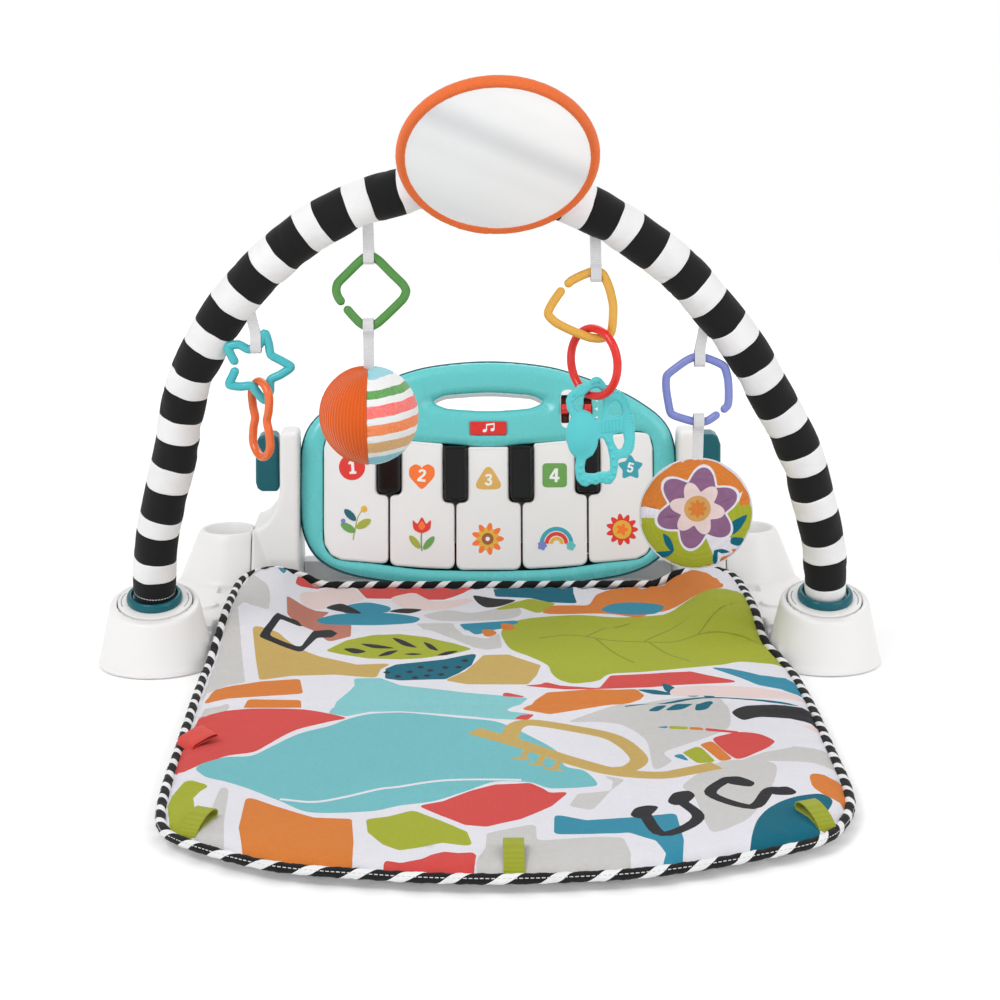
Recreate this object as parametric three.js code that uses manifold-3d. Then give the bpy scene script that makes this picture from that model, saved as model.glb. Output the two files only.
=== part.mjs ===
// Activity play gym: a padded floor mat, a two-footed base that carries a kick
// piano, and a leaning fabric-covered toy arch with a soft mirror and four
// hanging toy chains. Millimetres, +Z up. Origin on the floor, midway between
// the two arch feet; +X to the right, +Y away from the child towards the piano.
import * as THREE from "three";
import { mergeVertices } from "three/addons/utils/BufferGeometryUtils.js";
import Module from "manifold-3d";

const wasm = await Module();
wasm.setup();

// ---------------------------------------------------------------- dimensions
const FOOT_X = 303;          // arch foot centre, either side
const FOOT_TOP = 58;         // height of the foot's sloping top plane on its axis
const FOOT_R = 52.5;         // foot radius on the floor
const ARCH_LEAN = 14.4;      // degrees the arch leans towards the child
const ARCH_END_X = 303.2;    // arch tube end, either side
const SOCKET_R = 21.3;       // arch socket bore
const SOCKET_TUBE_R = 25;    // wall left standing round each socket, outside radius
const SLEEVE_R = 19.4;       // padded sleeve, outside radius
const SLEEVE_BORE = 13.4;    // padded sleeve, bore over the tube
const TUBE_R = 11.4;         // arch tube, outside radius
const TUBE_BORE = 8.0;       // arch tube, bore
const REAR_X = 260;          // second arch socket, centre
const REAR_Y = 225;
const REAR_TOP = 70;
const BRIDGE_TOP = 22;       // low deck between the foot and the rear socket
const SEAM_X = 236;          // joint between the rear socket and the upright
const SEAM_HALF_GAP = 0.25;
const UPRIGHT_IN = 189.8;    // upright, inner face
const UPRIGHT_OUT = 208.6;   // upright, outer face
const UPRIGHT_TOP = 164.5;
const PIANO_LEAN = 17;       // degrees the piano leans back
const PIANO_Y = 213;         // front lower edge of the piano
const PIANO_Z = 10;
const FRONT_DEPTH = 22;      // piano front shell
const BACK_DEPTH = 50;       // piano, front face to back face
const MAT_THICK = 18;
const PIPING_R = 3.8;
const LINK_R = 3.7;          // bar radius of the plastic links
const RING_R = 3.4;          // bar radius of the rings
const RING_SIDES = 5;
const RING_STEPS = 26;
const STRAP_W = 8;           // webbing width at the links
const STRAP_HALF_THICK = 1.2;
const CURVE_SAMPLES = 400;   // evenly spaced points taken along a curve

// ------------------------------------------------------------------ materials
const material = ({ color, roughness, metalness = 0 }) =>
  new THREE.MeshStandardMaterial({ color, roughness, metalness });
const WHITE = material({ color: 0xe9e9e8, roughness: 0.38 });
const TEAL = material({ color: 0x6cc8c8, roughness: 0.32 });
const DARK_TEAL = material({ color: 0x00636b, roughness: 0.25 });
const BLACK = material({ color: 0x151515, roughness: 0.18 });
const FABRIC = material({ color: 0xe4e2e4, roughness: 0.9 });
const STRIPE = material({ color: 0x2a2a2a, roughness: 0.9 });
const LIME = material({ color: 0xa3a838, roughness: 0.85 });
const RED = material({ color: 0xdd3a30, roughness: 0.35 });
const ORANGE = material({ color: 0xe8733a, roughness: 0.4 });
const GREEN = material({ color: 0x4f8f3d, roughness: 0.4 });
const MUSTARD = material({ color: 0xd9a441, roughness: 0.4 });
const PERIWINKLE = material({ color: 0x8088cc, roughness: 0.4 });
const AQUA = material({ color: 0x6ccccc, roughness: 0.45 });
const ORANGE_CLOTH = material({ color: 0xe0642c, roughness: 0.9 });
const WEBBING = material({ color: 0xdedee0, roughness: 0.85 });
const MIRROR = material({ color: 0xd8d8da, roughness: 0.08, metalness: 0.9 });
const STEEL = material({ color: 0xb8bcc0, roughness: 0.3, metalness: 0.9 });
const TUBE_GREY = material({ color: 0xa8acb0, roughness: 0.4, metalness: 0.7 });
const CIRCUIT_GREEN = material({ color: 0x1d6b3a, roughness: 0.5 });
const CELL = material({ color: 0x9a8a4a, roughness: 0.35, metalness: 0.4 });
const CONE = material({ color: 0x2b2b2e, roughness: 0.6 });

// ------------------------------------------------------------ mesh and solids
const DEG = Math.PI / 180;
const QUARTER = Math.PI / 2;
const vec = (x, y, z) => new THREE.Vector3(x, y, z);

// Indexed geometry from a position array and triangle indices.
function meshGeometry(positions, indices) {
  const geometry = new THREE.BufferGeometry();
  geometry.setAttribute("position", new THREE.BufferAttribute(new Float32Array(positions), 3));
  geometry.setIndex(indices);
  return geometry;
}

// Positions only, welded, without collapsed triangles, and facing outwards.
function tidy(geometry) {
  let welded = geometry.index ? geometry.toNonIndexed() : geometry.clone();
  for (const key of Object.keys(welded.attributes))
    if (key !== "position") welded.deleteAttribute(key);
  welded = mergeVertices(welded, 1e-4);
  const index = welded.index.array;
  const kept = [];
  for (let i = 0; i < index.length; i += 3) {
    const [a, b, c] = [index[i], index[i + 1], index[i + 2]];
    if (a !== b && b !== c && a !== c) kept.push(a, b, c);
  }
  const corner = (i) => vec().fromBufferAttribute(welded.attributes.position, kept[i]);
  let volume = 0;
  for (let i = 0; i < kept.length; i += 3)
    volume += corner(i).dot(corner(i + 1).cross(corner(i + 2)));
  if (volume < 0)
    for (let i = 0; i < kept.length; i += 3)
      [kept[i + 1], kept[i + 2]] = [kept[i + 2], kept[i + 1]];
  welded.setIndex(kept);
  return welded;
}

function toSolid(geometry) {
  const clean = tidy(geometry);
  return new wasm.Manifold(new wasm.Mesh({
    numProp: 3,
    vertProperties: new Float32Array(clean.attributes.position.array),
    triVerts: new Uint32Array(clean.index.array),
  }));
}

function toGeometry(solid) {
  const mesh = solid.getMesh();
  const index = new THREE.BufferAttribute(new Uint32Array(mesh.triVerts), 1);
  return meshGeometry(mesh.vertProperties, index);
}

// Boolean chains on solids, with the tools given as geometries.
const subtractAll = (solid, ...tools) =>
  tools.reduce((result, tool) => result.subtract(toSolid(tool)), solid);
const addAll = (solid, ...tools) =>
  tools.reduce((result, tool) => result.add(toSolid(tool)), solid);
const cut = (body, ...tools) => toGeometry(subtractAll(toSolid(body), ...tools));
const join = (body, ...tools) => toGeometry(addAll(toSolid(body), ...tools));

// --------------------------------------------------------------- basic shapes
function block(x0, x1, y0, y1, z0, z1) {
  return new THREE.BoxGeometry(x1 - x0, y1 - y0, z1 - z0)
    .translate((x0 + x1) / 2, (y0 + y1) / 2, (z0 + z1) / 2);
}

const flatPoints = (pairs) => pairs.map(([a, b]) => new THREE.Vector2(a, b));

// Turned body about +Z from [radius, z] pairs.
function turned(profile, sides) {
  return new THREE.LatheGeometry(flatPoints(profile), sides).rotateX(QUARTER);
}

const drum = (radius, z0, z1, sides) =>
  turned([[0, z0], [radius, z0], [radius, z1], [0, z1]], sides);

// Prism on an [x, y] outline, rising along +Z. Holes run the same way round as
// the outline.
function prism(points, depth, holes = []) {
  const shape = new THREE.Shape(flatPoints(points));
  for (const hole of holes) shape.holes.push(new THREE.Path(flatPoints(hole).reverse()));
  return new THREE.ExtrudeGeometry(shape, { depth, bevelEnabled: false });
}

// Plate drawn in X and Z, with its thickness from y0 to y1.
const plate = (points, y0, y1, holes = []) =>
  prism(points, y1 - y0, holes).rotateX(QUARTER).translate(0, y1, 0);

// Prism drawn in Y and Z, running along +X from x0.
const prismAcross = (points, x0, width) =>
  prism(points, width).rotateY(QUARTER).rotateX(QUARTER).translate(x0, 0, 0);

const mirrorX = (geometry) => geometry.clone().scale(-1, 1, 1);

// Closed outline from its right half, whose first and last points lie on x = 0.
const symmetric = (half) => [...half, ...half.slice(1, -1).reverse().map(([x, z]) => [-x, z])];

// --------------------------------------------------------------------- curves
const loopCurve = (points, y = 0, tension = 0.5) => new THREE.CatmullRomCurve3(
  points.map(([x, z]) => vec(x, y, z)), true, "catmullrom", tension);

const loopPoints = (curve, count) => curve.getSpacedPoints(count).slice(0, count);

// Smooth closed outline through [x, z] points, resampled to count points.
const smoothLoop = (points, count) =>
  loopPoints(loopCurve(points), count).map((p) => [p.x, p.z]);

// Point at a fraction of the way along a list of evenly spaced points.
function pointAt(points, fraction) {
  const position = fraction * (points.length - 1);
  const k = Math.min(points.length - 2, Math.floor(position));
  return points[k].clone().lerp(points[k + 1], position - k);
}

// Bar swept along points; bore > 0 leaves it hollow from end to end.
function bar(points, radius, sides, { closed = false, bore = 0, up = vec(0, 1, 0) } = {}) {
  const count = points.length;
  const positions = [];
  const indices = [];
  const skins = bore > 0 ? [radius, bore] : [radius];
  for (const skinRadius of skins)
    for (let i = 0; i < count; i++) {
      const before = closed ? points[(i + count - 1) % count] : points[Math.max(0, i - 1)];
      const after = closed ? points[(i + 1) % count] : points[Math.min(count - 1, i + 1)];
      const tangent = after.clone().sub(before).normalize();
      const normal = up.clone().addScaledVector(tangent, -up.dot(tangent)).normalize();
      const side = tangent.clone().cross(normal);
      for (let k = 0; k < sides; k++) {
        const angle = ((k + 0.5) / sides) * 2 * Math.PI;
        const p = points[i].clone()
          .addScaledVector(normal, skinRadius * Math.cos(angle))
          .addScaledVector(side, skinRadius * Math.sin(angle));
        positions.push(p.x, p.y, p.z);
      }
    }
  const at = (skin, i, k) => skin * count * sides + (i % count) * sides + (k % sides);
  const quad = (corners, flip) => {
    const [a, b, c, d] = flip ? [...corners].reverse() : corners;
    indices.push(a, b, c, a, c, d);
  };
  for (let skin = 0; skin < skins.length; skin++)
    for (let i = 0; i < (closed ? count : count - 1); i++)
      for (let k = 0; k < sides; k++) {
        const [a, b] = [at(skin, i, k), at(skin, i + 1, k)];
        const [c, d] = [at(skin, i + 1, k + 1), at(skin, i, k + 1)];
        quad(skin === 0 ? [a, d, c, b] : [a, b, c, d], false);
      }
  if (!closed)
    for (const [i, flip] of [[0, true], [count - 1, false]]) {
      if (bore > 0)
        for (let k = 0; k < sides; k++)
          quad([at(0, i, k), at(0, i, k + 1), at(1, i, k + 1), at(1, i, k)], flip);
      else
        for (let k = 1; k < sides - 1; k++)
          if (flip) indices.push(at(0, i, 0), at(0, i, k + 1), at(0, i, k));
          else indices.push(at(0, i, 0), at(0, i, k), at(0, i, k + 1));
    }
  return meshGeometry(positions, indices);
}

// -------------------------------------------------------------- groups, frames
const gym = new THREE.Group();
gym.name = "activity_play_gym";

function add(parent, name, geometry, surface) {
  const mesh = new THREE.Mesh(tidy(geometry), surface);
  mesh.name = name;
  parent.add(mesh);
  return mesh;
}

// A left-hand piece and its mirror image.
function addPair(name, left, surface) {
  add(gym, `${name}_left`, left, surface);
  add(gym, `${name}_right`, mirrorX(left), surface);
}

// Arch frame: local +Z runs up the leaning arch plane from the foot tops.
const arch = new THREE.Group();
arch.position.set(0, 0, FOOT_TOP);
arch.rotation.x = ARCH_LEAN * DEG;
gym.add(arch);

// The same turned piece at both ends of the arch.
function addAtArchEnds(name, endX, profile, sides, surface) {
  for (const [side, sign] of [["left", -1], ["right", 1]])
    add(arch, `${name}_${side}`, turned(profile, sides), surface).position.x = sign * endX;
}

// Piano frame: local X across, local +Y into the body, local +Z up the face.
const piano = new THREE.Group();
piano.position.set(0, PIANO_Y, PIANO_Z);
piano.rotation.x = -PIANO_LEAN * DEG;
gym.add(piano);

// ------------------------------------------------------------------ base shells
const atFoot = (geometry) => geometry.translate(-FOOT_X, 0, 0);
const atLeaningFoot = (geometry) =>
  geometry.rotateX(ARCH_LEAN * DEG).translate(-FOOT_X, 0, FOOT_TOP);
const atRear = (geometry) => geometry.translate(-REAR_X, REAR_Y, 0);

// [radius, z]
const FOOT_PROFILE = [[0, 0], [FOOT_R, 0], [FOOT_R, 4], [50.6, 8], [40.6, 54], [38, 64],
  [34, 78], [0, 78]];
const REAR_PROFILE = [[0, 0], [57, 0], [57, 4], [53.5, 11], [31.5, 63], [28.5, 68.5],
  [25.5, REAR_TOP], [0, REAR_TOP]];
const BOSS_PROFILE = [[0, 0], [14, 0], [14, 24], [12.5, 25.4], [0, 25.4]];
const REAR_BORE_PROFILE = [[0, 32], [SOCKET_R, 32], [SOCKET_R, 64], [24.6, REAR_TOP + 0.01],
  [24.6, 80], [0, 80]];
// [x, y] of the left deck and of the hollow beneath it
const DECK_OUTLINE = [[-344, 6], [-311, 214], [-237, 214], [-226, 166], [-226, 64],
  [-256.5, 64], [-256.5, 4]];
const DECK_HOLLOW = [[-336, 10], [-308, 200], [-241, 200], [-241, 160], [-230, 160],
  [-230, 68], [-260.5, 68], [-260.5, 10]];

const rearSkirt = () => atRear(turned(REAR_PROFILE, 20));

function baseOuter() {
  const foot = subtractAll(toSolid(atFoot(turned(FOOT_PROFILE, 22))),
    atLeaningFoot(block(-80, 80, -80, 80, 0, 60)));
  const joined = addAll(foot,
    rearSkirt(),
    prism(DECK_OUTLINE, BRIDGE_TOP),
    turned(BOSS_PROFILE, 12).translate(-273, 106, 0));
  return subtractAll(joined, block(-SEAM_X - SEAM_HALF_GAP, -100, 150, 330, -5, 90));
}

// Open underside, with a socket tube left standing under each arch socket.
function baseHollow() {
  const hollow = addAll(
    toSolid(atFoot(turned([[0, -2], [49, -2], [38, 38], [0, 38]], 14))),
    atRear(turned([[0, -2], [53, -2], [33, 56], [0, 56]], 14)),
    prism(DECK_HOLLOW, BRIDGE_TOP + 1).translate(0, 0, -4));
  return subtractAll(hollow,
    block(-SEAM_X - 3.5, -100, 166, 330, -10, 90),
    atLeaningFoot(drum(SOCKET_TUBE_R, -42, 10, 12)),
    atRear(drum(SOCKET_TUBE_R, 28, 80, 12)));
}

function baseFrame() {
  const footBore = atLeaningFoot(drum(SOCKET_R, -38, 20, 16));
  const insertSeat = atLeaningFoot(drum(34.3, -6.4, 20, 18));
  const rearBore = atRear(turned(REAR_BORE_PROFILE, 16));
  return toGeometry(
    subtractAll(baseOuter().subtract(baseHollow()), footBore, insertSeat, rearBore));
}
addPair("base_frame", baseFrame(), WHITE);

const INSERT_BORE = SOCKET_R + 0.1;
const INSERT_PROFILE = [[INSERT_BORE, -6], [33.5, -6], [33.5, 0.2], [32.7, 0.9],
  [INSERT_BORE, 0.9], [INSERT_BORE, -6]];
addAtArchEnds("socket_insert", FOOT_X, INSERT_PROFILE, 18, WHITE);

// Left upright, [x, z]
const UPRIGHT_PROFILE = [[-UPRIGHT_IN, 0], [-UPRIGHT_IN, 158], [-192, 162.6],
  [-196, UPRIGHT_TOP], [-203, UPRIGHT_TOP], [-207, 162.6], [-UPRIGHT_OUT, 158],
  [-UPRIGHT_OUT, 108], [-210.5, 98], [-215, 86], [-222, 77], [-229, 72],
  [-SEAM_X + SEAM_HALF_GAP, 70], [-SEAM_X + SEAM_HALF_GAP, 0]];
// Wedges [y, z] that slope the upright's front and back faces with the piano
const FRONT_WEDGE = [[200, 40], [210, 40], [236, 170], [200, 170]];
const BACK_WEDGE = [[310, 26], [301, 26], [272, 170], [310, 170]];

function upright() {
  const body = subtractAll(toSolid(plate(UPRIGHT_PROFILE, 210, 300)),
    prismAcross(FRONT_WEDGE, -260, 80), prismAcross(BACK_WEDGE, -260, 80));
  // the flared skirt carries on from the rear socket across the seam
  const skirt = toSolid(rearSkirt())
    .intersect(toSolid(block(-SEAM_X + SEAM_HALF_GAP, -190, 150, 300, 0, 90)));
  const socketSpace = atRear(turned([[0, 20], [25.6, 20], [26.2, 80], [0, 80]], 12));
  const undersideHollow = block(-231.5, -194, 222, 290, -5, 58);
  return toGeometry(subtractAll(body.add(skirt), socketSpace, undersideHollow));
}
addPair("piano_upright", upright(), WHITE);

add(gym, "base_crossbar",
  cut(block(-189.4, 189.4, 276, 299, 2, 21), block(-186, 186, 279, 296, -1, 18)), WHITE);

// Left latch, [x, z]
const LATCH_OUTLINE = [[-212.6, 103], [-228, 103], [-232.4, 106], [-234, 112], [-233.2, 150],
  [-230, 158.5], [-225, 161], [-214, 161], [-210.8, 158], [-210.2, 150], [-210.2, 106.5]];
addPair("piano_latch", plate(LATCH_OUTLINE, 240, 268), DARK_TEAL);

// -------------------------------------------------------------------- the mat
// Piping centreline [x, y] down each side, from the child's end to the piano end
const MAT_RIGHT = [
  [50, -522.5], [97, -516], [140, -503], [183, -485], [219.5, -466.5], [236, -453],
  [250, -430], [261.8, -395], [266.3, -351], [266.8, -310], [267.2, -255], [267.8, -195],
  [266.8, -122], [264, -68], [258.2, -36], [250.6, -15], [247.8, 0], [246.6, 27],
  [245.5, 62], [244, 110], [242, 145], [236, 172], [224, 189], [206, 198.5], [180, 200],
  [120, 200], [60, 199.5]];
const MAT_LEFT = [
  [-50, -522], [-90, -515.5], [-132.7, -507.3], [-158, -499], [-182, -485.5],
  [-202, -471.5], [-221, -456], [-234, -441], [-240.6, -424], [-244.4, -401],
  [-246.8, -364], [-248.2, -311.8], [-248.7, -255.8], [-249.9, -196], [-251, -124],
  [-251.2, -70], [-250, -36], [-248.4, -10], [-247, 6], [-245.7, 27], [-244.6, 62],
  [-243.5, 110], [-242, 145], [-236, 172], [-224, 189], [-206, 198.5], [-180, 200],
  [-120, 200], [-60, 199.5]];
const piping = new THREE.CatmullRomCurve3(
  [[0, -525], ...MAT_RIGHT, [0, 199.5], ...MAT_LEFT.reverse()].map(([x, y]) => vec(x, y, 0)),
  true, "centripetal");

function ramp(value) {
  const clamped = Math.min(1, Math.max(0, value));
  return clamped * clamped * (3 - 2 * clamped);
}
// The mat climbs onto the decks at its two rear corners.
const DECK_CLIMB = 24;
const matLift = (x, y) =>
  DECK_CLIMB * ramp((Math.abs(x) - 160) / 55) * ramp((y + 60) / 120);

const PAD_EDGE_INSET = PIPING_R + 1.1;
// Pad rings: [fraction out to the edge, top as a fraction of thickness, underside z]
const PAD_RINGS = [[0.45, 1, 0], [0.78, 1, 0], [0.9, 1, 0], [0.965, 0.97, 0], [1, 0.74, 3]];

function matPad(count = 66) {
  const loop = loopPoints(piping, count);
  const edge = loop.map((p, i) => {
    const tangent = loop[(i + 1) % count].clone()
      .sub(loop[(i + count - 1) % count]).normalize();
    return vec(p.x - tangent.y * PAD_EDGE_INSET, p.y + tangent.x * PAD_EDGE_INSET, 0);
  });
  const centre = vec(0, -160, 0);
  const positions = [];
  const indices = [];
  const push = (p, z) => {
    positions.push(p.x, p.y, z);
    return positions.length / 3 - 1;
  };
  const topCentre = push(centre, MAT_THICK);
  const bottomCentre = push(centre, 0);
  const top = [];
  const bottom = [];
  for (const [fraction, topShare, lowZ] of PAD_RINGS) {
    const points = edge.map((p) => centre.clone().lerp(p, fraction));
    top.push(points.map((p) => push(p, matLift(p.x, p.y) + MAT_THICK * topShare)));
    bottom.push(points.map((p) => push(p, matLift(p.x, p.y) + lowZ)));
  }
  const last = PAD_RINGS.length - 1;
  for (let i = 0; i < count; i++) {
    const j = (i + 1) % count;
    indices.push(topCentre, top[0][i], top[0][j], bottomCentre, bottom[0][j], bottom[0][i]);
    for (let r = 0; r < last; r++) {
      const [t, tOut, b, bOut] = [top[r], top[r + 1], bottom[r], bottom[r + 1]];
      indices.push(t[i], tOut[i], tOut[j], t[i], tOut[j], t[j]);
      indices.push(b[i], bOut[j], bOut[i], b[i], b[j], bOut[j]);
    }
    indices.push(top[last][i], bottom[last][i], bottom[last][j]);
    indices.push(top[last][i], bottom[last][j], top[last][j]);
  }
  return meshGeometry(positions, indices);
}
add(gym, "mat_pad", matPad(), FABRIC);

const pipingPath = loopPoints(piping, 76).map((p) => vec(p.x, p.y, 10.2 + matLift(p.x, p.y)));
add(gym, "mat_binding", bar(pipingPath, PIPING_R, 5, { closed: true, up: vec(0, 0, 1) }), STRIPE);

// Flat piece lying on top of the mat, turned about Z by an angle in degrees.
function addOnMat(name, geometry, surface, { x, y, turn }) {
  const mesh = add(gym, name, geometry, surface);
  mesh.position.set(x, y, MAT_THICK + 0.4);
  mesh.rotation.z = turn * DEG;
}

// webbing toy loops folded over the mat edge, and a small sewn tag; [x, z]
const MAT_LOOP_OUTLINE = [[-17, 0], [17, 0], [17, 1.6], [13, 4.4], [-11, 4.4], [-17, 2.4]];
const MAT_TAG_OUTLINE = [[-10, 0], [11, 0], [11, 1.4], [0, 2.6], [-10, 2]];
for (const [side, place] of [
  ["left", { x: -213, y: -440, turn: 66 }],
  ["centre", { x: 12, y: -502, turn: 90 }],
  ["right", { x: 231, y: -431, turn: 115 }],
]) addOnMat(`mat_loop_${side}`, plate(MAT_LOOP_OUTLINE, -7, 7), LIME, place);
addOnMat("mat_side_tag", plate(MAT_TAG_OUTLINE, -13, 13), RED, { x: -233, y: -264, turn: 35 });

// --------------------------------------------------------------- piano shells
// Outlines below are [x, z] on the piano face; FACE_HALF is the right half.
const FACE_HALF = [[0, 0.2], [56, 2], [109, 9], [138, 14.5], [158, 22], [172, 32], [181.5, 46],
  [187.2, 64], [188.8, 88], [188.8, 118], [188, 138], [183.8, 156], [175, 170], [160, 182.5],
  [135.2, 197.2], [95.9, 212.5], [57.5, 223.4], [0, 228.3]];
const FACE_HALF_WIDTH = 188.8;
const FACE_HALF_HEIGHT = 114;
const FACE_MID_Z = 112;
const faceOutline = smoothLoop(symmetric(FACE_HALF), 46);

// Face outline shrunk about its middle by an edge distance.
function insetFace(distance) {
  const scaleX = (FACE_HALF_WIDTH - distance) / FACE_HALF_WIDTH;
  const scaleZ = (FACE_HALF_HEIGHT - distance) / FACE_HALF_HEIGHT;
  return faceOutline.map(([x, z]) => [x * scaleX, FACE_MID_Z + (z - FACE_MID_Z) * scaleZ]);
}

// Body lofted through [depth, edge inset] steps of the face outline.
function loft(steps) {
  const count = faceOutline.length;
  const positions = steps.flatMap(([y, distance]) =>
    insetFace(distance).flatMap(([x, z]) => [x, y, z]));
  const indices = [];
  for (let s = 0; s + 1 < steps.length; s++)
    for (let i = 0; i < count; i++) {
      const j = (i + 1) % count;
      const [near, far] = [s * count, (s + 1) * count];
      indices.push(near + i, near + j, far + j, near + i, far + j, far + i);
    }
  const last = (steps.length - 1) * count;
  for (const [a, b, c] of THREE.ShapeUtils.triangulateShape(flatPoints(faceOutline), []))
    indices.push(a, c, b, last + a, last + b, last + c);
  return meshGeometry(positions, indices);
}

const HANDLE_MID_Z = 188.4;
const handleHole = smoothLoop([[-55, 188.5], [-46, 194], [-34, 195.8], [0, 197.7], [34, 195.8],
  [46, 194], [55, 188.5], [46, 183], [34, 180.8], [0, 179], [-34, 180.8], [-46, 183]], 16);
const backHandleHole = handleHole.map(([x, z]) =>
  [x * 1.01, HANDLE_MID_Z + (z - HANDLE_MID_Z) * 1.05]);
const keyWindow = smoothLoop(symmetric([[0, 16], [60, 17.4], [92, 20.5], [116, 24],
  [148, 27.4], [160, 33.4], [166.6, 46], [167.6, 70], [167.6, 110], [167.4, 140],
  [163, 153], [151, 158.6], [121, 156], [91, 150.5], [48, 146.8], [0, 143.2]]), 54);

// The cavity stops below the carrying handle.
const CAVITY_TOP = 171;
const cavityOutline = (distance) =>
  insetFace(distance).map(([x, z]) => [x, Math.min(z, CAVITY_TOP)]);

// Slider centres and half travel
const MODE = { x: 77.5, z: 180, travel: 8 };
const VOLUME = { x: 100.5, z: 180, travel: 6 };
const sliderSlot = ({ x, z, travel }) =>
  block(x - 4, x + 4, -3, 13, z - travel - 6, z + travel + 6);

add(piano, "piano_front_shell", cut(
  loft([[0, 5], [1.2, 2.2], [4, 0], [FRONT_DEPTH, 0]]),
  plate(cavityOutline(5), 8, 30),
  plate(keyWindow, -5, 30),
  plate(handleHole, -5, 30),
  sliderSlot(MODE),
  sliderSlot(VOLUME),
  block(-18.8, 18.8, -2, 1.2, 153.4, 167.9)), TEAL);

const DOOR = { x0: 66, x1: 134, z0: 36, z1: 96 };  // battery door opening
const DOOR_GAP = 0.4;
add(piano, "piano_back_shell", cut(
  loft([[FRONT_DEPTH + 0.3, 0], [28, 0], [38, 4], [46, 9], [BACK_DEPTH, 14]]),
  plate(cavityOutline(17), 20, 46.5),
  plate(backHandleHole, 10, 60),
  block(DOOR.x0, DOOR.x1, 40, 60, DOOR.z0, DOOR.z1)), DARK_TEAL);

// ----------------------------------------------------------------- piano keys
const rodAlongX = (radius, length, sides) =>
  new THREE.CylinderGeometry(radius, radius, length, sides).rotateZ(QUARTER);

add(piano, "key_bed", block(-150, 150, 27.6, 29.6, 46, 146), WHITE);
add(piano, "key_hinge_rod", rodAlongX(1.8, 318, 8).translate(0, 12.8, 151.2), STEEL);

const KEY_GAP = 0.6;          // running gap round each key
const WINDOW_SIDE = 166;      // outer side of the outer white keys
// White key sides either side of the boundaries between keys
const OUTER_EDGE = 100.1;
const INNER_EDGE = 33.4;
const [OUTER_OUT, OUTER_IN] = [OUTER_EDGE + KEY_GAP, OUTER_EDGE - KEY_GAP];
const [INNER_OUT, INNER_IN] = [INNER_EDGE + KEY_GAP, INNER_EDGE - KEY_GAP];
// Black key centres, and the sides of the white-key notches round them
const OUTER_BLACK = 100.2;
const INNER_BLACK = 33.2;
const NOTCH = 12.4;
const [OUTER_NOTCH_OUT, OUTER_NOTCH_IN] = [OUTER_BLACK + NOTCH, OUTER_BLACK - NOTCH];
const [INNER_NOTCH_OUT, INNER_NOTCH_IN] = [INNER_BLACK + NOTCH, INNER_BLACK - NOTCH];

// White keys from the left end to the middle, [x, z]
const OUTER_KEY = [[-WINDOW_SIDE, 66], [-165, 46], [-158.6, 35.2], [-148.4, 29.3],
  [-115, 26.1], [-107, 27.3], [-OUTER_OUT, 34], [-OUTER_OUT, 93], [-OUTER_NOTCH_OUT, 95],
  [-OUTER_NOTCH_OUT, 152.8], [-122, 153.8], [-150, 156.6], [-159.5, 152.8], [-165.4, 141]];
const SECOND_KEY = [[-OUTER_IN, 93], [-OUTER_IN, 29], [-94, 23.6], [-89, 22.2], [-44, 19.5],
  [-38, 21.5], [-INNER_OUT, 28], [-INNER_OUT, 84.5], [-INNER_NOTCH_OUT, 87],
  [-INNER_NOTCH_OUT, 144.6], [-74, 147.2], [-OUTER_NOTCH_IN, 148.4], [-OUTER_NOTCH_IN, 95]];
const MIDDLE_KEY = [[-INNER_IN, 84.5], [-INNER_IN, 28], [-27, 20.4], [-22, 18.6], [22, 18.6],
  [27, 20.4], [INNER_IN, 28], [INNER_IN, 84.5], [INNER_NOTCH_IN, 87], [INNER_NOTCH_IN, 141.6],
  [-INNER_NOTCH_IN, 141.6], [-INNER_NOTCH_IN, 87]];
const whiteKey = (outline) => plate(outline, 1.4, 10);
[
  whiteKey(OUTER_KEY), whiteKey(SECOND_KEY), whiteKey(MIDDLE_KEY),
  mirrorX(whiteKey(SECOND_KEY)), mirrorX(whiteKey(OUTER_KEY)),
].forEach((key, i) => add(piano, `white_key_${i + 1}`, key, WHITE));

const blackKey = (x, z0, z1) => plate([[x - 11, z0 + 4], [x - 9.5, z0 + 1], [x - 7, z0],
  [x + 7, z0], [x + 9.5, z0 + 1], [x + 11, z0 + 4], [x + 11, z1], [x - 11, z1]], -2.4, 27.2);
// [centre x, lower z, upper z]
[
  [-OUTER_BLACK, 96.6, 148.2], [-INNER_BLACK, 88.6, 142.6],
  [INNER_BLACK, 88.6, 142.6], [OUTER_BLACK, 96.6, 148.2],
].forEach((place, i) => add(piano, `black_key_${i + 1}`, blackKey(...place), BLACK));

// ------------------------------------------------- piano controls and insides
add(piano, "label_plaque", block(-18.4, 18.4, -0.6, 0.9, 153.8, 167.5), RED);

// Slider body with a thin raised grip across it.
const slider = ({ x, z }) => join(
  block(x - 3.5, x + 3.5, -2.6, 12, z - 5, z + 5),
  block(x - 3.5, x + 3.5, -3.6, 2, z - 1.5, z + 1.5));
add(piano, "mode_slider", slider(MODE), RED);
add(piano, "volume_slider", slider(VOLUME), RED);

add(piano, "circuit_board", block(-52, 52, 35.5, 37.1, 60, 112), CIRCUIT_GREEN);
add(piano, "speaker", turned([[0, 0], [16, 0], [16, 4], [25, 7], [25, 9.4], [0, 9.4]], 16)
  .rotateX(QUARTER).translate(-98, 46, 74), CONE);
[46, 66, 86].forEach((z, i) =>
  add(piano, `battery_${i + 1}`, rodAlongX(7, 50, 12).translate(100, 38.4, z), CELL));
add(piano, "battery_door", block(DOOR.x0 + DOOR_GAP, DOOR.x1 - DOOR_GAP, 47.2,
  BACK_DEPTH - 0.2, DOOR.z0 + DOOR_GAP, DOOR.z1 - DOOR_GAP), DARK_TEAL);

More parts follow.
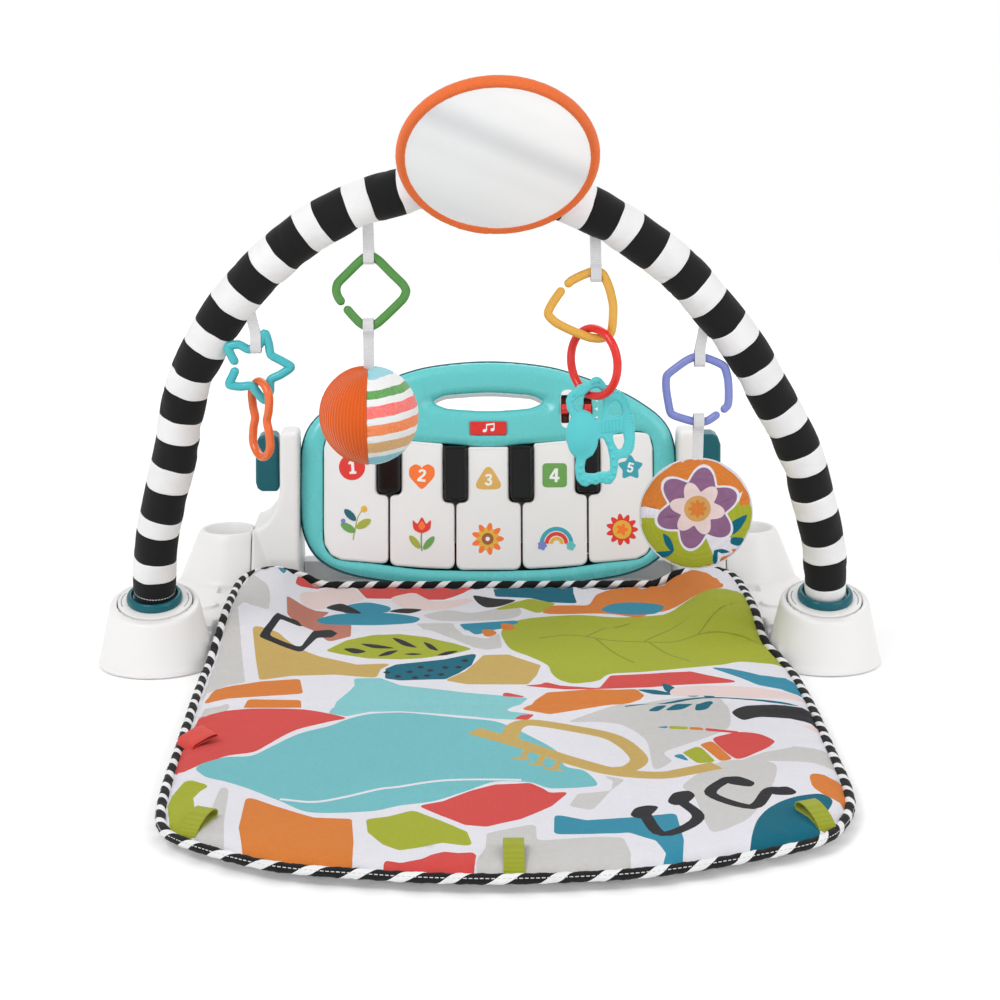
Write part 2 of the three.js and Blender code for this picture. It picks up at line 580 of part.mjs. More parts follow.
// -------------------------------------------------------------------- the arch
// Centreline in the arch plane: [x, distance up the plane]; it sways a little
// to one side the way a sprung toy arch does.
const ARCH_LINE = [
  [-ARCH_END_X, 0], [-301.5, 27], [-299.5, 47], [-295, 73], [-290, 93], [-282.8, 120],
  [-275, 148], [-269, 180], [-258, 218], [-243, 250], [-221, 286], [-191, 320],
  [-153, 353], [-118.5, 373], [-77, 388], [-36, 396], [-16, 397.5], [4, 396], [43, 388],
  [81.5, 373], [115, 353], [157, 320], [187, 286], [215, 250], [234, 218], [255, 180],
  [271, 148], [280.2, 120], [288, 93], [294, 73], [299.5, 47], [301.5, 27],
  [ARCH_END_X, 0]];
const archCurve = new THREE.CatmullRomCurve3(
  ARCH_LINE.map(([x, rise]) => vec(x, 0, rise)), false, "centripetal");
const archPoints = archCurve.getSpacedPoints(CURVE_SAMPLES);
// steps + 1 points between two fractions of the arch's length
const along = (from, to, steps) => Array.from({ length: steps + 1 }, (_, i) =>
  pointAt(archPoints, from + (to - from) * i / steps));
const CROWN = 0.5;                          // the tubes meet half way along the arch
const MM_ALONG = 1 / archCurve.getLength(); // one millimetre as a fraction of the length

function archTube(sign) {
  const start = sign < 0 ? 8 * MM_ALONG : 1 - 8 * MM_ALONG;
  const x = sign * ARCH_END_X;
  const path = [vec(x, 0, -28), vec(x, 0, -4),
    ...along(start, CROWN + sign * 2 * MM_ALONG, 15)];
  return bar(path, TUBE_R, 8, { bore: TUBE_BORE });
}
add(arch, "arch_tube_left", archTube(-1), TUBE_GREY);
add(arch, "arch_tube_right", archTube(1), TUBE_GREY);
add(arch, "arch_connector",
  bar(along(CROWN - 34 * MM_ALONG, CROWN + 34 * MM_ALONG, 6), 6.6, 8), WHITE);
add(arch, "arch_sleeve",
  bar(along(7 * MM_ALONG, 1 - 7 * MM_ALONG, 34), SLEEVE_R, 9, { bore: SLEEVE_BORE }), STRIPE);

const PLUG_PROFILE = [[0, -34], [20.6, -34], [20.6, 1.2], [23.4, 1.6], [24.4, 4],
  [23.6, 6.6], [21.6, 7.2], [20.6, 6.4], [20.6, 3], [12.6, 3], [12.6, -30], [0, -30]];
addAtArchEnds("arch_plug", ARCH_END_X, PLUG_PROFILE, 14, DARK_TEAL);

// ---------------------------------------------------------------- toy hangers
// A point of the arch plane in the gym's frame.
const fromArch = ({ x, z: rise }) => vec(x,
  -rise * Math.sin(ARCH_LEAN * DEG),
  FOOT_TOP + rise * Math.cos(ARCH_LEAN * DEG));
const worldArch = archPoints.map(fromArch);
const SLEEVE_MARGIN = 1.4;
const SEARCH_FLOOR = 150;    // only the arch above this height is searched

// Height of the sleeve's underside at x, less a margin, seen along Y.
function sleeveUnder(x) {
  let near = worldArch[0];
  for (const p of worldArch)
    if (p.z > SEARCH_FLOOR && Math.abs(p.x - x) < Math.abs(near.x - x)) near = p;
  let z = near.z;
  for (; z > SEARCH_FLOOR; z -= 0.5) {
    const distance = Math.min(...worldArch.map((p) => Math.hypot(p.x - x, p.z - z)));
    if (distance > SLEEVE_R + SLEEVE_MARGIN) break;
  }
  return z;
}

// Webbing strap: a flat sewn tail above a loop that the link's bar runs through.
// tailTop holds the heights of the tail's left and right upper corners.
function strap({ y, topX, loopX, loopZ, loopHalf, tailTop }) {
  const half = STRAP_W / 2;
  // loop section [y, z]: two half ellipses drawn apart
  const section = (radiusY, radiusZ) => Array.from({ length: 12 }, (_, i) => {
    const angle = (i / 12) * 2 * Math.PI;
    const shift = Math.sign(Math.sin(angle) + 1e-9) * (loopHalf - 4);
    return [Math.cos(angle) * radiusY, loopZ + Math.sin(angle) * radiusZ + shift];
  });
  const loop = plate(section(6.2, 5), -half, half, [section(4.6, 3.4)])
    .rotateZ(QUARTER).translate(loopX, y, 0);
  const tailBottom = loopZ + loopHalf + 0.2;
  const tail = plate([[loopX - half, tailBottom], [loopX + half, tailBottom],
    [topX + half, tailTop[1]], [topX - half, tailTop[0]]],
  y - STRAP_HALF_THICK, y + STRAP_HALF_THICK);
  return join(loop, tail);
}

// Strap hanging from the sleeve, its tail cut to the sleeve's height at probeX.
function addHanger(toy, { topX, probeX = [topX - STRAP_W / 2, topX + STRAP_W / 2], ...rest }) {
  const tailTop = probeX.map(sleeveUnder);
  add(gym, `hanger_strap_${toy}`, strap({ topX, tailTop, ...rest }), WEBBING);
}

// Soft toy joined to an upturned strap by a flat post from postZ[0] to postZ[1].
function strappedToy(body, { x, y, loopZ, loopHalf, postZ }) {
  const upturned = strap({ y, topX: 0, loopX: 0, loopZ: 0, loopHalf, tailTop: [14, 14] })
    .scale(1, 1, -1).translate(x, 0, loopZ);
  const post = block(x - STRAP_W / 2, x + STRAP_W / 2,
    y - STRAP_HALF_THICK, y + STRAP_HALF_THICK, ...postZ);
  return join(body, upturned, post);
}

// Plastic link: a smooth loop through [x, z] points, with a narrow gap at gapAt.
const LINK_HALF_GAP = 1.7;
function link(points, y, gapAt, steps = 30) {
  const curve = loopCurve(points, y, 0.35);
  const samples = curve.getSpacedPoints(CURVE_SAMPLES);
  const distances = samples.map((p) => Math.hypot(p.x - gapAt[0], p.z - gapAt[1]));
  const start = distances.indexOf(Math.min(...distances)) / CURVE_SAMPLES;
  const gap = LINK_HALF_GAP / curve.getLength();
  const path = Array.from({ length: steps + 1 }, (_, i) =>
    pointAt(samples, (((start + gap + (1 - 2 * gap) * i / steps) % 1) + 1) % 1));
  return bar(path, LINK_R, 5);
}

const closedRing = (path) => bar(path, RING_R, RING_SIDES, { closed: true });

// --- chain A: star link and a peanut-shaped ring
const STAR_Y = -78;
const STAR_POINTS = [[-195.4, 304.1], [-190.6, 313.8], [-187.5, 305.1], [-185.8, 295.5],
  [-177.3, 290.4], [-169.3, 285], [-177.8, 278.6], [-186.5, 274.1], [-187.5, 264.4],
  [-191.7, 256.7], [-196.5, 260.8], [-202.8, 268.7], [-212.1, 268.3], [-221.6, 270],
  [-218.2, 278.1], [-215.3, 286.2], [-219.3, 294.9], [-221.6, 302.6], [-212.6, 304.1],
  [-204.4, 300.2]];
add(gym, "star_link", link(STAR_POINTS, STAR_Y, [-215.3, 286.2], 40), AQUA);
addHanger("star", { y: STAR_Y, topX: -201.5, loopX: -198.2, loopZ: 304.7, loopHalf: 9.6 });

const PEANUT = { x: -195.6, hookZ: 265.1, halfHeight: 32.8, halfWidth: 15 };
function peanutRing() {
  const { halfHeight: h, halfWidth: w } = PEANUT;
  const half = [[0, h], [9, h - 3.2], [w, h - 11], [13.8, 9.5], [10.4, 0], [13.8, -9.5],
    [w, 11 - h], [9, 3.2 - h], [0, -h]];
  return closedRing(loopPoints(loopCurve(symmetric(half)), RING_STEPS));
}
const peanut = add(gym, "peanut_ring", peanutRing(), ORANGE);
peanut.position.set(PEANUT.x, STAR_Y,
  PEANUT.hookZ + LINK_R + RING_R + 0.6 - PEANUT.halfHeight);
peanut.rotation.z = -56 * DEG;

// --- chain B: diamond link and a soft ball
const DIAMOND_Y = -92;
const DIAMOND_POINTS = [[-101.3, 381.2], [-93.5, 377], [-83, 366.4], [-73.5, 356.9],
  [-70.8, 351.1], [-73.5, 344.7], [-83.5, 334.7], [-94.6, 324.6], [-102.6, 321.1],
  [-110.2, 325.1], [-118.9, 334.7], [-126.9, 345.3], [-128.9, 351.6], [-127.4, 358],
  [-119.1, 366.4], [-109.1, 376]];
add(gym, "diamond_link", link(DIAMOND_POINTS, DIAMOND_Y, [-122.4, 339.4]), GREEN);
addHanger("diamond",
  { y: DIAMOND_Y, topX: -101.6, loopX: -101.5, loopZ: 380.8, loopHalf: 7.1 });

const BALL = { x: -103, z: 246, radius: 42 };
add(gym, "soft_ball", strappedToy(
  new THREE.SphereGeometry(BALL.radius, 16, 11).rotateX(QUARTER)
    .translate(BALL.x, DIAMOND_Y, BALL.z),
  { x: BALL.x + 0.4, y: DIAMOND_Y, loopZ: 321.6, loopHalf: 6.8,
    postZ: [BALL.z + BALL.radius - 3, 312] }), ORANGE_CLOTH);

// --- chain C: triangle link, round ring and openwork teether
const TRIANGLE_Y = -92;
const TRIANGLE_POINTS = [[87.1, 367.9], [93.4, 364.7], [98.5, 353.9], [101.9, 339.8],
  [101.9, 325.8], [100.2, 315.5], [92.8, 311.3], [82.6, 312], [66.6, 318.2], [54.1, 324.7],
  [47.7, 331.7], [50.7, 339.8], [58.1, 350.6], [66.6, 359.3], [76.9, 364.7]];
add(gym, "triangle_link", link(TRIANGLE_POINTS, TRIANGLE_Y, [61.5, 354.4]), MUSTARD);
addHanger("triangle",
  { y: TRIANGLE_Y, topX: 86.4, loopX: 87.4, loopZ: 366.2, loopHalf: 7.2 });

const RING_X = 86.5;
const RING_MID_R = 28.6;     // ring centre to the middle of its bar
const RING_Z = 311.4 + LINK_R + RING_R + 1.0 - RING_MID_R;
const ringPath = Array.from({ length: RING_STEPS }, (_, i) => {
  const angle = (i / RING_STEPS) * 2 * Math.PI;
  return vec(RING_MID_R * Math.cos(angle), 0, RING_MID_R * Math.sin(angle));
});
const roundRing = add(gym, "round_ring", closedRing(ringPath), RED);
roundRing.position.set(RING_X, TRIANGLE_Y, RING_Z);
roundRing.rotation.z = -50 * DEG;

// Teether outlines [x, z] about the point where the ring runs through it
const TEETHER_OUTLINE = [
  [-3.98, 10.13], [-1.45, 13.75], [2.53, 15.20], [6.51, 13.39], [10.13, 8.68],
  [11.22, 3.26], [15.56, 2.68], [21.35, 2.17], [26.77, -2.53], [30.39, -10.49],
  [32.56, -20.62], [34.01, -30.75], [34.52, -39.44], [32.92, -48.84], [28.58, -54.27],
  [21.35, -55.72], [21.49, -62.59], [19.54, -72.00], [15.56, -77.64], [10.49, -77.64],
  [6.87, -75.98], [2.53, -78.36], [-1.09, -77.06], [-5.43, -79.96], [-10.13, -78.51],
  [-14.11, -73.44], [-15.56, -63.31], [-14.11, -54.63], [-19.18, -48.84],
  [-22.79, -37.99], [-22.07, -27.86], [-18.45, -19.90], [-22.43, -12.66],
  [-23.52, -5.43], [-20.98, 1.09], [-15.56, 4.34], [-13.39, 7.96], [-8.68, 8.90]];
const TEETHER_HOLES = [
  [[-16.14, -6.15], [-13.39, -2.53], [-9.04, -1.23], [-5.07, 1.66], [-1.09, 4.99],
    [3.26, 5.86], [7.24, 2.53], [7.74, -6.15], [6.87, -22.07], [1.81, -22.79],
    [-2.53, -17.00], [-7.60, -13.75], [-12.66, -15.41], [-15.56, -11.94]],
  [[13.39, -8.32], [18.45, -4.70], [22.43, -8.32], [24.82, -17.00], [13.02, -19.54]],
  [[15.92, -34.73], [25.33, -32.56], [26.41, -40.88], [24.60, -46.67], [21.35, -48.12],
    [18.09, -42.33]],
  [[-6.15, -55.72], [-0.36, -52.46], [3.26, -45.22], [4.34, -38.13], [8.32, -37.26],
    [11.94, -45.22], [14.11, -55.35], [14.69, -66.57], [9.77, -67.08], [5.43, -67.29],
    [1.09, -68.74], [-6.51, -68.38], [-7.24, -62.59]],
];
function teether() {
  const body = plate(TEETHER_OUTLINE, -3.2, 3.2, TEETHER_HOLES);
  const lobe = new THREE.SphereGeometry(1, 12, 8).scale(12.6, 7, 20).rotateY(-6 * DEG)
    .translate(-9.4067, 0, -34.732);
  return join(body, lobe);
}
add(gym, "teether", teether(), AQUA)
  .position.set(RING_X, TRIANGLE_Y, RING_Z - RING_MID_R + 1.3);

// --- chain D: hexagon link and a round plush disc
const HEXAGON_Y = -72;
const HEXAGON_POINTS = [[175.6, 292.5], [186.8, 289.6], [198.1, 283.8], [201.9, 272.8],
  [202.9, 260.1], [202.1, 249.7], [193.6, 242.3], [185.7, 236.8], [177.6, 235.2],
  [165.5, 238.2], [154.2, 242.8], [151.1, 254.3], [149.3, 265.9], [149.8, 275.7],
  [157.6, 282.6], [166.6, 289]];
add(gym, "hexagon_link", link(HEXAGON_POINTS, HEXAGON_Y, [195.8, 243.9]), PERIWINKLE);
addHanger("hexagon", { y: HEXAGON_Y, topX: 179.6, loopX: 177.4, loopZ: 291, loopHalf: 7.2,
  probeX: [175.8, 183.6] });

const DISC = { x: 177, z: 155, radius: 48.5 };
const DISC_PROFILE = [[0, -8], [36, -7], [45, -4], [DISC.radius, 0], [45, 4], [36, 7], [0, 8]];
add(gym, "soft_disc", strappedToy(
  turned(DISC_PROFILE, 20).rotateX(QUARTER).translate(DISC.x, HEXAGON_Y, DISC.z),
  { x: DISC.x + 0.6, y: HEXAGON_Y, loopZ: 236, loopHalf: 7,
    postZ: [DISC.z + DISC.radius - 4, 227] }), ORANGE_CLOTH);

// ---------------------------------------------------------------- soft mirror
// Round padded mirror on the crown of the arch, facing down at the child;
// local +Y points out of the back of the mirror.
const MIRROR_TILT = 37.2;    // degrees
const MIRROR_R = 80.2;
const MIRROR_PAD_R = 73.6;   // pad and film, inside the binding
const MIRROR_SIDES = 24;
const mirror = new THREE.Group();
mirror.position.set(5, -157.8, 463.9);
mirror.rotation.x = MIRROR_TILT * DEG;
gym.add(mirror);

const BINDING_PROFILE = [[74, 0.4], [75, -0.4], [78.2, -0.4], [MIRROR_R, 2], [MIRROR_R, 7],
  [78.2, 9.4], [74, 9.4], [74, 0.4]];
add(mirror, "mirror_pad", drum(MIRROR_PAD_R, 2.6, 9.2, MIRROR_SIDES).rotateX(-QUARTER), WEBBING);
add(mirror, "mirror_film", drum(MIRROR_PAD_R, 0.6, 2.2, MIRROR_SIDES).rotateX(-QUARTER), MIRROR);
add(mirror, "mirror_binding", turned(BINDING_PROFILE, MIRROR_SIDES).rotateX(-QUARTER),
  ORANGE_CLOTH);

// webbing band round the crown of the sleeve
const crownPath = along(CROWN - 14 * MM_ALONG, CROWN + 14 * MM_ALONG, 3).map(fromArch);
add(gym, "mirror_strap", bar(crownPath, 22.0, 14, { bore: 20.6 }), WEBBING);

export default gym;
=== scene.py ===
"""Baby play gym: printed floor mat, kick piano, and a leaning arch that carries a mirror and toys.

Lengths are millimetres in the shared frame: origin on the floor midway between the arch feet,
+X right, +Y away from the child, +Z up. make() turns them into metres.
"""
import math

import bmesh
import bpy
import numpy as np
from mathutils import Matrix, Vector
from mathutils.geometry import delaunay_2d_cdt


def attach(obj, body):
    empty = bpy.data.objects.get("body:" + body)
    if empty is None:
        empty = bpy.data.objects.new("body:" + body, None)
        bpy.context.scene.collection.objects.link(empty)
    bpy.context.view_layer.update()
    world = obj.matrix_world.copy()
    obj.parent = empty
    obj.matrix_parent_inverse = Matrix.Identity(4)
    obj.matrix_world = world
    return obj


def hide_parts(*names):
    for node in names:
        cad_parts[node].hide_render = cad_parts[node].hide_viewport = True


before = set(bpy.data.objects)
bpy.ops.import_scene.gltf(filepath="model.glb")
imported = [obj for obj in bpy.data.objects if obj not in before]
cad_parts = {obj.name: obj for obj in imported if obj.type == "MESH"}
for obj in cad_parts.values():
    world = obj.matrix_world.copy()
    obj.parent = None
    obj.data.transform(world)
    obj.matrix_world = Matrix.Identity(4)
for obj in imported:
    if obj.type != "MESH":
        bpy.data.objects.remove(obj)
MM = 0.001
RAD = math.pi / 180
TURN = 2 * math.pi
rng = np.random.default_rng(7)

# ------------------------------------------------------------ driving places
FOOT_X, FOOT_TOP = 303.0, 58.0  # where the arch plane meets the feet
LEAN = 14.4 * RAD  # arch, towards the child
PIANO_Y, PIANO_Z, PIANO_TIP = 213.0, 10.0, 17.0 * RAD
REAR_X, REAR_Y = 260.0, 225.0  # round rear foot under each piano upright
MIRROR_X, MIRROR_Y, MIRROR_Z, MIRROR_TILT = 5, -157.8, 463.9, 37.2 * RAD


def arr(values):
    return np.asarray(values, float)


def arch_pt(x, up, out=0.0):
    """Arch plane (x, up the plane, out of its far side) to the shared frame."""
    x, up, out = np.broadcast_arrays(arr(x), arr(up), arr(out))
    return np.stack([x, -up * math.sin(LEAN) + out * math.cos(LEAN),
                     FOOT_TOP + up * math.cos(LEAN) + out * math.sin(LEAN)], -1)


def piano_pt(points):
    """Piano frame (x, into the body, up the face) to the shared frame."""
    x, y, z = arr(points).T
    return np.stack([x, PIANO_Y + y * math.cos(PIANO_TIP) + z * math.sin(PIANO_TIP),
                     PIANO_Z - y * math.sin(PIANO_TIP) + z * math.cos(PIANO_TIP)], -1)


def mirror_pt(points):
    """Mirror frame (x, out of the back, up the disc) to the shared frame."""
    x, y, z = arr(points).T
    return np.stack([MIRROR_X + x,
                     MIRROR_Y + y * math.cos(MIRROR_TILT) - z * math.sin(MIRROR_TILT),
                     MIRROR_Z + y * math.sin(MIRROR_TILT) + z * math.cos(MIRROR_TILT)], -1)


# -------------------------------------------------------- curves and outlines
def spans(points, closed):
    """Each span of a line with its neighbours: before, start, end, after."""
    count = len(points)
    for i in range(count if closed else count - 1):
        start, end = points[i], points[(i + 1) % count]
        before = points[i - 1] if closed or i > 0 else 2 * start - end
        after = points[(i + 2) % count] if closed or i + 2 < count else 2 * end - start
        yield before, start, end, after


def catmull(points, closed=True, steps=8, tension=0.5):
    """Catmull-Rom curve through points, with steps samples to each span."""
    points = arr(points)
    out = []
    t = np.linspace(0, 1, steps, endpoint=False)[:, None]
    for before, start, end, after in spans(points, closed):
        leave, arrive = tension * (end - before), tension * (after - start)
        out.append((2 * t**3 - 3 * t**2 + 1) * start + (t**3 - 2 * t**2 + t) * leave
                   + (-2 * t**3 + 3 * t**2) * end + (t**3 - t**2) * arrive)
    if not closed:
        out.append(points[-1:])
    return np.concatenate(out)


def centripetal(points, closed=False, steps=10):
    """Centripetal Catmull-Rom curve, even through uneven points."""
    points = arr(points)
    out = []
    for four in spans(points, closed):
        knot = [0.0]
        for start, end in zip(four, four[1:]):
            knot.append(knot[-1] + max(1e-6, np.linalg.norm(end - start)) ** 0.5)
        at = np.linspace(knot[1], knot[2], steps, endpoint=False)[:, None]

        def between(first, second, i, j):
            width = knot[j] - knot[i]
            return (knot[j] - at) / width * first + (at - knot[i]) / width * second

        level = [between(four[i], four[i + 1], i, i + 1) for i in range(3)]
        level = [between(level[i], level[i + 1], i, i + 2) for i in range(2)]
        out.append(between(level[0], level[1], 1, 2))
    if not closed:
        out.append(points[-1:])
    return np.concatenate(out)


def running_length(points):
    return np.r_[0, np.cumsum(np.linalg.norm(np.diff(points, axis=0), axis=1))]


def resample(points, count, closed=True):
    """count points evenly spaced along a polyline."""
    points = arr(points)
    line = np.vstack([points, points[:1]]) if closed else points
    length = running_length(line)
    if closed:
        stations = np.linspace(0, length[-1], count + 1)[:-1]
    else:
        stations = np.linspace(0, length[-1], count)
    return np.stack([np.interp(stations, length, line[:, k]) for k in range(points.shape[1])], 1)


def bezier_corner(start, corner, end, steps):
    return [(1 - t) ** 2 * start + 2 * t * (1 - t) * corner + t * t * end
            for t in (k / steps for k in range(steps + 1))]


def fillet(outline, radius, steps=5):
    """Rounds the corners of a closed outline, with one radius or one per corner."""
    points = arr(outline)
    count = len(points)
    radii = [radius] * count if np.isscalar(radius) else radius
    out = []
    for i in range(count):
        corner = points[i]
        back, on = points[i - 1] - corner, points[(i + 1) % count] - corner
        back_len, on_len = np.linalg.norm(back), np.linalg.norm(on)
        back, on = back / back_len, on / on_len
        angle = math.acos(max(-1, min(1, float(back @ on))))
        if angle > math.pi - 0.05 or radii[i] <= 0:
            out.append(corner)
            continue
        trim = min(radii[i] / math.tan(angle / 2), back_len * 0.49, on_len * 0.49)
        out += bezier_corner(corner + back * trim, corner, corner + on * trim, steps)
    return arr(out)


def round_profile(profile, radius, steps=4):
    """Rounds the corners between the two ends of an open profile."""
    points = arr(profile)
    out = [points[0]]
    for before, corner, after in zip(points, points[1:], points[2:]):
        back, on = before - corner, after - corner
        back_len, on_len = np.linalg.norm(back), np.linalg.norm(on)
        trim = min(radius, back_len * 0.45, on_len * 0.45)
        out += bezier_corner(corner + back / back_len * trim, corner,
                             corner + on / on_len * trim, steps)
    out.append(points[-1])
    return out


def anticlockwise(outline):
    x, y = outline[:, 0], outline[:, 1]
    area = np.sum(x * np.roll(y, -1) - np.roll(x, -1) * y)
    return outline[::-1] if area < 0 else outline


def offset(outline, distance):
    """Anticlockwise outline moved inwards."""
    edge = np.roll(outline, -1, 0) - outline
    edge /= np.linalg.norm(edge, axis=1)[:, None] + 1e-12
    normal = np.stack([-edge[:, 1], edge[:, 0]], 1)
    mitre = normal + np.roll(normal, 1, 0)
    mitre /= np.linalg.norm(mitre, axis=1)[:, None] + 1e-12
    stretch = 1 / np.clip(np.sum(mitre * normal, 1), 0.5, 1)
    return outline + mitre * (distance * stretch)[:, None]


def mirrored_loop(half):
    """Closed outline from its right half, which starts and ends on the middle line."""
    return half + [[-x, z] for x, z in half[1:-1]][::-1]


def rect(x_low, x_high, z_low, z_high):
    return [[x_low, z_low], [x_high, z_low], [x_high, z_high], [x_low, z_high]]


def placed(outline, x, z, scale=1.0, turn=0.0):
    """Outline scaled, turned by degrees and moved."""
    points = arr(outline) * scale
    cos, sin = math.cos(turn * RAD), math.sin(turn * RAD)
    return np.stack([x + points[:, 0] * cos - points[:, 1] * sin,
                     z + points[:, 0] * sin + points[:, 1] * cos], 1)


def circle(x, z, radius, count=48, radius_z=None, turn=0.0):
    angle = np.arange(count) / count * TURN
    ring = np.stack([radius * np.cos(angle), (radius_z or radius) * np.sin(angle)], 1)
    return placed(ring, x, z, 1, turn)


def petals(x, z, inner, outer, lobes, count=96, turn=0.0):
    angle = np.arange(count) / count * TURN
    r = inner + (outer - inner) * (0.5 + 0.5 * np.cos(lobes * angle)) ** 0.7
    return np.stack([x + r * np.cos(angle + turn), z + r * np.sin(angle + turn)], 1)


def strip(points, width, end_width=None):
    """Band, tapered if end_width is given, along a smooth line."""
    line = catmull(points, False, 6)
    along = np.gradient(line, axis=0)
    along /= np.linalg.norm(along, axis=1)[:, None]
    normal = np.stack([-along[:, 1], along[:, 0]], 1)
    half = np.linspace(width, end_width or width, len(line))[:, None] / 2
    return np.vstack([line + normal * half, (line - normal * half)[::-1]])


# -------------------------------------------- distance fields, negative inside
def poly_dist(x, y, outline):
    """Signed distance to a closed outline."""
    starts = arr(outline)
    ends = np.roll(starts, -1, 0)
    nearest = np.full(x.shape, 1e18)
    inside = np.zeros(x.shape, bool)
    for (ax, ay), (bx, by) in zip(starts, ends):
        ex, ey = bx - ax, by - ay
        wx, wy = x - ax, y - ay
        t = np.clip((wx * ex + wy * ey) / (ex * ex + ey * ey + 1e-12), 0, 1)
        nearest = np.minimum(nearest, (wx - ex * t) ** 2 + (wy - ey * t) ** 2)
        crosses = (ay <= y) != (by <= y)
        if abs(ey) > 1e-12:
            inside ^= crosses & (x < ax + ex * (y - ay) / ey)
    nearest = np.sqrt(nearest)
    return np.where(inside, -nearest, nearest)


def smin(first, second, blend):
    h = np.clip(0.5 + 0.5 * (second - first) / blend, 0, 1)
    return second * (1 - h) + first * h - blend * h * (1 - h)


def smax(first, second, blend):
    return -smin(-first, -second, blend)


def axes(low, high, step):
    return [np.arange(a - 2 * step, b + 2.5 * step, step, dtype=np.float32)
            for a, b in zip(low, high)]


def surface(field, grid, step):
    """Quad surface where a field sampled on the grid axes is zero."""
    field = np.asarray(field, np.float32)
    field = np.where(np.abs(field) < 1e-6, 1e-6, field)
    solid = field < 0
    nx, ny, nz = field.shape
    corners = [(i, j, k) for i in (0, 1) for j in (0, 1) for k in (0, 1)]
    filled = np.zeros((nx - 1, ny - 1, nz - 1), np.uint8)
    for i, j, k in corners:
        filled += solid[i:nx - 1 + i, j:ny - 1 + j, k:nz - 1 + k]
    mixed = (filled > 0) & (filled < 8)
    cells = np.argwhere(mixed)
    index = np.full(filled.shape, -1, np.int64)
    index[mixed] = np.arange(len(cells))
    # each mixed cell gets a vertex at the mean of its edge crossings
    total = np.zeros((len(cells), 3))
    crossings = np.zeros(len(cells))
    value = {c: field[cells[:, 0] + c[0], cells[:, 1] + c[1], cells[:, 2] + c[2]].astype(float)
             for c in corners}
    for near in corners:
        for axis in range(3):
            if near[axis]:
                continue
            far = list(near)
            far[axis] = 1
            a, b = value[near], value[tuple(far)]
            cut = (a < 0) != (b < 0)
            point = np.tile(arr(near), (cut.sum(), 1))
            point[:, axis] = a[cut] / (a[cut] - b[cut])
            total[cut] += point
            crossings[cut] += 1
    verts = (cells + total / crossings[:, None]) * step + arr([a[0] for a in grid])
    quads = []
    for axis in range(3):
        u, v = [k for k in range(3) if k != axis]
        low = [slice(None)] * 3
        high = [slice(None)] * 3
        low[axis], high[axis] = slice(0, -1), slice(1, None)
        a, b = solid[tuple(low)], solid[tuple(high)]
        edge = np.argwhere(a != b)
        edge = edge[(edge[:, u] > 0) & (edge[:, v] > 0)
                    & (edge[:, u] < field.shape[u] - 1) & (edge[:, v] < field.shape[v] - 1)]
        inner = a[edge[:, 0], edge[:, 1], edge[:, 2]]

        def cell(back_u, back_v):
            at = edge.copy()
            at[:, u] -= back_u
            at[:, v] -= back_v
            return index[at[:, 0], at[:, 1], at[:, 2]]

        quad = np.stack([cell(1, 1), cell(0, 1), cell(0, 0), cell(1, 0)], 1)
        keep = inner if axis != 1 else ~inner
        quad[~keep] = quad[~keep][:, ::-1]
        quads.append(quad)
    return verts, np.concatenate(quads).tolist()


def from_field(field, low, high, step):
    grid = axes(low, high, step)
    values = field(grid[0][:, None, None], grid[1][None, :, None], grid[2][None, None, :])
    return surface(np.broadcast_to(values, [len(a) for a in grid]), grid, step)


def value_noise(x, y, cell, seed):
    """Smooth 2-D noise, about -1 to 1."""
    table = np.random.default_rng(seed).uniform(-1, 1, (64, 64))
    u, v = x / cell + 1000.37, y / cell + 1000.71
    i, j = np.floor(u).astype(int), np.floor(v).astype(int)
    fu, fv = u - i, v - j
    fu, fv = fu * fu * (3 - 2 * fu), fv * fv * (3 - 2 * fv)

    def knot(a, b):
        return table[a % 64, b % 64]

    return (knot(i, j) * (1 - fu) * (1 - fv) + knot(i + 1, j) * fu * (1 - fv)
            + knot(i, j + 1) * (1 - fu) * fv + knot(i + 1, j + 1) * fu * fv)


# ------------------------------------------- solids, as (vertices, face lists)
def grid_faces(rows, columns, wrap_rows=False, wrap_columns=False):
    i = np.arange(rows if wrap_rows else rows - 1)[:, None]
    j = np.arange(columns if wrap_columns else columns - 1)[None]
    i2, j2 = (i + 1) % rows, (j + 1) % columns
    return np.stack([i * columns + j, i * columns + j2, i2 * columns + j2, i2 * columns + j],
                    -1).reshape(-1, 4)


def lathe(profile, sides, axis="z"):
    """Turned surface from (radius, height) pairs; ends on the axis are closed."""
    verts, faces, rings = [], [], []
    for r, height in profile:
        if r < 1e-6:
            rings.append([len(verts)])
            verts.append([0, 0, height])
        else:
            rings.append(list(range(len(verts), len(verts) + sides)))
            verts += [[r * math.cos(TURN * k / sides), r * math.sin(TURN * k / sides), height]
                      for k in range(sides)]
    for a, b in zip(rings, rings[1:]):
        for k in range(sides):
            j = (k + 1) % sides
            if len(a) == 1:
                faces.append([a[0], b[j], b[k]])
            elif len(b) == 1:
                faces.append([a[k], a[j], b[0]])
            else:
                faces.append([a[k], a[j], b[j], b[k]])
    verts = arr(verts)
    if axis == "y":
        verts = verts[:, [0, 2, 1]] * [1, 1, -1]
    return verts, faces


def path_tangents(path, closed):
    if closed:
        return np.roll(path, -1, 0) - np.roll(path, 1, 0)
    return np.gradient(path, axis=0)


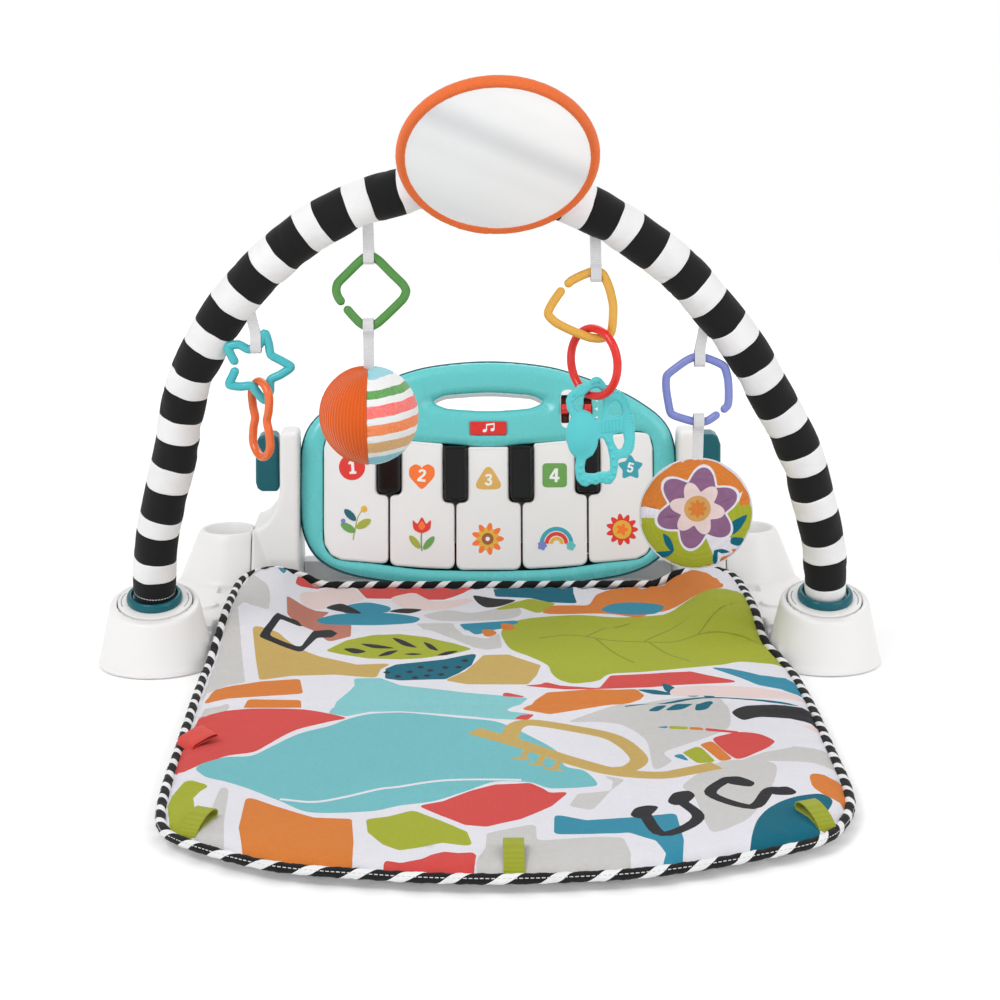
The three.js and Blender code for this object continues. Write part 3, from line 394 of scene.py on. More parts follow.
def tube_points(path, tangents, half_u, half_w, angles, up, radial=1.0):
    """Oval rings along a path. up fixes the section's first axis; radial scales the points."""
    tangents = tangents / np.linalg.norm(tangents, axis=1)[:, None]
    first = arr(up) - tangents * (tangents @ arr(up))[:, None]
    first /= np.linalg.norm(first, axis=1)[:, None]
    second = np.cross(tangents, first)
    half_u = np.broadcast_to(arr(half_u), (len(path),))[:, None]
    half_w = np.broadcast_to(arr(half_w), (len(path),))[:, None]
    return (path[:, None] + first[:, None] * (half_u * np.cos(angles) * radial)[..., None]
            + second[:, None] * (half_w * np.sin(angles) * radial)[..., None]).reshape(-1, 3)


def sweep(path, half_u, half_w, sides, closed=False, up=(0, 1, 0)):
    """Oval bar along a path, capped if open."""
    path = arr(path)
    count = len(path)
    angles = np.arange(sides) / sides * 2 * math.pi
    verts = tube_points(path, path_tangents(path, closed), half_u, half_w, angles, up)
    faces = grid_faces(count, sides, closed, True).tolist()
    if not closed:
        faces.append(list(range(sides))[::-1])
        faces.append(list(range((count - 1) * sides, count * sides)))
    return verts, faces


def uv_tube(path, half_u, half_w, sides, closed=False, up=(0, 1, 0), radial=1.0, along=None):
    """Uncapped oval tube with a seam column, so that its UV (along, around) is continuous."""
    path = arr(path)
    tangents = path_tangents(path, closed)
    if closed:
        path = np.vstack([path, path[:1]])
        tangents = np.vstack([tangents, tangents[:1]])
    count, columns = len(path), sides + 1
    angles = np.arange(columns) / sides * 2 * math.pi
    verts = tube_points(path, tangents, half_u, half_w, angles, up, radial)
    along = running_length(path) if along is None else along
    uv = np.stack([np.repeat(along, columns), np.tile(np.arange(columns) / sides, count)], 1)
    return (verts, grid_faces(count, columns).tolist()), uv


def soft_plate(outline, y_front, y_back, radius, steps, back_radius=None):
    """Plate with its outline in X and Z and its thickness along Y, with rounded edges."""
    outline = anticlockwise(arr(outline))
    back_radius = radius if back_radius is None else back_radius

    def rounding(r, k):
        angle = k / steps * math.pi / 2
        return r * (1 - math.cos(angle)), r * (1 - math.sin(angle))

    rows = []  # y, inset
    for k in range(steps + 1):
        depth, inset = rounding(radius, k)
        rows.append((y_front + depth, inset))
    if back_radius > 0:
        for k in range(steps, -1, -1):
            depth, inset = rounding(back_radius, k)
            rows.append((y_back - depth, inset))
    else:
        rows.append((y_back, 0))
    verts = []
    count = len(outline)
    for y, inset in rows:
        ring = offset(outline, inset) if inset > 1e-9 else outline
        verts += [[x, y, z] for x, z in ring]
    faces = grid_faces(len(rows), count, wrap_columns=True).tolist()
    faces.append(list(range(count))[::-1])
    faces.append([(len(rows) - 1) * count + i for i in range(count)])
    return arr(verts), faces


# half section of a band: share of half width, share of half thickness
RIBBON_SECTION = [(-1, -0.55), (-0.97, -1), (-0.5, -1), (0, -1), (0.5, -1), (0.97, -1), (1, -0.55),
                  (1, 0.55), (0.97, 1), (0.5, 1), (0, 1), (-0.5, 1), (-0.97, 1), (-1, 0.55)]


def ribbon(path, across, width, thick):
    """Flat band along its mid line; across is the direction of its width."""
    path = arr(path)
    count, columns = len(path), len(RIBBON_SECTION)
    along = np.gradient(path, axis=0)
    along /= np.linalg.norm(along, axis=1)[:, None] + 1e-9
    across = arr(across)
    across = np.broadcast_to(across / np.linalg.norm(across), (count, 3))
    normal = np.cross(along, across)
    normal /= np.linalg.norm(normal, axis=1)[:, None]
    verts = np.stack([path + across * (width / 2) * a + normal * (thick / 2) * b
                      for a, b in RIBBON_SECTION], 1).reshape(-1, 3)
    faces = grid_faces(count, columns, wrap_columns=True)[:, [0, 3, 2, 1]].tolist()
    faces.append(list(range(columns)))
    faces.append(list(range((count - 1) * columns, count * columns))[::-1])
    return verts, faces


def join(*parts):
    verts, faces, base = [], [], 0
    for part_verts, part_faces in parts:
        verts.append(arr(part_verts))
        faces += [[i + base for i in face] for face in part_faces]
        base += len(part_verts)
    return np.concatenate(verts), faces


def both_faces(front, front_faces, back, back_faces):
    """Two cloth faces as one mesh, the second with its faces reversed."""
    return join((front, front_faces), (back, [face[::-1] for face in back_faces]))


def both_sides(shape):
    """The shape mirrored left to right."""
    verts, faces = shape
    return arr(verts) * [-1, 1, 1], [face[::-1] for face in faces]


def turn_z(points, degrees, origin):
    cos, sin = math.cos(degrees * RAD), math.sin(degrees * RAD)
    return np.stack([points[:, 0] * cos - points[:, 1] * sin,
                     points[:, 0] * sin + points[:, 1] * cos, points[:, 2]], 1) + arr(origin)


def regions(boundary, spacing, shapes, margin=2.5):
    """Triangles of a printed cloth panel, with the number of the topmost shape on each."""
    boundary = anticlockwise(arr(boundary))
    low, high = boundary.min(0), boundary.max(0)
    gx, gy = np.meshgrid(np.arange(low[0], high[0], spacing),
                         np.arange(low[1], high[1], spacing), indexing="ij")
    gx = gx + (np.arange(gy.shape[1]) % 2)[None, :] * spacing / 2
    inside = poly_dist(gx, gy, boundary) < -margin
    loops = [boundary] + [anticlockwise(arr(shape)) for shape in shapes]
    outlines, base = [], 0
    for loop in loops:
        outlines.append(list(range(base, base + len(loop))))
        base += len(loop)
    points = np.concatenate(loops + [np.stack([gx[inside], gy[inside]], 1)])
    verts, _, faces, _, _, origins = delaunay_2d_cdt(
        [Vector(p) for p in points], [], outlines, 1, 1e-3, True)
    verts = np.array([[p[0], p[1]] for p in verts])
    triangles, ids = [], []
    for face, origin in zip(faces, origins):
        if 0 in origin:
            triangles.append(list(face))
            ids.append(max(origin))
    a, b, c = (verts[[t[k] for t in triangles]] for k in range(3))
    area = (b[:, 0] - a[:, 0]) * (c[:, 1] - a[:, 1]) - (b[:, 1] - a[:, 1]) * (c[:, 0] - a[:, 0])
    triangles = [t if size > 0 else t[::-1] for t, size in zip(triangles, area)]
    used = np.unique(arr(triangles).astype(int))
    renumber = {int(k): i for i, k in enumerate(used)}
    return verts[used], [[renumber[k] for k in t] for t in triangles], ids


# ------------------------------------------------------------- making objects
MATERIALS = {}


def make(name, shape, material, body, slot=None, node=None, *, place=None, shift=None, uv=None,
         face_slots=None, sharp=None, smooth=True, weighted=False):
    """Mesh object riding a body; material is one name or a list of them."""
    verts, faces = shape
    verts = arr(verts)
    if place is not None:
        verts = place(verts)
    if shift is not None:
        verts = verts + arr(shift)
    mesh = bpy.data.meshes.new(name)
    mesh.from_pydata((verts * MM).tolist(), [], faces)
    mesh.validate()
    for key in ([material] if isinstance(material, str) else material):
        mesh.materials.append(MATERIALS[key])
    if face_slots is not None:
        mesh.polygons.foreach_set("material_index", np.asarray(face_slots, np.int32))
    mesh.polygons.foreach_set("use_smooth", np.full(len(mesh.polygons), smooth))
    if uv is not None:
        layer = mesh.uv_layers.new(name="UVMap")
        index = np.zeros(len(mesh.loops), np.int32)
        mesh.loops.foreach_get("vertex_index", index)
        layer.data.foreach_set("uv", arr(uv)[index].astype(np.float32).ravel())
    mesh.update()
    if sharp is not None:
        mesh.set_sharp_from_angle(angle=sharp * RAD)
    ob = bpy.data.objects.new(name, mesh)
    bpy.context.scene.collection.objects.link(ob)
    if weighted:
        modifier = ob.modifiers.new("flat_faces", "WEIGHTED_NORMAL")
        modifier.keep_sharp = True
        modifier.weight = 100
    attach(ob, body)
    if node:
        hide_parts(node)
    return ob


def make_pair(name, left, material, body, node, **options):
    """A left part and its mirror image; {} in body stands for the side."""
    for side, shape in (("left", left), ("right", both_sides(left))):
        make(f"{name}_{side}", shape, material, body.format(side), material, f"{node}_{side}",
             **options)


def weld(ob, distance=2e-6):
    """Merges vertices closer than distance, in metres."""
    bm = bmesh.new()
    bm.from_mesh(ob.data)
    bmesh.ops.remove_doubles(bm, verts=bm.verts[:], dist=distance)
    bm.to_mesh(ob.data)
    bm.free()
    ob.data.update()


# ------------------------------------------------------------------ materials
def linear(code):
    channels = [int(code[i:i + 2], 16) / 255 for i in (1, 3, 5)]
    return tuple(c / 12.92 if c <= 0.04045 else ((c + 0.055) / 1.055) ** 2.4 for c in channels)


def shade(color, gain):
    return tuple(min(1, c * gain) for c in color)


SOCKETS = {"color": "Base Color", "rough": "Roughness", "metal": "Metallic", "normal": "Normal",
           "sheen": "Sheen Weight", "sheen_rough": "Sheen Roughness", "coat": "Coat Weight",
           "coat_rough": "Coat Roughness", "spec": "Specular IOR Level",
           "sss": "Subsurface Weight", "sss_scale": "Subsurface Scale"}
MIX_FACTOR, MIX_A, MIX_B, MIX_RESULT = 0, 6, 7, 2  # colour sockets of the Mix node


class Material:
    """Principled material under construction, kept in MATERIALS by name."""

    def __init__(self, name):
        material = bpy.data.materials.new(name)
        material.use_nodes = True
        self.tree = material.node_tree
        self.bsdf = self.tree.nodes["Principled BSDF"]
        MATERIALS[name] = material

    def node(self, kind, **settings):
        node = self.tree.nodes.new(kind)
        for key, value in settings.items():
            setattr(node, key, value)
        return node

    def feed(self, socket, value):
        """Sets a number or colour on a socket, or links an output to it."""
        if isinstance(value, (int, float)):
            socket.default_value = value
        elif isinstance(value, tuple):
            socket.default_value = (*value, 1)
        else:
            self.tree.links.new(value, socket)

    def coord(self, which="Object"):
        return self.node("ShaderNodeTexCoord").outputs[which]

    def uv(self):
        """The UV's length and angle outputs."""
        split = self.node("ShaderNodeSeparateXYZ")
        self.feed(split.inputs[0], self.coord("UV"))
        return split.outputs[0], split.outputs[1]

    def noise(self, source, scale, detail=2.0):
        node = self.node("ShaderNodeTexNoise")
        node.inputs["Scale"].default_value = scale
        node.inputs["Detail"].default_value = detail
        node.inputs["Roughness"].default_value = 0.5
        self.feed(node.inputs["Vector"], source)
        return node.outputs["Fac"]

    def bands(self, source, direction, pitch, **settings):
        """Sine bands; pitch is in metres and settings are the wave's own inputs."""
        node = self.node("ShaderNodeTexWave", wave_type="BANDS", bands_direction=direction,
                         wave_profile="SIN")
        node.inputs["Scale"].default_value = 2 * math.pi / (20 * pitch)
        for key, value in settings.items():
            node.inputs[key.replace("_", " ")].default_value = value
        self.feed(node.inputs["Vector"], source)
        return node.outputs["Fac"]

    def weave(self, source, pitch):
        """Height of a plain weave, from bands both ways."""
        warp, weft = (self.bands(source, direction, pitch, Distortion=0.6, Detail=1.0,
                                 Detail_Scale=0.6) for direction in "XY")
        return self.math("MULTIPLY", warp, weft)

    def math(self, operation, first, second=None, clamp=False):
        node = self.node("ShaderNodeMath", operation=operation, use_clamp=clamp)
        self.feed(node.inputs[0], first)
        if second is not None:
            self.feed(node.inputs[1], second)
        return node.outputs[0]

    def mix(self, factor, first, second, mode="MIX"):
        node = self.node("ShaderNodeMix", data_type="RGBA", blend_type=mode)
        self.feed(node.inputs[MIX_FACTOR], factor)
        self.feed(node.inputs[MIX_A], first)
        self.feed(node.inputs[MIX_B], second)
        return node.outputs[MIX_RESULT]

    def remap(self, value, span, to):
        node = self.node("ShaderNodeMapRange")
        self.feed(node.inputs[0], value)
        for i, limit in enumerate((*span, *to)):
            node.inputs[i + 1].default_value = limit
        return node.outputs[0]

    def bump(self, height, strength, distance, under=None):
        node = self.node("ShaderNodeBump")
        node.inputs["Strength"].default_value = strength
        node.inputs["Distance"].default_value = distance
        self.feed(node.inputs["Height"], height)
        if under is not None:
            self.feed(node.inputs["Normal"], under)
        return node.outputs["Normal"]

    def stitches(self, across, along, at, half_width, per_unit, filled):
        """Mask of a dashed thread line."""
        on_line = self.math("LESS_THAN", self.math("ABSOLUTE", self.math("SUBTRACT", across, at)),
                            half_width)
        dash = self.math("LESS_THAN", self.math("FRACT", self.math("MULTIPLY", along, per_unit)),
                         filled)
        return self.math("MULTIPLY", on_line, dash)

    def set(self, **values):
        for key, value in values.items():
            self.feed(self.bsdf.inputs[SOCKETS[key]], value)


def plastic(name, code, rough, coat=0.0, grain=0.06, metal=0.0, sss=0.0, spec=0.5):
    m = Material(name)
    color = linear(code)
    place = m.coord()
    broad = m.noise(place, scale=9)
    fine = m.noise(place, scale=900)
    m.set(color=m.mix(broad, shade(color, 0.985), shade(color, 1.012)),
          rough=m.remap(m.noise(place, scale=60), span=(0.3, 0.7), to=(rough - 0.01, rough + 0.012)),
          normal=m.bump(fine, strength=grain * 0.4, distance=0.0006), coat=coat, coat_rough=0.1,
          metal=metal, spec=spec)
    if sss:
        m.set(sss=sss, sss_scale=0.004)


def fabric(name, code, pitch, sheen=0.25, variation=0.09):
    m = Material(name)
    place = m.coord()
    color = linear(code)
    threads = m.weave(place, pitch)
    mottle = m.noise(place, scale=260, detail=3)
    base = m.mix(m.noise(place, scale=14, detail=3), shade(color, 1 - variation),
                 shade(color, 1 + variation * 0.6))
    # painted shade between the threads: the low parts of the weave are darker
    dark = m.mix(m.remap(threads, span=(0, 1), to=(0.16, 0.0)), base, (0, 0, 0))
    lit = m.mix(m.remap(mottle, span=(0.35, 0.65), to=(0.0, 0.10)), dark, (1, 1, 1), "SOFT_LIGHT")
    lumps = m.bump(m.noise(m.coord(), scale=55, detail=3), strength=0.5, distance=0.0016)
    m.set(color=lit, rough=m.remap(mottle, span=(0.3, 0.7), to=(0.82, 0.94)),
          normal=m.bump(threads, strength=0.35, distance=0.0006, under=lumps), sheen=sheen,
          sheen_rough=0.5, spec=0.25)


def sleeve_stripes():
    """Black and white knit; UV length counts stripe pairs along the arch."""
    black_share = 0.57
    m = Material("sleeve_stripes")
    length, angle = m.uv()
    place = m.coord()
    wobble = m.remap(m.noise(place, scale=38, detail=1), span=(0.3, 0.7), to=(-0.02, 0.02))
    stripe = m.math("FRACT", m.math("ADD", length, wobble))
    black = m.math("LESS_THAN", stripe, black_share)
    # seam at each change of colour
    seam = m.math("MINIMUM", m.math("ABSOLUTE", m.math("SUBTRACT", stripe, black_share)),
                  m.math("MINIMUM", stripe, m.math("SUBTRACT", 1.0, stripe)))
    groove = m.remap(seam, span=(0.0, 0.035), to=(0.0, 1.0))
    knit = m.weave(place, 0.0009)
    tone = m.noise(place, scale=30, detail=3)
    color = m.mix(black, m.mix(tone, linear("#DCDCDD"), linear("#F4F4F4")),
                  m.mix(tone, linear("#101010"), linear("#1E1E1F")))
    thread = m.stitches(length, angle, at=0.24, half_width=0.009, per_unit=44.0, filled=0.72)
    color = m.mix(thread, color, linear("#C9C9C9"))
    hem = m.math("LESS_THAN", length, 0.055)
    color = m.mix(hem, color, linear("#C8C8C8"))
    lumps = m.bump(m.noise(place, scale=60, detail=3), strength=0.35, distance=0.0015)
    grooved = m.bump(groove, strength=0.5, distance=0.0007, under=lumps)
    m.set(color=color, rough=m.remap(tone, span=(0.3, 0.7), to=(0.8, 0.95)),
          normal=m.bump(knit, strength=0.3, distance=0.0005, under=grooved), sheen=0.08, spec=0.2)


def piping_stripes():
    """Slanted black and white stripes; UV length counts stripe pairs."""
    m = Material("piping_stripes")
    length, angle = m.uv()
    place = m.coord()
    slant = m.math("ADD", m.math("MULTIPLY", length, 1.0), m.math("MULTIPLY", angle, 0.95))
    wobble = m.remap(m.noise(place, scale=22, detail=1), span=(0.3, 0.7), to=(-0.06, 0.06))
    black = m.math("LESS_THAN", m.math("FRACT", m.math("ADD", slant, wobble)), 0.64)
    tone = m.noise(place, scale=40, detail=3)
    color = m.mix(black, m.mix(tone, linear("#D9D9DB"), linear("#F3F3F3")),
                  m.mix(tone, linear("#121213"), linear("#222223")))
    thread = m.stitches(angle, length, at=0.67, half_width=0.014, per_unit=9.0, filled=0.66)
    color = m.mix(thread, color, linear("#CFCFCF"))
    threads = m.weave(place, 0.0009)
    lumps = m.bump(m.noise(place, scale=120), strength=0.5, distance=0.001)
    m.set(color=color, rough=0.88, sheen=0.06, spec=0.2,
          normal=m.bump(threads, strength=0.35, distance=0.0005, under=lumps))


def webbing(name, code, rib):
    m = Material(name)
    place = m.coord()
    color = linear(code)
    ribs = m.bands(place, "Z", rib, Distortion=1.2, Detail_Scale=3.0)
    threads = m.weave(place, 0.0010)
    height = m.math("ADD", m.math("MULTIPLY", ribs, 0.6), m.math("MULTIPLY", threads, 0.4))
    tone = m.mix(m.noise(place, scale=60), shade(color, 0.92), shade(color, 1.03))
    # painted shade in the grooves between the ribs and threads
    m.set(color=m.mix(m.remap(height, span=(0, 1), to=(0.16, 0.0)), tone, (0, 0, 0)), rough=0.82,
          normal=m.bump(height, strength=0.5, distance=0.0005), sheen=0.15, spec=0.25)


def mirror_film():
    """Silver film with a painted reflection: near white, with a slanted dark streak, darker cloudy
    bands and a darker side; distances across it are in metres.
    """
    slant = 0.42
    # place and width of the painted reflection's dark streak, across the film
    reflected_streak_at, reflected_streak_width = 0.4386, 0.0105
    m = Material("mirror_film")
    place = m.coord()
    dot = m.node("ShaderNodeVectorMath", operation="DOT_PRODUCT")
    m.feed(dot.inputs[0], place)
    dot.inputs[1].default_value = (math.sin(slant), 0, math.cos(slant))
    across = dot.outputs["Value"]
    # noise for the darker cloudy bands of the painted reflection
    soft = m.node("ShaderNodeTexNoise", noise_dimensions="1D")
    soft.inputs["Scale"].default_value = 26.0
    soft.inputs["Detail"].default_value = 1.0
    m.feed(soft.inputs["W"], across)
    off = m.math("DIVIDE", m.math("SUBTRACT", across, reflected_streak_at), reflected_streak_width)
    # bell curve, e to the minus square
    reflected_streak = m.math("POWER", 2.718, m.math("MULTIPLY", m.math("MULTIPLY", off, off), -1.0))
    # painted reflection: darker towards one side, and darker cloudy bands across the film
    low = m.remap(across, span=(0.372, 0.46), to=(0.30, 0.0))
    reflected_cloud = m.remap(soft.outputs["Fac"], span=(0.4, 0.7), to=(0.0, 0.16))
    # all the painted reflection's darkening, mixed from white towards grey
    dark = m.math("ADD", m.math("MULTIPLY", reflected_streak, 0.38), m.math("ADD", low, reflected_cloud), clamp=True)
    m.set(color=m.mix(dark, linear("#FFFFFF"), linear("#B9BBC1")),
          metal=m.remap(m.noise(place, scale=20, detail=1), span=(0.3, 0.7), to=(0.04, 0.07)),
          rough=m.remap(m.noise(place, scale=90, detail=3), span=(0.3, 0.7), to=(0.34, 0.42)),
          coat=0.2, coat_rough=0.25)


BALL_RIBS = 84  # corduroy ribs to a full turn


def ball_corduroy():
    m = Material("ball_corduroy")
    longitude, _ = m.uv()
    place = m.coord()
    wave = m.math("SINE", m.math("MULTIPLY", longitude, 2 * math.pi * BALL_RIBS))
    rib = m.remap(wave, span=(-1, 1), to=(0, 1))
    color = linear("#E0601F")
    tone = m.noise(place, scale=70, detail=4)
    # painted shade in the grooves between the corduroy ribs
    m.set(color=m.mix(m.remap(rib, span=(0, 1), to=(0.0, 1.0)), shade(color, 0.88),
                      m.mix(tone, shade(color, 0.95), shade(color, 1.10))), rough=0.92,
          normal=m.bump(rib, strength=0.35, distance=0.0012,
                        under=m.bump(m.noise(place, scale=700), strength=0.5, distance=0.0006)),
          sheen=0.5, sheen_rough=0.4, spec=0.2)


# start of each stripe up the ball (share of its height), colour
BALL_BANDS = [(0.0, "#8A9A3C"), (0.02, "#ECECEC"), (0.07, "#74C3D6"), (0.165, "#ECECEC"),
              (0.215, "#D8A566"), (0.325, "#ECECEC"), (0.40, "#F5813C"), (0.51, "#ECECEC"),
              (0.58, "#F76D66"), (0.695, "#ECECEC"), (0.76, "#4E9A3D"), (0.835, "#ECECEC"),
              (0.93, "#8FD0DC")]


def ball_stripes():
    m = Material("ball_stripes")
    _, height = m.uv()
    place = m.coord()
    ramp_node = m.node("ShaderNodeValToRGB")
    stops = ramp_node.color_ramp
    stops.interpolation = "CONSTANT"
    for i, (start, code) in enumerate(BALL_BANDS):
        stop = stops.elements[i] if i < 2 else stops.elements.new(start)
        stop.position = start
        stop.color = (*linear(code), 1)
    wobble = m.remap(m.noise(place, scale=90), span=(0.3, 0.7), to=(-0.006, 0.006))
    m.feed(ramp_node.inputs[0], m.math("ADD", height, wobble))
    threads = m.weave(place, 0.0008)
    fuzz = m.remap(m.noise(place, scale=500), span=(0.3, 0.7), to=(0.0, 0.12))
    lumps = m.bump(m.noise(place, scale=160, detail=3), strength=0.5, distance=0.0012)
    m.set(color=m.mix(fuzz, ramp_node.outputs[0], (1, 1, 1)), rough=0.92,
          normal=m.bump(threads, strength=0.4, distance=0.0005, under=lumps), sheen=0.3, spec=0.2)


# name, colour, roughness, other settings
PLASTICS = [
    ("white_shell", "#ECEBEA", 0.36, dict(grain=0.05)),
    ("teal_shell", "#62CBCC", 0.27, dict(coat=0.2)),
    ("teal_back_shell", "#167A82", 0.3, dict(coat=0.1)),
    ("dark_teal_shell", "#005C67", 0.24, dict(coat=0.1, spec=0.3)),
    ("black_key_gloss", "#060607", 0.2, dict(coat=0.12, spec=0.3)),
    ("key_white", "#F1F1F1", 0.26, dict(coat=0.15)),
    ("red_plastic", "#E0231B", 0.28, dict(coat=0.15)),
    # darker red for the slot floors: red plastic with painted shade in the slots
    ("slot_red", "#8E1D18", 0.4, {}),
    ("orange_plastic", "#E8692A", 0.28, dict(coat=0.3)),
    ("green_plastic", "#4A8C3B", 0.3, dict(coat=0.12)),
    ("mustard_plastic", "#DFA93F", 0.3, dict(coat=0.12)),
    ("periwinkle_plastic", "#7A85C8", 0.3, dict(coat=0.12)),
    ("aqua_plastic", "#3FB5BE", 0.3, dict(coat=0.15)),
    ("teether_soft_plastic", "#55C9CE", 0.4, dict(sss=0.1)),
    ("steel_rod", "#B8BCC0", 0.3, dict(metal=0.9)),
    ("tube_metal", "#A8ACB0", 0.38, dict(metal=0.8)),
    ("circuit_board_green", "#1D6B3A", 0.5, {}),
    ("cell_wrap", "#9A8A4A", 0.35, dict(metal=0.4)),
    ("speaker_cone", "#2B2B2E", 0.6, {}),
]
# the slot ink is painted shade, standing for the slots in the socket rings
INKS = {"red": "#E5352C", "orange": "#FF7A2E", "tan": "#E0B25C", "green": "#6BA552",
        "teal": "#35A7B8", "white": "#F5F5F5", "lime": "#A8B23A", "dark": "#12616F",
        "black": "#1B1B1D", "pink": "#F0C4B8", "blue": "#7C88CC", "aqua": "#62C6C8",
        "yellow": "#E9B93C", "brown": "#A45A30", "slot": "#8C8C8E"}
CLOTHS = {"white": "#E9E8EF", "grey": "#CFCDCB", "midteal": "#338EA9", "red": "#D84C48",
          "pink": "#EDD6D3", "terra": "#C07A68", "charcoal": "#29292C", "lime": "#A7AF30",
          "darkteal": "#00667C", "mustard": "#CAAA61", "orange": "#DC7F36",
          "lightaqua": "#86CBD0", "aqua": "#74C0C7", "dklime": "#8C962A", "mauve": "#8E6488",
          "cream": "#EBDDB8", "blush": "#DFA9A4", "deepred": "#D9432C", "tan": "#D6A35C"}
CLOTH_SLOTS = ["print_" + key for key in CLOTHS]


def build_materials():
    for name, code, rough, options in PLASTICS:
        plastic(name, code, rough, **options)
    for key, code in INKS.items():
        plastic("ink_" + key, code, rough=0.32, coat=0.1)
    sleeve_stripes()
    piping_stripes()
    webbing("white_webbing", "#E2E2E4", rib=0.0014)
    webbing("lime_webbing", "#9FA62B", rib=0.0022)
    mirror_film()
    ball_corduroy()
    ball_stripes()
    fabric("orange_binding", "#EE7136", pitch=0.0009, sheen=0.2)
    fabric("backing_cloth", "#D9D8DA", pitch=0.0012)
    for key, code in CLOTHS.items():
        fabric("print_" + key, code, pitch=0.0011, variation=0.05, sheen=0.03)
    fabric("red_tag_cloth", "#E23A2E", pitch=0.0008)


# ---------------------------------------------------------------- base shells
# radius of each round foot at a height: height, radius
FOOT_PROFILE = arr([[0, 52.5], [4, 52.3], [8, 50.6], [54, 40.6], [64, 38], [90, 32]])
REAR_PROFILE = arr([[0, 57], [4, 56.6], [11, 53.2], [63, 31.5], [67, 29.4], [69.4, 27.2],
                    [70.1, 25.2], [72, 20]])
REAR_TOP = 70.2
DECK = fillet([[-344, 6], [-311, 214], [-237, 214], [-226, 166], [-226, 64], [-256.5, 64],
               [-256.5, 4]], 6)  # left deck seen from above: x, y
DECK_TOP, DECK_BOSS = 22, (-273, 106)
DECK_SLOTS = ((-262, 30, 5.5, 9), (-258, 165, 6.5, 10))  # x, y, half lengths
SHELL_WALL, SHELL_SEAM_X = 4.6, -236.35
BORE, BORE_WALL = 21.4, 26.4  # leg sockets: hole and outer radius
UPRIGHT_IN, UPRIGHT_OUT = -189.8, -235.75
# left upright seen from the child: x, z
UPRIGHT = fillet([[UPRIGHT_IN, 0], [UPRIGHT_IN, 164.5], [-208.6, 164.5], [-208.6, 108],
                  [-210.5, 98], [-215, 86], [-222, 77], [-229, 72], [UPRIGHT_OUT, 70],
                  [UPRIGHT_OUT, 0]], [0, 6, 6, 8, 10, 10, 10, 8, 0, 0])
LATCH = fillet([[-212.6, 103], [-228, 103], [-232.4, 106], [-234, 112], [-233.2, 150],
                [-230, 158.5], [-225, 161], [-214, 161], [-210.8, 158], [-210.2, 150],
                [-210.2, 106.5]], 3.5)  # x, z
# cut section of the ring round each arch socket: radius, height
SOCKET_RING = [[21.5, 0.9], [21.5, -5.8], [33.3, -5.8], [33.3, 0.9], [21.5, 0.9]]


def cone(x, y, z, centre_x, centre_y, profile):
    r = np.sqrt((x - centre_x) ** 2 + (y - centre_y) ** 2)
    return (r - np.interp(z, profile[:, 0], profile[:, 1])) * 0.95


def cylinder(r, height, radius, low, high):
    return np.maximum(r - radius, np.maximum(low - height, height - high))


def rear_foot(x, y, z):
    return smax(cone(x, y, z, -REAR_X, REAR_Y, REAR_PROFILE), z - REAR_TOP, 1.5)


def base_field(x, y, z):
    """Left base shell, open underneath."""
    x, y, z = np.broadcast_arrays(x, y, z)
    up = -y * math.sin(LEAN) + (z - FOOT_TOP) * math.cos(LEAN)
    out = y * math.cos(LEAN) + (z - FOOT_TOP) * math.sin(LEAN)
    leg_r = np.sqrt((x + FOOT_X) ** 2 + out**2)
    rear_r = np.sqrt((x + REAR_X) ** 2 + (y - REAR_Y) ** 2)
    foot = smax(cone(x, y, z, -FOOT_X, 0, FOOT_PROFILE), up, 2.4)
    plan = poly_dist(x[:, :, 0], y[:, :, 0], DECK)[:, :, None]
    deck = smax(np.broadcast_to(plan, x.shape), z - DECK_TOP, 5.0)
    boss_r = np.sqrt((x - DECK_BOSS[0]) ** 2 + (y - DECK_BOSS[1]) ** 2)
    boss = smax(boss_r - 14, z - 25.4, 2.0)
    outer = smin(smin(foot, rear_foot(x, y, z), 3.0), smin(deck, boss, 2.0), 4.5)
    for slot_x, slot_y, half_x, half_y in DECK_SLOTS:
        slot = np.sqrt(np.maximum(np.abs(x - slot_x) - half_x, 0) ** 2
                       + np.maximum(np.abs(y - slot_y) - half_y, 0) ** 2) - 1.2
        outer = smax(outer, -np.maximum(slot, 17.5 - z), 0.8)
    hollow = np.maximum(outer + SHELL_WALL, z - 62)
    hollow = np.maximum(hollow, -(np.maximum(leg_r - BORE_WALL, -44 - up)))
    hollow = np.maximum(hollow, -(np.maximum(rear_r - BORE_WALL, 26 - z)))
    f = np.maximum(np.maximum(outer, -z), -hollow)
    f = np.maximum(f, -cylinder(leg_r, up, BORE, -40, 30))
    f = smax(f, -cylinder(leg_r, up, 34.2, -6.3, 30), 0.5)
    f = np.maximum(f, -cylinder(rear_r, z, BORE, 31, 90))
    flare = np.interp(z, [58, 70.5, 90], [20.5, 25.4, 40])
    f = smax(f, -np.maximum(rear_r - flare, 58 - z), 1.5)
    return np.maximum(f, x - SHELL_SEAM_X)


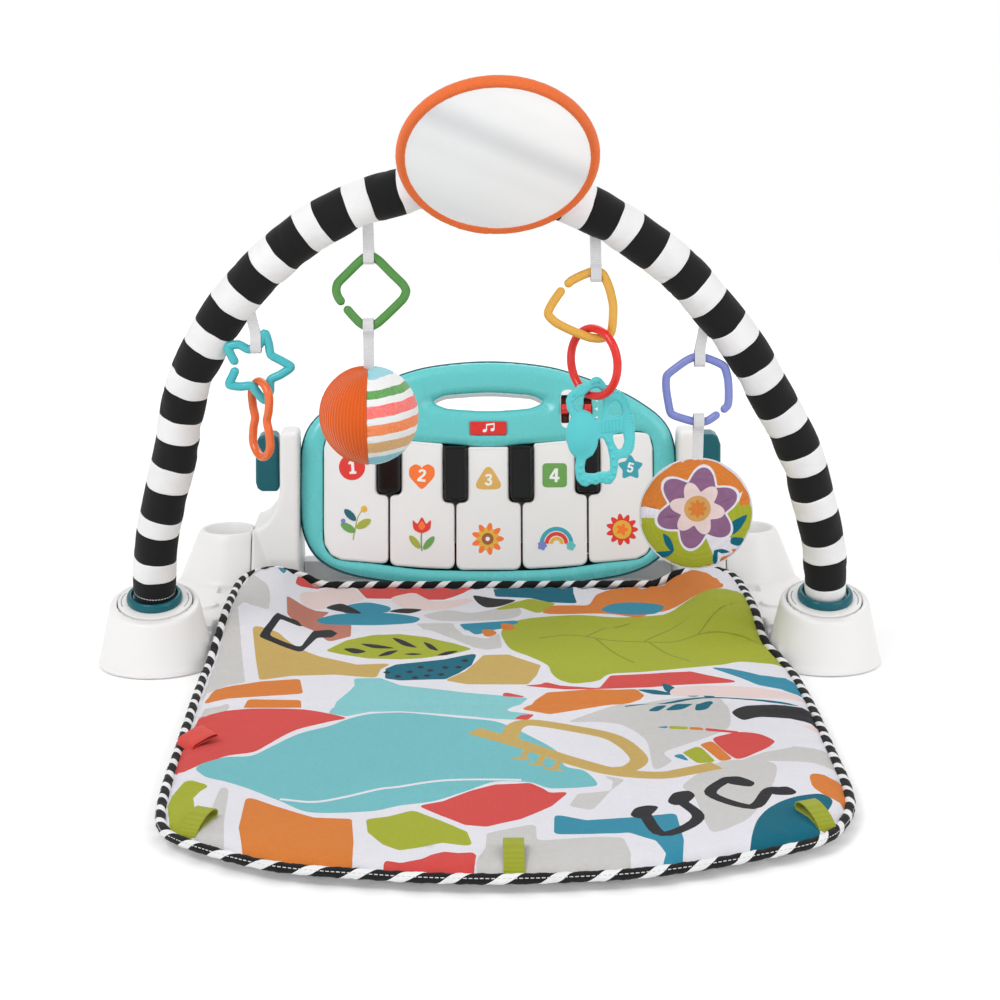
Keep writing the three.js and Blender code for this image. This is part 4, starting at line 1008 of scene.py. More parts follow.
def upright_field(x, y, z):
    """Left post beside the piano, with the inner part of the rear foot."""
    x, y, z = np.broadcast_arrays(x, y, z)
    plan = np.broadcast_to(poly_dist(x[:, 0, :], z[:, 0, :], UPRIGHT)[:, None, :], x.shape)
    front = np.maximum((210 + (z - 40) * 0.2 - y) * 0.98, 210 - y)
    back = np.maximum((y - (301 - (z - 26) * 0.2014)) * 0.98, y - 300)
    post = smax(smax(plan, front, 5.0), back, 5.0)
    rear_r = np.sqrt((x + REAR_X) ** 2 + (y - REAR_Y) ** 2)
    f = smin(post, rear_foot(x, y, z), 3.0)
    f = np.maximum(f, -np.maximum(rear_r - 26.2, 20 - z))
    cavity = np.maximum(np.maximum(-231.5 - x, x + 194),
                        np.maximum(np.maximum(222 - y, y - 290), z - 58))
    f = np.maximum(f, -cavity)
    # cut off at the floor and at both side faces
    return np.maximum(np.maximum(f, -z), np.maximum(UPRIGHT_OUT - x, x + 189.85))


def build_socket_rings():
    ring = lathe(round_profile(SOCKET_RING, 0.9), 72)
    for side, sign in (("left", -1), ("right", 1)):
        def place(v):
            return arch_pt(sign * FOOT_X + v[:, 0], v[:, 2], v[:, 1])

        make(f"socket_ring_{side}", ring, "white_shell", "base", "white_shell",
             f"socket_insert_{side}", place=place, sharp=50)
        # narrow curved grey marks at its two sides, painted shade of the slots there
        for k, middle in enumerate((180, 0)):
            angle = (middle + np.linspace(-24, 24, 13)) * RAD
            path = np.stack([30.2 * np.cos(angle), 30.2 * np.sin(angle), 0 * angle + 0.86], 1)
            make(f"socket_slot_shade_{side}_{k + 1}", sweep(path, 0.5, 0.22, 8, up=(1, 0, 0)),
                 "ink_slot", "base", place=place)


def build_base():
    shell = from_field(base_field, (-358, -54, -0.5), (-235, 284, 71), 1.7)
    make_pair("base_shell", shell, "white_shell", "base", "base_frame")
    build_socket_rings()
    post = from_field(upright_field, (-236, 188, -0.5), (-189.5, 302, 165), 1.5)
    make_pair("upright_shell", post, "white_shell", "base", "piano_upright")
    make_pair("latch_lever", soft_plate(LATCH, 240, 268, 3.2, 5), "dark_teal_shell", "latch_{}",
              "piano_latch", weighted=True)


# ------------------------------------------- piano shell, in the piano's frame
# right half of the outline, from bottom middle to top middle: x, z
FACE_HALF = [[0, 0.2], [56, 2], [109, 9], [138, 14.5], [158, 22], [172, 32], [181.5, 46],
             [187.2, 64], [188.8, 88], [188.8, 118], [188, 138], [183.8, 156], [175, 170],
             [160, 182.5], [135.2, 197.2], [95.9, 212.5], [57.5, 223.4], [0, 228.3]]
FACE = catmull(mirrored_loop(FACE_HALF))
HANDLE_Z = 188.4
HANDLE = catmull([[-55, 188.5], [-46, 194], [-34, 195.8], [0, 197.7], [34, 195.8], [46, 194],
                  [55, 188.5], [46, 183], [34, 180.8], [0, 179], [-34, 180.8], [-46, 183]])
WINDOW_HALF = [[0, 16], [60, 17.4], [92, 20.5], [116, 24], [148, 27.4], [160, 33.4], [166.6, 46],
               [167.6, 70], [167.6, 110], [167.4, 140], [163, 153], [151, 158.6], [121, 156],
               [91, 150.5], [48, 146.8], [0, 143.2]]
WINDOW = catmull(mirrored_loop(WINDOW_HALF), steps=6)  # opening for the keys
MODE_X, VOLUME_X, SWITCH_Z = 77.5, 100.5, 180
SHELL_SPLIT = 22  # y where the front shell meets the back
SPEAKER_X, SPEAKER_Z = -98, 74
SCREW_WELLS = ((-150, 40), (150, 128), (-150, 128), (0, 24))


def quarter(t):
    """Quarter-round fall from 1 at t = 0 to 0 at t = 1."""
    t = np.clip(t, 0, 1)
    return 1 - np.sqrt(np.maximum(0, 1 - (1 - t) ** 2))


def box_dist(x, z, x_low, x_high, z_low, z_high, r=1.0):
    off_x = np.abs(x - (x_low + x_high) / 2) - ((x_high - x_low) / 2 - r)
    off_z = np.abs(z - (z_low + z_high) / 2) - ((z_high - z_low) / 2 - r)
    return (np.sqrt(np.maximum(off_x, 0) ** 2 + np.maximum(off_z, 0) ** 2) - r
            + np.minimum(np.maximum(off_x, off_z), 0))


def deep(plan):
    """Spreads an (x, z) field through the depth."""
    return plan[:, None, :]


def build_piano_front():
    step = 1.25
    grid = axes((-190, -0.2, -0.5), (190, 22.4, 229), step)
    x, z = np.meshgrid(grid[0], grid[2], indexing="ij")
    y = grid[1][None, :, None]
    edge = poly_dist(x, z, FACE)
    window = poly_dist(x, z, WINDOW) + 0.7
    handle = poly_dist(x, z, HANDLE)
    front_y = (7.0 * quarter(-edge / 12) + 3.2 * np.clip((7.5 - window) / 7.5, 0, 1) ** 1.6
               + 6.5 * quarter(handle / 8)
               # shallow scoops at the ends of the handle opening
               + 3.2 * np.exp(-(((np.abs(x) - 59) / 7) ** 2 + ((z - 188) / 8) ** 2))
               + 1.6 * np.exp(-(((z - HANDLE_Z) / 17) ** 4 + (x / 66) ** 8)))
    f = np.maximum(np.maximum((deep(front_y) - y) * 0.8, y - SHELL_SPLIT),
                   np.maximum(deep(edge), -deep(window)))
    f = np.maximum(f, -deep(handle))
    f = np.maximum(f, -np.maximum(np.maximum(deep(edge) + 5, deep(z) - 171), 9.5 - y))
    f = np.maximum(f, -deep(box_dist(x, z, MODE_X - 4, MODE_X + 4, 166, 194)))
    f = np.maximum(f, -deep(box_dist(x, z, VOLUME_X - 4, VOLUME_X + 4, 168, 192)))
    f = np.maximum(f, -np.maximum(deep(box_dist(x, z, -18.8, 18.8, 153.4, 167.9)), y - 1.2))
    make("piano_front", surface(f, grid, step), "teal_shell", "piano", "teal_shell",
         "piano_front_shell", place=piano_pt)


def build_piano_back():
    step = 1.5
    grid = axes((-190, 22, -0.5), (190, 50.5, 229), step)
    x, z = np.meshgrid(grid[0], grid[2], indexing="ij")
    y = grid[1][None, :, None]
    edge = poly_dist(x, z, FACE)
    handle = poly_dist(x, z, [[a * 1.01, HANDLE_Z + (b - HANDLE_Z) * 1.05] for a, b in HANDLE])
    inset = np.interp(y, [22, 28, 38, 46, 50], [0, 0, 4, 9, 14])
    f = np.maximum(smax(deep(edge) + inset, y - 50, 2.0), 22.3 - y)
    f = smax(f, -deep(handle), 2.0)
    f = np.maximum(f, -np.maximum(np.maximum(deep(edge) + 17, deep(z) - 171), y - 46.5))
    # opening for the battery cover
    f = np.maximum(f, -np.maximum(deep(box_dist(x, z, 66, 134, 36, 96, 2)), 40 - y))
    for k in range(-3, 4):  # speaker slots, cut to a circle
        half = math.sqrt(max(0, 20**2 - (k * 5.5) ** 2))
        slot = box_dist(x, z, SPEAKER_X - half, SPEAKER_X + half,
                        SPEAKER_Z + k * 5.5 - 1.1, SPEAKER_Z + k * 5.5 + 1.1)
        f = np.maximum(f, -np.maximum(deep(slot), 40 - y))
    for well_x, well_z in SCREW_WELLS:
        r = np.sqrt((deep(x) - well_x) ** 2 + (deep(z) - well_z) ** 2)
        f = np.maximum(f, -np.maximum(r - 4.2, 47.2 - y))
    make("piano_back", surface(f, grid, step), "dark_teal_shell", "piano", "dark_teal_shell",
         "piano_back_shell", place=piano_pt)


def build_piano_trim():
    line = offset(anticlockwise(resample(FACE, 420)), -0.5)
    path = np.column_stack([line[:, 0], np.full(len(line), 15.0), line[:, 1]])
    make("piano_parting_bead", sweep(path, 6.4, 1.9, 20, True), "dark_teal_shell", "piano",
         "dark_teal_shell", place=piano_pt, sharp=70)
    for name, x in (("mode", MODE_X), ("volume", VOLUME_X)):
        outline = fillet(rect(x - 3.9, x + 3.9, 166.6, 193.4), 0.8)
        # slot floors behind the switches, darker red as painted shade in the slots
        make(f"{name}_slot_floor", soft_plate(outline, 10.6, 11.4, 0.2, 2, 0), "slot_red",
             "piano", "red_plastic", place=piano_pt, sharp=40)
    cover = soft_plate(fillet(rect(66.5, 133.5, 36.5, 95.5), 2.5), 47.2, 49.7, 0.2, 2, 0.9)
    make("battery_cover", cover, "dark_teal_shell", "piano", "dark_teal_shell", "battery_door",
         place=piano_pt, weighted=True)
    rib_z = [i * 2.6 for i in range(3)]
    ribs = join(*[soft_plate(fillet(rect(88, 112, 86 + z, 87.4 + z), 0.6), 49.3, 50.3, 0.2, 1, 0.4)
                  for z in rib_z])
    make("battery_cover_ribs", ribs, "dark_teal_shell", "piano", "dark_teal_shell",
         place=piano_pt, sharp=40)


# ----------------------------------------------------------------------- keys
GAP = 0.9  # half the gap between white keys
SPLIT_OUTER, SPLIT_INNER = 100.1, 33.4  # x of the lines between white keys
BLACK_OUTER, BLACK_INNER = 100.2, 33.2  # x of the black keys
NOTCH = 12.6  # half width of the cut round a black key
# white keys 1 to 3: outline (x, z), corner radii; keys 5 and 4 mirror keys 1 and 2
WHITE_KEYS = [
    ([[-166, 60], [-165, 44], [-158.6, 33.2], [-148.4, 28.3], [-115, 25.3],
      [-SPLIT_OUTER - GAP, 24.5], [-SPLIT_OUTER - GAP, 94], [-BLACK_OUTER - NOTCH, 94],
      [-BLACK_OUTER - NOTCH, 153], [-122, 154], [-150, 157], [-162.5, 155.5], [-166, 141]],
     [20, 8, 8, 8, 6, 7.5, 7, 6, 3, 3, 5, 7, 8]),
    ([[-SPLIT_OUTER + GAP, 22.8], [-68, 20.2], [-SPLIT_INNER - GAP, 18.6],
      [-SPLIT_INNER - GAP, 86], [-BLACK_INNER - NOTCH, 86], [-BLACK_INNER - NOTCH, 145.5],
      [-BLACK_OUTER + NOTCH, 149.2], [-BLACK_OUTER + NOTCH, 94], [-SPLIT_OUTER + GAP, 94]],
     [8, 4, 8, 7, 6, 3, 3, 6, 7]),
    ([[-SPLIT_INNER + GAP, 17.8], [SPLIT_INNER - GAP, 17.8], [SPLIT_INNER - GAP, 86],
      [BLACK_INNER - NOTCH, 86], [BLACK_INNER - NOTCH, 142.2], [-BLACK_INNER + NOTCH, 142.2],
      [-BLACK_INNER + NOTCH, 86], [-SPLIT_INNER + GAP, 86]], [8, 8, 7, 6, 3, 3, 6, 7]),
]
# x, bottom z, top z
BLACK_KEYS = ((-BLACK_OUTER, 96, 148.4), (-BLACK_INNER, 88, 142.8),
              (BLACK_INNER, 88, 142.8), (BLACK_OUTER, 96, 148.4))


def build_keys():
    for i, (outline, radii) in enumerate(WHITE_KEYS):
        key = soft_plate(fillet(outline, radii, 6), 1.0, 11.5, 2.6, 5, 0)
        for number, shape in ((i + 1, key), (5 - i, both_sides(key)))[:2 if i < 2 else 1]:
            make(f"key_white_{number}", shape, "key_white", f"key_{number}", "white_shell",
                 f"white_key_{number}", place=piano_pt, weighted=True)
    for i, (x, low, high) in enumerate(BLACK_KEYS):
        outline = fillet(rect(x - 11, x + 11, low, high), [5, 5, 2.5, 2.5], 5)
        make(f"key_black_{i + 1}", soft_plate(outline, -3.6, 26, 2.8, 5, 0), "black_key_gloss",
             "piano", "black_gloss", f"black_key_{i + 1}", place=piano_pt, weighted=True)
    plaque = fillet(rect(-18.3, 18.3, 153.9, 167.4), 1.6)
    make("piano_badge", soft_plate(plaque, -0.8, 0.9, 0.7, 3, 0), "red_plastic", "piano",
         "red_plastic", "label_plaque", place=piano_pt, weighted=True)
    for name, x in (("mode", MODE_X), ("volume", VOLUME_X)):
        block = fillet(rect(x - 3.4, x + 3.4, SWITCH_Z - 4.8, SWITCH_Z + 4.8), 1.2)
        ridge = fillet(rect(x - 3.3, x + 3.3, SWITCH_Z - 1.4, SWITCH_Z + 1.4), 0.8)
        make(f"{name}_knob", join(soft_plate(block, -2.6, 10, 0.9, 3, 0),
                                  soft_plate(ridge, -3.7, 0, 0.6, 2, 0)),
             "red_plastic", f"{name}_switch", "red_plastic", f"{name}_slider",
             place=piano_pt, sharp=40)


# ------------------------------------------------------------ printed details
KEY_FACE = 1.0  # y of the white key tops


def decal(name, shapes, y, body, thick=0.12):
    """Stack of thin printed films, each (ink, outline, *holes), on the piano face at y."""
    for i, (ink, *loops) in enumerate(shapes):
        bm = bmesh.new()
        for loop in loops:
            corners = [bm.verts.new((p[0], 0, p[1])) for p in loop]
            for a, b in zip(corners, corners[1:] + corners[:1]):
                bm.edges.new((a, b))
        filled = bmesh.ops.triangle_fill(bm, use_beauty=True, edges=bm.edges[:],
                                         normal=(0, -1, 0))
        bm.verts.index_update()
        verts = np.array([v.co for v in bm.verts])
        faces = []
        for face in filled["geom"]:
            if not isinstance(face, bmesh.types.BMFace):
                continue
            ring = [v.index for v in face.verts]
            a, b, c = (verts[k] for k in ring[:3])
            faces.append(ring[::-1] if np.cross(b - a, c - a)[1] > 0 else ring)
        bm.free()
        edges = dict.fromkeys((a, b) for ring in faces for a, b in zip(ring, ring[1:] + ring[:1]))
        rim = [(a, b) for a, b in edges if (b, a) not in edges]
        count = len(verts)
        top = verts + [0, y - 0.05 - thick * (i + 1), 0]
        low = verts + [0, y, 0]
        solid = (faces + [[k + count for k in ring[::-1]] for ring in faces]
                 + [[b, a, a + count, b + count] for a, b in rim])
        make(f"{name}_{i + 1}", (np.vstack([top, low]), solid), "ink_" + ink, body,
             place=piano_pt, smooth=False)


# badge shapes about their own centre
HEART = catmull([[0, -13], [-7, -7], [-12.5, 0], [-12.2, 8], [-6.5, 11.8], [-1.6, 10], [0, 8.2],
                 [1.6, 10], [6.5, 11.8], [12.2, 8], [12.5, 0], [7, -7]], True, 6, 0.45)
TRIANGLE = fillet([[-16.5, -10.5], [16.5, -10.5], [0, 17]], 6.5, 8)
SQUARE = fillet(rect(-12.4, 12.4, -12.2, 12.2), 4.5, 6)
STAR = fillet([[math.sin(k * math.pi / 5) * (14.5 if k % 2 == 0 else 8.2),
                math.cos(k * math.pi / 5) * (14.5 if k % 2 == 0 else 8.2)]
               for k in range(10)][::-1], 2.5, 4)
# numerals about their own centre: outline, then any hole
NUMERALS = {
    1: [[[-4.6, 3.6], [-3.4, 6.2], [-0.2, 8.2], [2.4, 8.2], [2.4, -5.2], [4.6, -5.2], [4.6, -8],
         [-3.4, -8], [-3.4, -5.2], [-1.0, -5.2], [-1.0, 3.6]]],
    2: [[[-5.2, 4.0], [-3.6, 7.0], [0, 8.3], [3.8, 7.1], [5.2, 4.0], [4.4, 1.0], [1.6, -2.2],
         [-0.8, -4.8], [5.4, -4.8], [5.4, -8], [-5.4, -8], [-5.4, -5.2], [-1.0, -0.6],
         [1.4, 2.2], [1.8, 4.1], [0, 5.4], [-1.7, 4.6], [-2.0, 3.2]]],
    3: [[[-5.0, 5.0], [-3.2, 7.5], [0, 8.3], [3.8, 7.4], [5.0, 4.4], [4.2, 1.9], [2.8, 0.6],
         [4.6, -0.8], [5.4, -3.6], [3.8, -7.0], [0, -8.2], [-3.8, -7.2], [-5.6, -4.2],
         [-2.2, -3.2], [-0.6, -5.1], [1.4, -4.8], [2.0, -3.2], [1.0, -1.4], [-1.4, -1.0],
         [-1.4, 1.8], [0.8, 2.2], [1.8, 3.8], [0.8, 5.2], [-0.8, 5.2], [-2.0, 3.9]]],
    4: [[[-0.2, 8.2], [3.6, 8.2], [3.6, -1.6], [5.8, -1.6], [5.8, -4.6], [3.6, -4.6], [3.6, -8],
         [0.2, -8], [0.2, -4.6], [-6.0, -4.6], [-6.0, -1.8]],
        [[0.2, -1.6], [-2.6, -1.6], [0.2, 3.2]]],
    5: [[[-4.2, 8.2], [4.4, 8.2], [4.4, 5.2], [-1.2, 5.2], [-1.5, 2.6], [1.0, 3.0], [4.4, 1.4],
         [5.4, -2.2], [3.8, -6.6], [0, -8.2], [-3.6, -7.4], [-5.4, -4.6], [-2.2, -3.4],
         [-0.4, -5.2], [1.4, -4.4], [1.9, -2.4], [0.8, -0.4], [-1.2, -0.4], [-2.2, -1.4],
         [-5.0, -0.6]]],
}
# key, x, z, ink, shape, then the numeral's scale, turn in degrees and rise
BADGES = [
    (1, -137.4, 121.8, "red", circle(0, 0, 13.2), 0.86, 4, 0),
    (2, -67.1, 112.6, "orange", HEART, 0.78, -6, 0.6),
    (3, 0, 109.4, "tan", TRIANGLE, 0.74, 0, -0.8),
    (4, 66.8, 113, "green", SQUARE, 0.86, -3, 0),
    (5, 143.3, 120.5, "teal", STAR, 0.62, -12, 0),
]


def build_badges():
    for number, x, z, ink, shape, scale, turn, rise in BADGES:
        outline, *holes = NUMERALS[number]
        loops = [fillet(outline, 0.5, 2), *holes]
        numeral = [placed(loop, x, z + rise, scale, turn) for loop in loops]
        decal(f"badge_{number}", [(ink, placed(shape, x, z)), ("white", *numeral)], KEY_FACE,
              f"key_{number}")


def leaf(x, z, half_length, half_width, turn):
    t = np.linspace(0, math.pi, 14)
    top = np.stack([-half_length * np.cos(t), half_width * np.sin(t) ** 1.2], 1)
    return placed(np.vstack([top, top[::-1][1:-1] * [1, -1]]), x, z, 1, turn)


def half_ring(x, z, outer, inner):
    return np.vstack([circle(x, z, outer, 60)[:31], circle(x, z, inner, 60)[:31][::-1]])


def leaf_spray(x, z):
    stem = [[x - 2, z - 15], [x, z - 4], [x + 3, z + 8], [x + 8, z + 16]]
    return [("lime", strip(stem, 1.4, 0.8)), ("green", leaf(x - 7, z - 3, 8.5, 4, 150)),
            ("lime", leaf(x + 8.5, z + 1, 8.5, 4, 30)), ("dark", leaf(x - 5, z + 10, 8, 3.6, 135)),
            ("yellow", circle(x + 9, z + 16, 3.2, 20)), ("blue", circle(x - 12, z + 4, 2.4, 16))]


def tulip(x, z):
    flower = catmull([[0, -2], [-8, 2], [-9, 11], [-4.4, 7.6], [0, 14], [4.4, 7.6], [9, 11],
                      [8, 2]], True, 6, 0.4)
    heart = catmull([[0, 1], [-3.4, 5], [0, 10], [3.4, 5]], True, 6)
    return [("green", strip([[x, z - 17], [x - 0.6, z - 6], [x, z + 4]], 1.5)),
            ("lime", leaf(x - 7, z - 8, 8.5, 3.4, 130)),
            ("green", leaf(x + 7, z - 9, 8.5, 3.4, 50)),
            ("red", placed(flower, x, z + 3)), ("orange", placed(heart, x, z + 3))]


def sunflower(x, z):
    return [("orange", petals(x, z, 9.5, 16.5, 9)), ("yellow", petals(x, z, 7.5, 11.5, 9, turn=0.35)),
            ("brown", circle(x, z, 6, 36)), ("white", circle(x, z, 2.2, 20))]


def rainbow(x, z):
    return [("teal", half_ring(x, z - 6, 17, 12.8)), ("red", half_ring(x, z - 6, 11.8, 8.0)),
            ("yellow", half_ring(x, z - 6, 7.0, 3.6)),
            ("blue", petals(x - 14.5, z - 8, 3.6, 4.8, 5, 48)),
            ("aqua", petals(x + 14.5, z - 8, 3.6, 4.8, 5, 48))]


def daisy(x, z):
    return [("red", petals(x, z, 11, 16.2, 11, 132)), ("yellow", circle(x, z, 9.4, 40)),
            ("orange", petals(x, z, 3.2, 6.4, 5, 60))]


def build_prints():
    build_badges()
    motifs = (("leafspray", leaf_spray(-134.3, 63.5)), ("tulip", tulip(-67.2, 54)),
              ("sunflower", sunflower(-1, 49)), ("rainbow", rainbow(68.3, 50)),
              ("daisy", daisy(134.4, 58)))
    for i, (name, shapes) in enumerate(motifs):
        decal(f"motif_{name}", shapes, KEY_FACE, f"key_{i + 1}")
    # two joined music notes
    beam = arr([[-2.3, 158.4], [-1.3, 158.4], [-1.3, 163.2], [5.3, 164.2], [5.3, 159.4],
                [6.3, 159.4], [6.3, 166], [-2.3, 164.8]])
    decal("badge_note", [("white", circle(-3.6, 158.2, 2.1, 20, 1.6, 20)),
                         ("white", circle(4.2, 159.2, 2.1, 20, 1.6, 20)), ("white", beam)],
          -0.75, "piano")
    label = placed(fillet(rect(-7, 7, -19.5, 19.5), 6.6, 6), 80.5, 180.2)
    hole = [[-4.4, -14.4], [-4.4, 14.4], [4.4, 14.4], [4.4, -14.4]]
    decal("mode_scale", [("white", label, placed(fillet(hole, 1.2, 3), MODE_X, SWITCH_Z))], 0.1,
          "piano", thick=0.2)
    decal("mode_marks", [(ink, circle(84.7, z, 1.9, 16)) for ink, z in
                         (("orange", 189.5), ("blue", 180), ("red", 170.5))],
          -0.1, "piano", thick=0.1)
    decal("volume_marks", [("white", arr([[107.2, z], [110.6, z + half], [110.6, z - half]]))
                           for z, half in ((189.5, 2.4), (180, 1.7), (171.5, 1.1))],
          0.1, "piano", thick=0.15)


